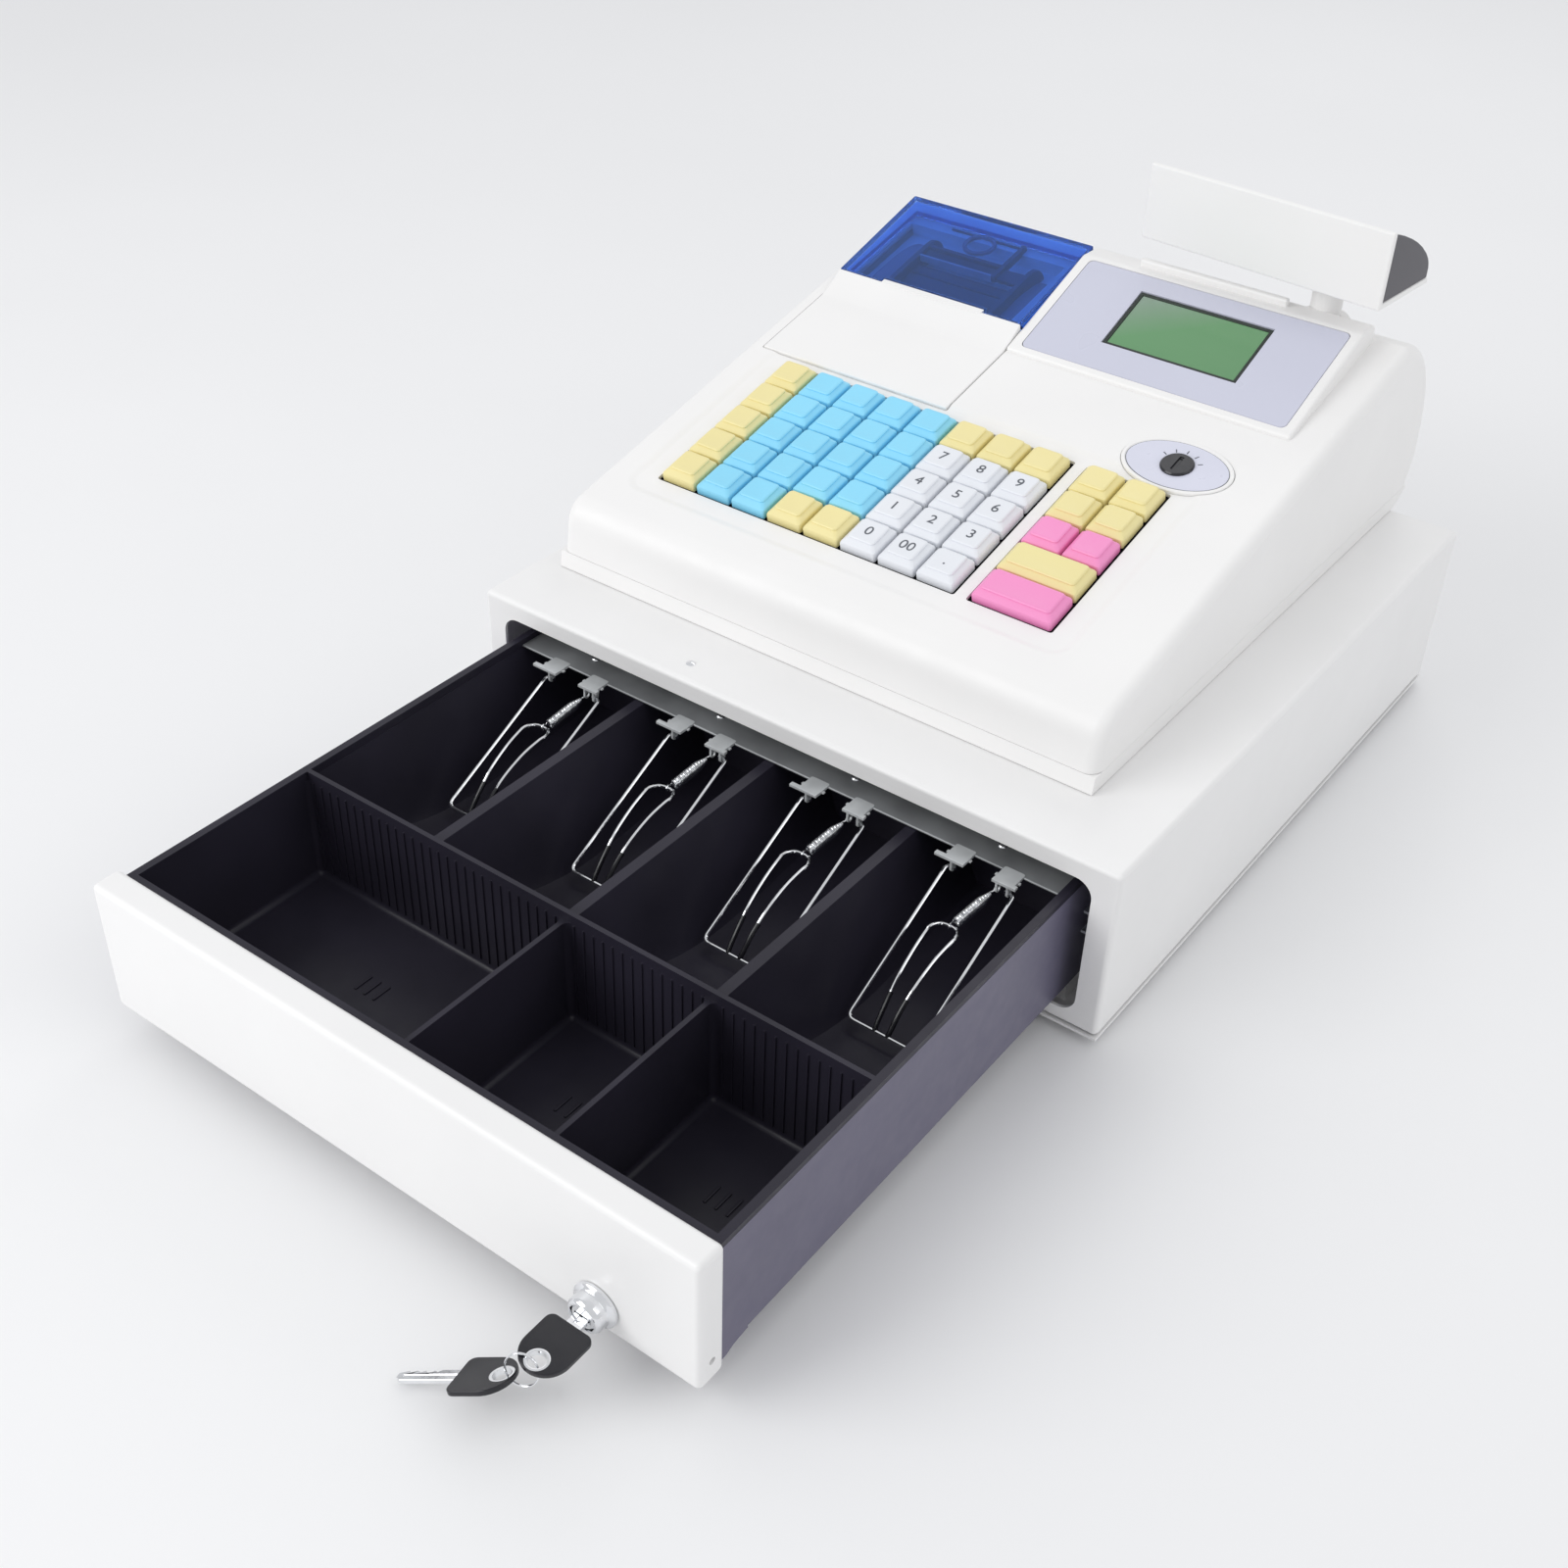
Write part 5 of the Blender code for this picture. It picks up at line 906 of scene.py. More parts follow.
def cash_tray():
    low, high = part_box("cash_tray")
    half = high.x - TRAY_RIM
    front = low.y + TRAY_RIM
    divider = high.z - DIVIDER_DROP
    floor_z = low.z + TRAY_FLOOR
    coin_back = front + TRAY_WALL + COIN_LENGTH
    rim = box((low.x, low.y, high.z - TRAY_RIM_DROP), (high.x, high.y, high.z))
    inner = half - TRAY_WALL
    cuts = []
    for start, end in ((front + TRAY_WALL, coin_back), (coin_back + TRAY_WALL, high.y - TRAY_WALL)):
        cuts.append(box((-inner, start, divider), (inner, end, high.z + OVERRUN)))
    edges = [-inner] + [-inner + 2 * inner * share for share in COIN_SPLIT_SHARES] + [inner]
    bars = []
    for i, (left, right) in enumerate(zip(edges, edges[1:])):
        left += TRAY_WALL / 2 if i > 0 else 0.0
        right -= TRAY_WALL / 2 if i + 2 < len(edges) else 0.0
        bay = box((left, front + TRAY_WALL, floor_z), (right, coin_back, high.z + OVERRUN))
        cuts.append(shaped(bay, fold=COIN_FILLET, segments=4))
        bars += floor_bars((left + right) / 2, low.y + BAR_FROM_FRONT, floor_z)
    pitch = 2 * half / BILL_BAYS
    for i in range(BILL_BAYS):
        centre = pitch * (i - (BILL_BAYS - 1) / 2)
        ends = (coin_back + TRAY_WALL, high.y - TRAY_WALL)
        cuts.append(bill_bay_cut(centre, pitch, *ends, floor_z, high.z, divider))
    body = shaped(box((-half, front, low.z), (half, high.y, high.z)), joins=[rim], cuts=cuts)
    parts = [(body, 0)] + bars + tray_ribs(coin_back, -inner, inner, floor_z, divider)
    piece("cash_tray_moulded", merged(parts), "drawer", ["cash_tray"], [TRAY_BLACK])


def floor_bars(x, y, floor_z):
    parts = []
    for i in (-1, 0, 1):
        low = (x + i * BAR_PITCH - BAR_WIDTH / 2, y - BAR_LENGTH / 2, floor_z - BAR_HEIGHT)
        high = (x + i * BAR_PITCH + BAR_WIDTH / 2, y + BAR_LENGTH / 2, floor_z + BAR_HEIGHT)
        parts.append((block(low, high, BAR_HEIGHT / 2, 2), 0))
    return parts


# Clip rail and bill clips

def dome(radius, height, steps=6):
    """Half of a rivet head's profile, from its rim to its top."""
    return [(max(x, AXIS), z) for x, z in arc((0.0, 0.0), (radius, height), 0, 90, steps)]


def clip_rail(centres, pivot_y, pivot_z):
    low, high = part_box("clip_rail")
    start = low.y + BRACKET_REACH
    top = high.z - STUD_HEIGHT
    lip = arc((start + RAIL_THICK / 2, top - RAIL_THICK / 2), (RAIL_THICK / 2, RAIL_THICK / 2), 90, 270, 6)
    plate = prism(lip + [(high.y, top - RAIL_THICK), (high.y, top)], low.x, high.x)
    rail = [(plate, 0)]
    for centre in centres:
        spot = at((centre, start + STUD_SETBACK, top - GAP))
        stud = lathe([(AXIS, -GAP), (STUD_RADIUS, -GAP)] + dome(STUD_RADIUS, STUD_HEIGHT + GAP), spot, 24)
        rail.append((stud, 1))
        for side in (-1, 1):
            rail.append((bracket(centre, side, start, top, pivot_y, pivot_z), 2))
    finishes = [RAIL_STEEL, CHROME, TIN]
    piece("clip_rail_formed", merged(rail), "drawer", ["clip_rail"], finishes)


def bracket_middle(centre, side):
    return centre + side * BRACKET_OFFSET + (BRACKET_SHIFT if side > 0 else 0.0)


def bracket(centre, side, start, top, pivot_y, pivot_z):
    """A tin plate with a winged front bar, an ear for the clip's wire and a tongue for its spring."""
    middle = bracket_middle(centre, side)
    half = BRACKET_WIDTH / 2
    front = start - BRACKET_REACH
    outline = rounded((middle - half, front), (middle + half, start + 2 * BRACKET_THICK), BRACKET_CORNER, 3)
    plate = prism(outline, top - BRACKET_THICK, top + GAP / 2, axis=2)
    outer = centre + side * (CLIP_HALF_WIDTH - CLIP_TAIL / 2)
    joins = [ear(*sorted((outer, outer - side * EAR_THICK)), top, pivot_y, pivot_z)]
    if side > 0:
        joins.append(ear(middle - half, middle - half + EAR_THICK, top, pivot_y, pivot_z))
    wings = (BRACKET_WING, 0.0) if side < 0 else (0.0, BRACKET_WING / 3)
    bar_low = (middle - half - wings[0], front - BRACKET_BAR / 2, top - BRACKET_THICK)
    joins.append(box(bar_low, (middle + half + wings[1], front + BRACKET_BAR, top + GAP)))
    stub_low = (middle - half - BRACKET_WING / 4, front + 2.5 * BRACKET_BAR, top - BRACKET_THICK)
    joins.append(box(stub_low, (middle + half + BRACKET_WING / 4, front + 3.5 * BRACKET_BAR, top - GAP)))
    hole = disc((pivot_y, pivot_z), CLIP_WIRE + GAP, 20)
    cuts = [prism(hole, middle - 2 * half, middle + 2 * half)]
    return shaped(plate, joins=joins, cuts=cuts, fold=BRACKET_EDGE, segments=1)


def ear(left, right, top, pivot_y, pivot_z):
    reach = EAR_REACH / 2
    outline = arc((pivot_y, pivot_z), (reach, reach), 180, 360, 10)
    outline += [(pivot_y + reach, top - BRACKET_THICK / 2), (pivot_y - reach, top - BRACKET_THICK / 2)]
    return prism(outline, left, right)


def bill_clip(number):
    """One clip: its wire frame with the hairpin and its dark sleeves, and its spring."""
    x, pivot_y, pivot_z = JOINTS[f"clip_lift_{number}"]["pos_m"]
    angle = radians(CLIP_ANGLE)

    def on_clip(across, along, rise=0.0):
        y = pivot_y - along * cos(angle) - rise * sin(angle)
        return Vector((x + across, y, pivot_z - along * sin(angle) + rise * cos(angle)))

    half = CLIP_HALF_WIDTH
    side = [(half - CLIP_TAIL, 0.0), (half, 0.0), (half, CLIP_LENGTH)]
    route = side + [(-across, along) for across, along in reversed(side)]
    parts = [(tube(cornered_path([on_clip(*spot) for spot in route], CLIP_CORNER), CLIP_WIRE), 0)]
    leg = [(across, CLIP_LENGTH * along, rise) for across, along, rise in HAIRPIN_LEG]
    top = [(0.0, CLIP_LENGTH * HAIRPIN_LOOP_SHARE, HAIRPIN_LOOP_RISE)]
    route = leg + top + [(-across, along, rise) for across, along, rise in reversed(leg)]
    parts.append((tube(smooth_path([on_clip(*spot) for spot in route]), HAIRPIN_WIRE), 0))
    for way in (-1, 1):
        toe = [(way * across, along, rise) for across, along, rise in leg[:4]]
        path = smooth_path([on_clip(*spot) for spot in toe])
        sleeve = [spot for spot in path if (spot - path[0]).length < SLEEVE_LENGTH]
        parts.append((tube(sleeve, SLEEVE_RADIUS), 1))
    body = f"clip_{number}"
    finishes = [CHROME, BLACK_PLASTIC]
    piece(f"clip_wire_{number}", merged(parts), body, [f"clip_frame_{number}"], finishes)
    tongue = bracket_middle(0.0, 1) - BRACKET_WIDTH / 2 - 2 * GAP
    head, foot = on_clip(*SPRING_HEAD), on_clip(*SPRING_FOOT)
    axis = (foot - head).normalized()
    aside = axis.cross(Vector((0.0, 0.0, 1.0))).normalized()
    lift = aside.cross(axis)
    points = [on_clip(tongue, 0.0), on_clip(tongue, SPRING_HEAD[1] / 2, SPRING_HEAD[2] / 2)]
    total = SPRING_CURLS * SPRING_STEPS
    for i in range(total + 1):
        turn = 2 * pi * i / SPRING_STEPS
        spot = head.lerp(foot, i / total)
        radius = SPRING_RADIUS * min(1.0, SPRING_TAPER + SPRING_GROWTH * i / total)
        points.append(spot + (aside * cos(turn) + lift * sin(turn)) * radius)
    loop = (CLIP_LENGTH * HAIRPIN_LOOP_SHARE, HAIRPIN_LOOP_RISE)
    reach = HAIRPIN_WIRE + SPRING_WIRE + GAP
    for along, rise in arc(loop, (reach, reach), 180, -45, 12):
        points.append(on_clip(0.0, along, rise))
    mesh = tube(points, SPRING_WIRE, resolution=2)
    piece(f"clip_coil_{number}", mesh, body, [f"clip_spring_{number}"], [CHROME])


# Lock and keys

def lock():
    facing = at((LOCK_X, FRONT_FACE, LOCK_Z)) @ Matrix.Rotation(radians(90), 4, "X")
    bore = LOCK_PLUG_RADIUS + GAP
    rim = LOCK_PROUD - LOCK_CONE_DROP
    profile = [
        (bore, -LOCK_TAIL + SHEET), (bore, LOCK_PROUD), (bore + LOCK_LIP, LOCK_PROUD),
        (LOCK_BARREL_RADIUS - LOCK_CONE_IN, LOCK_PROUD - LOCK_BEVEL), (LOCK_BARREL_RADIUS, rim),
        (LOCK_BARREL_RADIUS, LOCK_FLANGE_THICK + LOCK_FILLET),
        (LOCK_BARREL_RADIUS + LOCK_LIP, LOCK_FLANGE_THICK + GAP),
        (LOCK_FLANGE_RADIUS - LOCK_LIP, LOCK_FLANGE_THICK),
        (LOCK_FLANGE_RADIUS, LOCK_FLANGE_THICK - LOCK_FLANGE_DROP),
        (LOCK_FLANGE_RADIUS, GAP), (LOCK_BARREL_RADIUS, GAP), (LOCK_BARREL_RADIUS, -LOCK_TAIL),
        (AXIS, -LOCK_TAIL), (AXIS, -LOCK_TAIL + SHEET),
    ]
    piece("lock_barrel_turned", lathe(profile, facing, 64), "drawer", ["lock_barrel"], [CHROME])
    face = LOCK_PROUD - LOCK_PLUG_SUNK
    plug = lathe([
        (AXIS, face), (LOCK_PLUG_RADIUS - LOCK_BEVEL, face), (LOCK_PLUG_RADIUS, face - LOCK_BEVEL),
        (LOCK_PLUG_RADIUS, -LOCK_TAIL + SHEET + GAP), (AXIS, -LOCK_TAIL + SHEET + GAP),
    ], facing, 48)
    wide, high = KEYWAY_WIDTH / 2, KEYWAY_HEIGHT / 2
    front = LOCK_FRONT - OVERRUN
    back = front + KEY_BLADE + 2 * OVERRUN
    keyway = box((LOCK_X - wide, front, LOCK_Z - high), (LOCK_X + wide, back, LOCK_Z + high))
    piece("lock_plug_turned", shaped(plug, cuts=[keyway]), "lock", ["lock_plug"], [CHROME])


def bow():
    """A key's flat bow in x and y, square at its neck, which is the origin, and round at its far end."""
    half = BOW_WIDTH / 2
    near = rounded((-half, -BOW_LENGTH), (half, 0.0), BOW_CORNER)
    far = arc((0.0, -BOW_LENGTH + half), (half, half), 180, 360, 20)
    steps = len(near) // 4
    outline = near[steps:3 * steps] + far
    slab = prism(outline, -BOW_THICK / 2, BOW_THICK / 2, axis=2)
    hole_y = -BOW_LENGTH + BOW_HOLE_INSET
    hole = prism(disc((0.0, hole_y), BOW_HOLE, 32), -BOW_THICK, BOW_THICK, axis=2)
    shape = shaped(slab, cuts=[hole], fold=BOW_EDGE)
    reach = BOW_THICK / 2
    eyelet = lathe([
        (BOW_HOLE - GAP, -reach), (BOW_HOLE - GAP, reach), (BOW_HOLE + EYELET_MIDDLE, reach + EYELET_CROWN),
        (BOW_HOLE + EYELET_RIM, reach), (BOW_HOLE + EYELET_RIM, -reach),
        (BOW_HOLE + EYELET_MIDDLE, -reach - EYELET_CROWN),
    ], at((0.0, hole_y, 0.0)), 32)
    return [(shape, 0), (eyelet, 1)]


def blade(length, width, thick):
    """A steel blade from the bow's neck, with its groove and cuts."""
    half = width / 2
    outline = [(-half, -BOW_CORNER), (half, -BOW_CORNER), (half, length * 0.30)]
    for i in range(4):
        spot = length * (0.36 + 0.14 * i)
        outline.append((half - BLADE_CUT * (1 + i % 2), spot))
        outline.append((half - BLADE_NICK, spot + length * 0.07))
    outline += [(half * 0.4, length), (-half * 0.4, length), (-half, length * 0.90)]
    groove = box((-half * 0.3, -BOW_CORNER, thick * 0.3), (half * 0.1, length * 0.9, thick))
    return shaped(prism(outline, -thick / 2, thick / 2, axis=2), cuts=[groove], fold=BLADE_EDGE, segments=1)


def keys():
    neck = at((LOCK_X, LOCK_FRONT - KEY_NECK, LOCK_Z))
    parts = bow() + [(blade(KEY_NECK + KEY_BLADE, KEY_NECK_WIDTH, KEY_NECK_THICK), 1)]
    mesh = moved(merged(parts), neck)
    piece("drawer_key_cut", mesh, "lock", ["drawer_key"], [BLACK_PLASTIC, CHROME])
    slope = radians(RING_SLOPE)
    across = Vector((-1.0, 0.0, 1.0)).normalized()
    outward = across.cross(Vector((0.0, 1.0, 0.0))) * sin(slope)
    if outward.z > 0.0:
        outward.negate()
    outward.y = -cos(slope)
    hang = Vector((LOCK_X, KEY_HOLE_Y - RING_HANG, LOCK_Z))
    centre = hang + outward * RING_RADIUS
    aside = across.cross(outward).normalized()
    points = []
    for i in range(RING_STEPS + 1):
        turn = 4 * pi * i / RING_STEPS
        lift = aside * (RING_WIRE * (i / RING_STEPS - 0.5))
        points.append(centre + (across * sin(turn) - outward * cos(turn)) * RING_RADIUS + lift)
    ring = tube(points, RING_WIRE * RING_WIRE_SHARE)
    piece("split_ring", ring, "drawer", ["key_ring"], [CHROME])
    heading = Vector(SPARE_HEADING_SHARES).normalized()
    normal = (across - heading * across.dot(heading)).normalized()
    turn = Matrix((heading.cross(normal), heading, normal)).transposed().to_4x4()
    hole = hang + outward * RING_RADIUS * 2 + heading * SPARE_HANG
    back = at((0.0, BOW_LENGTH - BOW_HOLE_INSET, 0.0))
    parts = bow() + [(blade(SPARE_BLADE_LENGTH, SPARE_BLADE_WIDTH, SPARE_BLADE_THICK), 1)]
    mesh = moved(merged(parts), at(hole) @ turn @ back)
    piece("spare_key_cut", mesh, "drawer", ["spare_key"], [BLACK_PLASTIC, CHROME])


# Register head

def head_profile():
    """The side outline's parts in y and z: the front's top, its round edge, the back and the tuck."""
    run = HEAD_FRONT_HEIGHT - HEAD_FRONT_ROUND
    front_top = (HEAD_FRONT + HEAD_FRONT_LEAN * run / HEAD_FRONT_HEIGHT, FLOOR_Z + run)
    corner = (HEAD_FRONT + HEAD_FRONT_LEAN, DECK_FRONT_Z + HEAD_FRONT_LEAN * DECK_SLOPE)
    reach, rise = HEAD_FRONT_ROUND * cos(DECK_ANGLE), HEAD_FRONT_ROUND * sin(DECK_ANGLE)
    start = (corner[0] + reach, corner[1] + rise)
    front = []
    for i in range(12):
        share = (i + 1) / 12
        front.append(tuple(
            (1 - share) ** 2 * a + 2 * (1 - share) * share * b + share ** 2 * c
            for a, b, c in zip(front_top, corner, start)
        ))
    back = arc((DECK_END, BULGE_Z), (HEAD_BACK - DECK_END, DECK_END_Z - BULGE_Z), 0, 90, 28)
    tuck = arc((BASE_BACK, BULGE_Z), (BACK_TUCK, BULGE_HEIGHT), -90, 0, 20)
    return front_top, front, back, tuck


def crossing(tuck, height):
    """Where the tuck's curve passes a height, and its points above and below that."""
    above = [point for point in tuck if point[1] > height]
    below = [point for point in tuck if point[1] <= height]
    share = (height - below[-1][1]) / (above[0][1] - below[-1][1])
    return (below[-1][0] + share * (above[0][0] - below[-1][0]), height), above, below


def upper_outline():
    front_top, front, back, tuck = head_profile()
    spot, above, _ = crossing(tuck, SEAM + GAP)
    front_y = HEAD_FRONT + HEAD_FRONT_LEAN * (SEAM + GAP - FLOOR_Z) / HEAD_FRONT_HEIGHT
    return [(front_y, SEAM + GAP), spot] + above + back[1:] + list(reversed(front)) + [front_top]


def shell_blank():
    """The upper shell's outer solid, whose side edges are round all the way over."""
    outline = upper_outline()
    rings = []
    steps = 8
    for side, face in ((-1, HEAD_LEFT), (1, HEAD_RIGHT)):
        made = []
        for i in range(steps + 1):
            turn = radians(90 * i / steps)
            ring = inset(outline, HEAD_SIDE_ROUND * (1 - sin(turn)))
            ring[0] = (ring[0][0], SEAM + GAP)
            ring[1] = (ring[1][0], SEAM + GAP)
            x = face - side * HEAD_SIDE_ROUND * (1 - cos(turn))
            made.append([(x, y, z) for y, z in ring])
        rings += made if side < 0 else list(reversed(made))
    return loft(rings)


def wedge():
    sunk = -PLASTIC / 2
    outline = [
        (WEDGE_START, sunk), (WEDGE_END, sunk), (WEDGE_END, WEDGE_END_STEP),
        (WEDGE_PEAK_START, WEDGE_PEAK), (WEDGE_START, WEDGE_FRONT_STEP),
    ]
    solid = shaped(prism(outline, -WEDGE_LEFT, WEDGE_RIGHT), fold=WEDGE_ROUND, segments=5, angle=15.0)
    return moved(solid, DECK)


def block_bounds():
    """The outlines of the two key blocks on the deck, as low and high corners."""
    reach = KEY_BASE / 2 + KEY_MARGIN
    low_s = KEY_BACK_ROW - (KEY_ROWS - 1) * KEY_ROW_PITCH - reach
    high_s = KEY_BACK_ROW + reach
    blocks = []
    for first, columns in ((-KEY_LEFT, KEY_COLUMNS), (-KEY_LEFT + KEY_BLOCK_STEP, 2)):
        last = first + (columns - 1) * KEY_PITCH
        blocks.append(((first - reach, low_s), (last + reach, high_s)))
    return blocks


def keyboard_dip():
    """The shallow dip of the deck round both key blocks, with soft slopes at its edges."""
    main, side = block_bounds()
    low = (main[0][0] - SURROUND, main[0][1] - SURROUND)
    high = (side[1][0] + SURROUND, side[1][1] + SURROUND * 0.6)
    rings = []
    for i in range(9):
        t = i / 8
        grow = SURROUND_SLOPE * t
        height = -SURROUND_DROP * (0.5 + 0.5 * cos(pi * t))
        corners = ((low[0] - grow, low[1] - grow), (high[0] + grow, high[1] + grow))
        outline = rounded(*corners, SURROUND_CORNER + grow, 8)
        rings.append([(x, s, height) for x, s in outline])
    rings.append([(x, s, OVERRUN) for x, s, _ in rings[-1]])
    return moved(loft(rings), DECK)


def bezel_plate(grow, low, high, corner=BEZEL_CORNER):
    outline = rounded((-grow, -grow), (BEZEL_WIDTH + grow, BEZEL_HEIGHT + grow), corner)
    return moved(prism(outline, low, high, axis=2), BEZEL)


def lcd_block(grow, low, high):
    left, bottom = LCD_FROM_LEFT - grow, LCD_FROM_BOTTOM - grow
    right, top = LCD_FROM_LEFT + LCD_WIDTH + grow, LCD_FROM_BOTTOM + LCD_HEIGHT + grow
    return moved(box((left, bottom, low), (right, top, high)), BEZEL)


def head_shell():
    switch = JOINTS["mode_switch_turn"]["pos_m"]
    centre = DECK.inverted() @ Vector(switch)
    inner = inset(upper_outline(), PLASTIC)
    inner[0] = (inner[0][0], SEAM - OVERRUN)
    inner[1] = (inner[1][0], SEAM - OVERRUN)
    ridge_low = (-RIDGE_LEFT, WEDGE_PEAK_START + RIDGE_WIDTH, WEDGE_END_STEP / 2)
    ridge_high = (RIDGE_LENGTH - RIDGE_LEFT, WEDGE_END - RIDGE_WIDTH, WEDGE_PEAK + RIDGE_HEIGHT)
    ridge = moved(block(ridge_low, ridge_high, RIDGE_ROUND), DECK)
    ledge_low = (-WELL_LEFT - LEDGE_WIDTH, WELL_START - LEDGE_WIDTH, -PLASTIC - 2 * LEDGE_THICK)
    ledge_high = (WELL_RIGHT + LEDGE_WIDTH, COVER_END + GAP + LEDGE_WIDTH, -PLASTIC / 2)
    post = JOINTS["customer_display_swivel"]["pos_m"]
    profile = [(AXIS, -2 * BOSS_RISE), (BOSS_RADIUS + BOSS_FLARE, -2 * BOSS_RISE)]
    profile += [(BOSS_RADIUS - narrow, -drop) for narrow, drop in BOSS_STEPS]
    boss = lathe(profile + [(AXIS, 0.0)], at(post), 64)
    socket = prism(disc(post[:2], POST_RADIUS + GAP), post[2] - 2 * BOSS_RISE, post[2] + OVERRUN, axis=2)
    cuts = [prism(inner, HEAD_LEFT + PLASTIC, HEAD_RIGHT - PLASTIC)]
    solid = shaped(shell_blank(), joins=[wedge()], cuts=cuts)
    through = (-PLASTIC - OVERRUN, OVERRUN)
    openings = [socket, keyboard_dip()]
    for low, high in block_bounds():
        openings.append(moved(prism(rounded(low, high, HOLE_CORNER, 3), *through, axis=2), DECK))
    well = rounded((-WELL_LEFT, WELL_START), (WELL_RIGHT, COVER_END + GAP), HOLE_CORNER, 3)
    openings.append(moved(prism(well, -PLASTIC - GAP, through[1], axis=2), DECK))
    well_low = (-WELL_LEFT + LEDGE_WIDTH, WELL_START + LEDGE_WIDTH, through[0] - 2 * LEDGE_THICK)
    well_high = (WELL_RIGHT - SHELF_SIDE, COVER_END - SHELF_BACK, through[1])
    openings.append(moved(box(well_low, well_high), DECK))
    oval = disc(centre, SWITCH_HALF_WIDTH + GAP, 72, SWITCH_HALF_HEIGHT + GAP)
    openings.append(moved(prism(oval, -SWITCH_SUNK - GAP, OVERRUN, axis=2), DECK))
    openings.append(moved(prism(disc(centre, ROTOR_SHAFT + GAP), *through, axis=2), DECK))
    openings.append(bezel_plate(GAP, -BEZEL_THICK - GAP, OVERRUN))
    openings.append(lcd_block(GAP, -BEZEL_THICK - LCD_THICK - 2 * GAP, 0.0))
    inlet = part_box("power_inlet")
    spot = ((inlet[0].x + inlet[1].x) / 2, (inlet[0].z + inlet[1].z) / 2)
    inlet_ends = (HEAD_BACK - INLET_DEPTH, HEAD_BACK + OVERRUN)
    openings.append(prism(disc(spot, INLET_RADIUS + GAP), *inlet_ends, axis=1))
    ledge = moved(box(ledge_low, ledge_high), DECK)
    shell = shaped(solid, joins=[ridge, ledge, boss, printer_tub()], cuts=openings)
    piece("head_shell_moulded", shell, "cabinet", ["head_shell"], [WHITE_PLASTIC], sharp=32.0)


def printer_tub():
    """Walls below the printer's opening that close it off from the rest of the shell."""
    low = (-WELL_LEFT + LEDGE_WIDTH, WELL_START + LEDGE_WIDTH)
    high = (WELL_RIGHT - LEDGE_WIDTH, COVER_END - LEDGE_WIDTH)
    outer_high = (high[0] + SHEET, high[1] + SHEET, -PLASTIC - GAP)
    outer = box((low[0] - SHEET, low[1] - SHEET, -TUB_DEPTH), outer_high)
    inner = box((*low, -TUB_DEPTH - OVERRUN), (*high, OVERRUN))
    return moved(shaped(outer, cuts=[inner]), DECK)


def head_base():
    _, _, _, tuck = head_profile()
    spot, _, below = crossing(tuck, SEAM)
    front_y = HEAD_FRONT + HEAD_FRONT_LEAN * HEAD_BASE_HEIGHT / HEAD_FRONT_HEIGHT
    outline = [(HEAD_FRONT, FLOOR_Z)] + below + [spot, (front_y, SEAM)]
    outer = shaped(prism(outline, HEAD_LEFT, HEAD_RIGHT), fold=EDGE_COARSE)
    low = (HEAD_LEFT + PLASTIC, HEAD_FRONT + 2 * PLASTIC, FLOOR_Z + PLASTIC)
    tray = shaped(outer, cuts=[box(low, (HEAD_RIGHT - PLASTIC, BASE_BACK - PLASTIC, SEAM + OVERRUN))])
    piece("head_base_moulded", tray, "cabinet", ["head_base"], [WHITE_PLASTIC])


# Display on the head

def display():
    plate = shaped(bezel_plate(0.0, -BEZEL_THICK, 0.0), fold=EDGE_FINE, segments=2, angle=60.0)
    window = lcd_block(GAP, -BEZEL_THICK - OVERRUN, OVERRUN)
    plate = shaped(plate, cuts=[window])
    piece("display_bezel_plate", plate, "cabinet", ["display_bezel"], [BEZEL_LILAC])
    module = lcd_block(0.0, -BEZEL_THICK - LCD_THICK, -LCD_RECESS)
    pocket = lcd_block(-LCD_BORDER, -LCD_RECESS - LCD_GLASS_DROP, OVERRUN)
    surround = shaped(module, cuts=[pocket], fold=EDGE_HAIR, segments=2)
    glass_ends = (-LCD_RECESS - 2 * LCD_GLASS_DROP, -LCD_RECESS - LCD_GLASS_DROP / 2)
    glass = shaped(lcd_block(-LCD_BORDER - GAP / 3, *glass_ends), fold=EDGE_HAIR, segments=2)
    piece("lcd_surround", surround, "cabinet", ["lcd_module"], [LCD_FRAME])
    piece("lcd_window", glass, "cabinet", [], [LCD_GREEN])


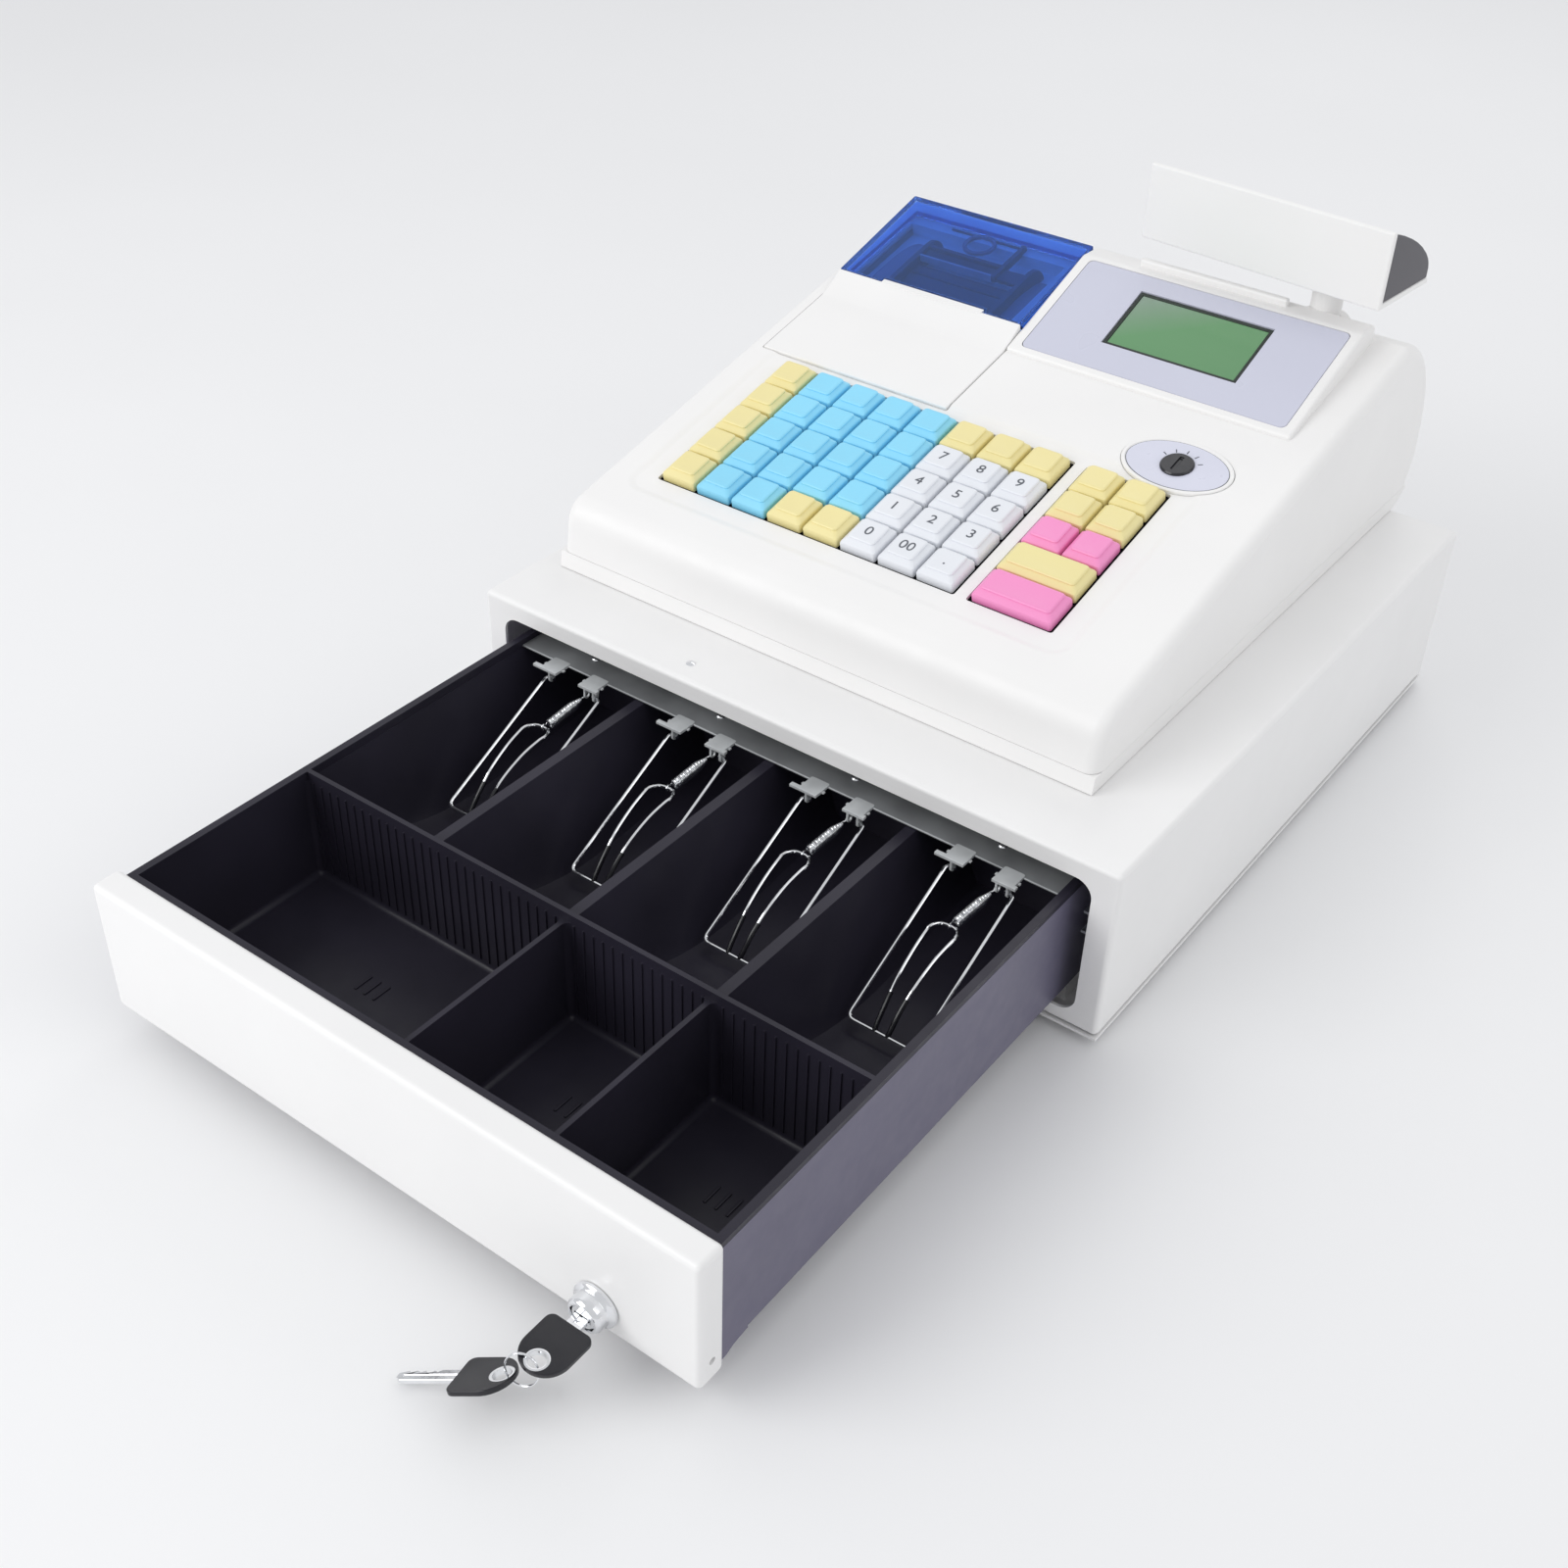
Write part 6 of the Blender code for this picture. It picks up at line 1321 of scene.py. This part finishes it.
def mode_switch():
    spot = Vector(JOINTS["mode_switch_turn"]["pos_m"])
    centre = DECK.inverted() @ spot
    levels = [(0.0, -SWITCH_SUNK)] + [(shrink, SWITCH_TOP - drop) for shrink, drop in SWITCH_EDGE_STEPS]
    rings = []
    for shrink, height in levels:
        outline = disc(centre, SWITCH_HALF_WIDTH - shrink, 72, SWITCH_HALF_HEIGHT - shrink)
        rings.append([(x, s, height) for x, s in outline])
    hole = prism(disc(centre, ROTOR_SHAFT + GAP), -OVERRUN, OVERRUN, axis=2)
    rim = shaped(loft(rings), cuts=[hole])
    inner = disc(centre, SWITCH_HALF_WIDTH - SWITCH_RIM - GAP, 72, SWITCH_HALF_HEIGHT - SWITCH_RIM - GAP)
    field = prism(inner, -SWITCH_SUNK / 2, SWITCH_TOP - SWITCH_FIELD_DROP, axis=2)
    field = shaped(field, cuts=[hole.copy()])
    line = disc(centre, SWITCH_HALF_WIDTH - SWITCH_RIM, 72, SWITCH_HALF_HEIGHT - SWITCH_RIM)
    outline = prism(line, -SWITCH_SUNK / 2, SWITCH_TOP - SWITCH_LINE_DROP, axis=2)
    outline = shaped(outline, cuts=[hole.copy()])
    parts = [(rim, 0), (outline, 2), (field, 1)]
    parts += [(mark, 2) for mark in switch_marks(centre)]
    plate = moved(merged(parts), DECK)
    finishes = [WHITE_PLASTIC, SWITCH_LILAC, INK]
    piece("switch_plate", plate, "cabinet", ["switch_escutcheon"], finishes)
    knob = lathe([
        (AXIS, -ROTOR_DEPTH), (ROTOR_SHAFT, -ROTOR_DEPTH), (ROTOR_SHAFT, 0.0), (ROTOR_RADIUS, 0.0),
        (ROTOR_RADIUS, ROTOR_PROUD - EDGE_MEDIUM), (ROTOR_RADIUS - EDGE_MEDIUM, ROTOR_PROUD),
        (AXIS, ROTOR_PROUD),
    ], at(centre), 48)
    wide, long = ROTOR_SLOT_WIDTH / 2, ROTOR_SLOT_LENGTH / 2
    slot_low = (centre.x - wide, centre.y - long, centre.z + ROTOR_PROUD - ROTOR_SLOT_DEPTH)
    slot = block(slot_low, (centre.x + wide, centre.y + long, centre.z + OVERRUN), EDGE_MEDIUM)
    knob = moved(shaped(knob, cuts=[slot]), DECK)
    piece("mode_switch_knob", knob, "mode_rotor", ["mode_switch"], [BLACK_PLASTIC])


def switch_marks(centre):
    """Plain ticks for the positions of the switch."""
    marks = []
    for angle in SWITCH_STOPS:
        turn = Matrix.Rotation(radians(-angle), 4, "Z")
        low = (-MARK_WIDTH / 2, ROTOR_RADIUS + MARK_LENGTH * 0.6, 0.0)
        high = (MARK_WIDTH / 2, ROTOR_RADIUS + MARK_LENGTH * 1.6, MARK_THICK)
        place = at((centre.x, centre.y, SWITCH_TOP - SWITCH_FIELD_DROP)) @ turn
        marks.append(moved(box(low, high), place))
    return marks


# Keyboard

def key_place(column, row):
    """The centre of a key on the deck. Columns 8 and 9 are the block on the right."""
    x = -KEY_LEFT + column * KEY_PITCH
    if column >= KEY_COLUMNS:
        x = -KEY_LEFT + KEY_BLOCK_STEP + (column - KEY_COLUMNS) * KEY_PITCH
    return x, KEY_BACK_ROW - row * KEY_ROW_PITCH


def cap(column, row, extra=0.0):
    """A key cap with soft edges, round corners and a slightly dished top."""
    x, s = key_place(column, row)
    x += extra / 2
    base, top = KEY_BASE / 2 - GAP, KEY_TOP / 2
    levels = [(base, KEY_BOTTOM, 0.0, KEY_CORNER * 0.6), (base, KEY_SKIRT * 0.6, 0.0, KEY_CORNER * 0.6)]
    levels.append((base - KEY_EDGE, KEY_SKIRT, 0.0, KEY_CORNER * 0.7))
    for i in range(1, 5):
        t = i / 4
        half = base - KEY_EDGE + (top + KEY_TOP_EDGE - base) * t
        height = KEY_SKIRT + (KEY_PROUD - KEY_TOP_DROP - KEY_SKIRT) * t
        levels.append((half, height, KEY_TOP_SHIFT * t, KEY_CORNER))
    for angle in (30, 60, 90):
        turn = radians(angle)
        half = top - KEY_TOP_ROUND * (1 - cos(turn))
        height = KEY_PROUD - KEY_TOP_DROP * (1 - sin(turn))
        levels.append((half, height, KEY_TOP_SHIFT, KEY_CORNER))
    for share in (0.8, 0.55, 0.3, 0.05):
        level = KEY_PROUD - KEY_DISH * (1 - share * share)
        levels.append(((top - KEY_TOP_ROUND) * share, level, KEY_TOP_SHIFT, KEY_CORNER * share))
    rings = []
    for half, height, shift, corner in levels:
        wide = half + extra / 2
        outline = rounded((x - wide, s - half + shift), (x + wide, s + half + shift), corner, 4)
        rings.append([(a, b, height) for a, b in outline])
    return loft(rings)


def digit(text, column, row):
    """A plain printed number on a cap."""
    x, s = key_place(column, row)
    data = bpy.data.curves.new("digit", "FONT")
    data.body = text
    data.size = DIGIT_SIZE
    data.align_x = "CENTER"
    data.align_y = "CENTER"
    data.extrude = DIGIT_THICK
    place = at((x, s + KEY_TOP_SHIFT, KEY_PROUD - KEY_DISH + DIGIT_THICK / 4))
    return moved(flattened("digit", data), place)


NUMBER_KEYS = {
    "7": (5, 1), "8": (6, 1), "9": (7, 1), "4": (5, 2), "5": (6, 2), "6": (7, 2),
    "1": (5, 3), "2": (6, 3), "3": (7, 3), "0": (5, 4), "00": (6, 4), "point": (7, 4),
}
BLUE_PLACES = [(column, row) for column in range(1, 5) for row in range(4)] + [(1, 4), (2, 4)]
KEY_GROUPS = {
    "blue_keys": (BLUE_PLACES, KEY_BLUE),
    "yellow_keys_left": ([(0, row) for row in range(5)], KEY_YELLOW),
    "yellow_keys_top": ([(5, 0), (6, 0), (7, 0)], KEY_YELLOW),
    "yellow_keys_front": ([(3, 4), (4, 4)], KEY_YELLOW),
    "yellow_keys_right": ([(8, 0), (9, 0), (8, 1), (9, 1)], KEY_YELLOW),
}
SINGLE_KEYS = {
    "key_clear": ((8, 2), 0.0, KEY_PINK),
    "key_change": ((9, 2), 0.0, KEY_PINK),
    "key_subtotal": ((8, 3), KEY_PITCH, KEY_YELLOW),
    "key_total": ((8, 4), KEY_PITCH, KEY_PINK),
}


def stem(column, row, extra=0.0):
    x, s = key_place(column, row)
    x += extra / 2
    half = KEY_STEM / 2
    return box((x - half, s - half, KEY_BOTTOM - OVERRUN * 1.4), (x + half, s + half, KEY_BOTTOM + GAP))


def keyboard():
    for text, place in NUMBER_KEYS.items():
        parts = [(cap(*place), 0), (stem(*place), 0), (digit("." if text == "point" else text, *place), 1)]
        mesh = moved(merged(parts), DECK)
        piece(f"cap_{text}", mesh, f"key_{text}_body", [f"key_{text}"], [KEY_WHITE, INK])
    for node, (place, extra, finish) in SINGLE_KEYS.items():
        mesh = moved(merged([(cap(*place, extra), 0), (stem(*place, extra), 0)]), DECK)
        piece(node.replace("key", "cap"), mesh, f"{node}_body", [node], [finish])
    for node, (places, finish) in KEY_GROUPS.items():
        mesh = moved(merged([(cap(*place), 0) for place in places]), DECK)
        piece(node.replace("keys", "caps"), mesh, "cabinet", [node], [finish])


# Printer

def printer():
    exit_left = -WELL_LEFT + EXIT_LEFT
    printer_panel(exit_left + WELL_CLEAR, exit_left + EXIT_WIDTH - WELL_CLEAR)
    printer_cover(exit_left, exit_left + EXIT_WIDTH)
    finishes = [MECHANISM_DARK_AND_PAINTED_SHADE, TIN, MECHANISM_GREY]
    mesh = printer_mechanism()
    piece("printer_mechanism", mesh, "cabinet", ["printer_body"], finishes)


def printer_panel(lip_left, lip_right):
    """The white panel, which bends up to the cover's front edge and has a lip in the cover's notch."""
    left, right = -WELL_LEFT + WELL_CLEAR, WELL_RIGHT - WELL_CLEAR
    start = WELL_START + WELL_CLEAR
    ramp = []
    for i in range(13):
        t = i / 12
        height = PANEL_PROUD + (COVER_FRONT_HEIGHT - PANEL_PROUD) * t ** PANEL_BEND
        ramp.append((PANEL_END - PANEL_RAMP * (1 - t), height))
    outline = [(start, -PLASTIC), (PANEL_END, -PLASTIC)] + list(reversed(ramp)) + [(start, PANEL_PROUD)]
    panel = shaped(prism(outline, left, right), fold=EDGE_MEDIUM, angle=45.0)
    lip_low = (lip_left, PANEL_END - SHEET, COVER_FRONT_HEIGHT - COVER_THICK)
    lip_high = (lip_right, PANEL_END + EXIT_DEPTH - WELL_CLEAR, COVER_FRONT_HEIGHT)
    lip = block(lip_low, lip_high, EDGE_FINE, 2)
    mesh = moved(merged([(panel, 0), (lip, 0)]), DECK)
    nodes = ["printer_front_panel"]
    piece("printer_panel_moulded", mesh, "cabinet", nodes, [WHITE_PLASTIC])


def printer_cover(notch_left, notch_right):
    """The tinted shell, open below and in front, that rises to its hinged rear edge."""
    left, right = -WELL_LEFT + WELL_CLEAR, WELL_RIGHT - WELL_CLEAR
    end = COVER_END - WELL_CLEAR
    outline = [
        (COVER_START + COVER_CUT, -COVER_DROP), (end, -COVER_DROP), (end, COVER_BACK_HEIGHT),
        (COVER_START, COVER_FRONT_HEIGHT), (COVER_START, COVER_FRONT_HEIGHT - COVER_THICK / 2),
    ]
    slope = (COVER_BACK_HEIGHT - COVER_FRONT_HEIGHT) / (end - COVER_START)
    front, back = COVER_START - OVERRUN, end - COVER_THICK
    under_front = COVER_FRONT_HEIGHT - COVER_THICK - OVERRUN * slope
    under_back = COVER_BACK_HEIGHT - COVER_THICK - COVER_THICK * slope
    below = -COVER_DROP - OVERRUN
    hollow = prism([(front, below), (back, below), (back, under_back), (front, under_front)],
                   left + COVER_THICK, right - COVER_THICK)
    notch_high = (notch_right, COVER_START + EXIT_DEPTH, COVER_BACK_HEIGHT + OVERRUN)
    cuts = [hollow, box((notch_left, front, 0.0), notch_high)]
    cover = shaped(prism(outline, left, right), cuts=cuts, fold=COVER_ROUND, angle=50.0)
    piece("printer_cover_tinted", moved(cover, DECK), "cover", ["printer_cover"], [COVER_BLUE])


def printer_mechanism():
    """The print block, the side covers, the cheeks that hold the roll and are dark to paint the shade on the
    well's side walls, and the paper guide above it.
    """
    wide = PRINTER_WIDTH / 2
    top = -PRINTER_TOP_DEPTH
    front = WELL_START + PRINTER_TOP_DEPTH
    body = box((ROLL_X - wide, front, top - PRINTER_HEIGHT), (ROLL_X + wide, front + PRINTER_LENGTH, top))
    parts = [(shaped(body, fold=EDGE_COARSE, segments=2), 0)]
    inner = ROLL_WIDTH / 2 + 2 * GAP
    floor = top - PRINTER_HEIGHT
    low = front + OVERRUN
    for side in (-1, 1):
        # Each cheek holds the roll's stub. Its dark finish and arched top also paint the shade on the well's
        # side wall.
        ends = sorted((ROLL_X + side * inner, ROLL_X + side * (inner + CHEEK_THICK)))
        outline = [(low, floor), (ROLL_UP + ROLL_CORE, floor), (CHEEK_BACK, top)]
        outline += arc((CHEEK_BACK - CHEEK_ROUND, -CHEEK_ROUND), (CHEEK_ROUND, CHEEK_ROUND), 0, 90, 10)
        outline += [(CHEEK_FRONT, 0.0), (CHEEK_FRONT - CHEEK_ROUND, top), (low, top)]
        parts.append((shaped(prism(outline, *ends), fold=CHEEK_EDGE, segments=1), 0))
        stub = disc((ROLL_UP, -ROLL_DEPTH), SPINDLE_RADIUS, 32)
        stub_ends = sorted((ROLL_X + side * (inner - OVERRUN), ROLL_X + side * (inner + CHEEK_THICK / 2)))
        parts.append((prism(stub, *stub_ends), 0))
        outer = ROLL_X + side * (inner + CHEEK_THICK + GUARD_WIDTH)
        ends = sorted((ROLL_X + side * (inner + CHEEK_THICK / 2), outer))
        rise = GUARD_TOP if side < 0 else 2 * GUARD_TOP
        guard = [(low, floor), (GUARD_BACK, floor), (GUARD_BACK, top)]
        guard += arc((GUARD_BACK - GUARD_ROUND, top), (GUARD_ROUND, rise - top), 0, 90, 14)
        guard += [(COVER_START, rise), (COVER_START - GUARD_ROUND / 2, top), (low, top)]
        parts.append((shaped(prism(guard, *ends), fold=EDGE_MEDIUM, segments=2), 2))
    return moved(merged(parts + paper_guide(inner)), DECK)


def paper_guide(inner):
    """The guide over the roll: a bright tear bar, a dark bar behind it, a side arm and a finger ring."""
    left, right = ROLL_X - inner, ROLL_X + inner
    stop = right - GUIDE_INSET
    low, middle = -GUIDE_THICK, -GUIDE_THICK / 2
    rib_start = GUIDE_START + GUIDE_WIDTH - 2 * SHEET
    bars = (
        ((left, GUIDE_START, low), (stop, GUIDE_START + SHEET, 0.0), 1),
        ((left, GUIDE_START + SHEET, low), (right, GUIDE_START + GUIDE_WIDTH, middle), 0),
        ((left, rib_start, low), (stop, rib_start + 2 * SHEET, 0.0), 0),
        ((stop, GUIDE_START, low), (stop + 2 * SHEET, GUIDE_BACK, 0.0), 0),
        ((left, GUIDE_BACK - SHEET, low), (stop, GUIDE_BACK, middle), 0),
    )
    parts = [(block(start, end, EDGE_FINE, 2), finish) for start, end, finish in bars]
    cuts = []
    for share in (0.35, 0.7):
        groove = CHEEK_FRONT + (GUIDE_START - CHEEK_FRONT) * share
        groove_low = (left - GAP, groove, PATH_TOP - PATH_GROOVE)
        cuts.append(box(groove_low, (right + GAP, groove + PATH_GROOVE, 0.0)))
    chute = box((left, COVER_START + SHEET, PATH_TOP - GUIDE_THICK), (right, GUIDE_START - SHEET, PATH_TOP))
    parts.append((shaped(chute, cuts=cuts, fold=EDGE_FINE, segments=2), 0))
    spot = at((ROLL_X - GUIDE_INSET / 2, GUIDE_BACK - GUIDE_RING, middle))
    ring = [(GUIDE_RING + x, z) for x, z in disc((0.0, 0.0), SHEET, 12)]
    parts.append((lathe(ring, spot, 40), 2))
    return parts


def paper_roll():
    centre = JOINTS["paper_roll_spin"]["pos_m"]
    across = at(centre) @ Matrix.Rotation(radians(90), 4, "Y")
    half = ROLL_WIDTH / 2
    profile = [
        (ROLL_CORE, -half), (ROLL_RADIUS - ROLL_BEVEL, -half), (ROLL_RADIUS, -half + ROLL_BEVEL),
        (ROLL_RADIUS, half - ROLL_BEVEL), (ROLL_RADIUS - ROLL_BEVEL, half), (ROLL_CORE, half),
    ]
    piece("paper_roll_wound", lathe(profile, across, 64), "roll", ["paper_roll"], [PAPER])


# Rear

def rear():
    low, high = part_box("power_inlet")
    facing = at(((low.x + high.x) / 2, low.y, (low.z + high.z) / 2))
    facing = facing @ Matrix.Rotation(radians(-90), 4, "X")
    depth = high.y - low.y
    barrel = lathe([
        (AXIS, 0.0), (INLET_RADIUS, 0.0), (INLET_RADIUS, depth - INLET_BEVEL),
        (INLET_RADIUS - INLET_BEVEL, depth), (INLET_BORE + INLET_BEVEL, depth),
        (INLET_BORE, depth - INLET_BEVEL), (INLET_BORE, PLASTIC), (AXIS, PLASTIC),
    ], facing, 40)
    pin = lathe([
        (AXIS, PLASTIC), (PIN_RADIUS, PLASTIC), (PIN_RADIUS, depth - PIN_SUNK - EDGE_MEDIUM),
        (PIN_TIP_RADIUS, depth - PIN_SUNK), (AXIS, depth - PIN_SUNK),
    ], facing, 20)
    mesh = merged([(barrel, 0), (pin, 1)])
    piece("power_socket", mesh, "cabinet", ["power_inlet"], [BLACK_PLASTIC, CHROME])
    low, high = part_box("display_post")
    stand = at(((low.x + high.x) / 2, (low.y + high.y) / 2, low.z))
    tall = high.z - low.z
    profile = [(AXIS, 0.0), (POST_RADIUS, 0.0)]
    profile += [(POST_RADIUS - narrow, tall - drop) for narrow, drop in POST_STEPS]
    column = lathe(profile + [(AXIS, tall)], stand, 48)
    piece("display_column", column, "customer_display", ["display_post"], [WHITE_PLASTIC])


def customer_display():
    """The white case and the tinted lens, which stand turned a little about the post."""
    low, high = (corner.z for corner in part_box("customer_display_housing"))
    post = Vector(JOINTS["customer_display_swivel"]["pos_m"])
    left = post.x - DISPLAY_LEFT
    right = left + DISPLAY_WIDTH
    front = post.y - DISPLAY_FRONT
    back = front + DISPLAY_DEPTH
    turned = at(post) @ Matrix.Rotation(DISPLAY_TURN, 4, "Z") @ at(-post)
    outline = [
        (front, low), (back, low), (back, low + DISPLAY_WALL), (front + DISPLAY_WALL, low + DISPLAY_WALL),
        (front + DISPLAY_WALL, high - DISPLAY_EDGE), (front + DISPLAY_WALL, high), (front, high),
    ]
    case = moved(shaped(prism(outline, left, right), fold=DISPLAY_ROUND, segments=4), turned)
    body, nodes = "customer_display", ["customer_display_housing"]
    piece("customer_display_case", case, body, nodes, [WHITE_PLASTIC])
    back -= DISPLAY_WALL / 2
    foot = low + DISPLAY_WALL + GAP
    front += DISPLAY_WALL + GAP
    left += GAP
    right -= GAP
    rise, reach = high - LENS_DROP - foot, back - front
    outline = [(front, foot), (back, foot)]
    outline += [(front + reach * along, foot + rise * up) for along, up in LENS_PROFILE_SHARES]
    outline += [(front, foot + rise)]
    hollow = inset(outline, LENS_WALL)
    hollow[0] = (hollow[0][0], foot - OVERRUN)
    hollow[1] = (hollow[1][0], foot - OVERRUN)
    inner = prism(hollow, left + LENS_WALL, right - LENS_WALL)
    lens = shaped(prism(outline, left, right), cuts=[inner], fold=EDGE_FINE, segments=2, angle=60.0)
    nodes = ["customer_display_lens"]
    piece("customer_display_window", moved(lens, turned), body, nodes, [LENS_GREY])


def plain_nodes():
    """CAD nodes whose shape is kept, with their finishes."""
    finishes = {
        "casing_floor": WHITE_ENAMEL, "front_feet": RUBBER, "rear_feet": RUBBER, "runner_channel_left": ZINC,
        "runner_channel_right": ZINC, "drawer_latch": ZINC, "key_plate": PLATE_DARK,
    }
    for node, finish in finishes.items():
        for slot in frame["nodes"][node].material_slots:
            slot.material = finish


# Studio

def studio():
    floor_mesh = box((-FLOOR_HALF, -FLOOR_HALF, -FLOOR_THICK), (FLOOR_HALF, FLOOR_HALF, 0.0))
    floor = linked("studio_floor", floor_mesh)
    finish = surface("studio_floor", (0.86, 0.86, 0.865), 0.6, mottle=0.01, patch=2.0, relief=0.0)
    floor_mesh.materials.append(finish)
    world = bpy.data.worlds.new("studio_world")
    bpy.context.scene.world = world
    bpy.context.scene.view_settings.view_transform = "Standard"
    world.use_nodes = True
    background = world.node_tree.nodes["Background"]
    background.inputs["Color"].default_value = SKY_COLOUR
    background.inputs["Strength"].default_value = SKY_STRENGTH
    for light in LIGHTS:
        soft_light(*light)


def soft_light(name, place, size, power):
    data = bpy.data.lights.new(name, "AREA")
    data.shape = "SQUARE"
    data.size = size
    data.energy = power
    item = linked(name, data)
    item.location = place
    item.rotation_mode = "QUATERNION"
    item.rotation_quaternion = Vector([-value for value in place]).to_track_quat("-Z", "Y")


def camera():
    data = bpy.data.cameras.new("photo_camera")
    data.lens = CAMERA_LENS
    data.sensor_width = CAMERA_SENSOR
    data.clip_start, data.clip_end = CAMERA_RANGE
    item = linked("photo_camera", data)
    back = -Vector(CAMERA_LOOK).normalized()
    right = Vector(CAMERA_UP).cross(back).normalized()
    up = back.cross(right)
    turn = Matrix((right, up, back)).transposed().to_4x4()
    item.matrix_world = at(CAMERA_PLACE) @ turn
    bpy.context.scene.camera = item


def main():
    camera()
    studio()
    plain_nodes()
    casing()
    drawer_front()
    drawer_pan()
    cash_tray()
    clips = [JOINTS[f"clip_lift_{number}"]["pos_m"] for number in range(1, BILL_BAYS + 1)]
    clip_rail([spot[0] for spot in clips], clips[0][1], clips[0][2])
    for number in range(1, BILL_BAYS + 1):
        bill_clip(number)
    lock()
    keys()
    head_base()
    head_shell()
    display()
    mode_switch()
    keyboard()
    printer()
    paper_roll()
    rear()
    customer_display()
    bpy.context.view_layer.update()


main()
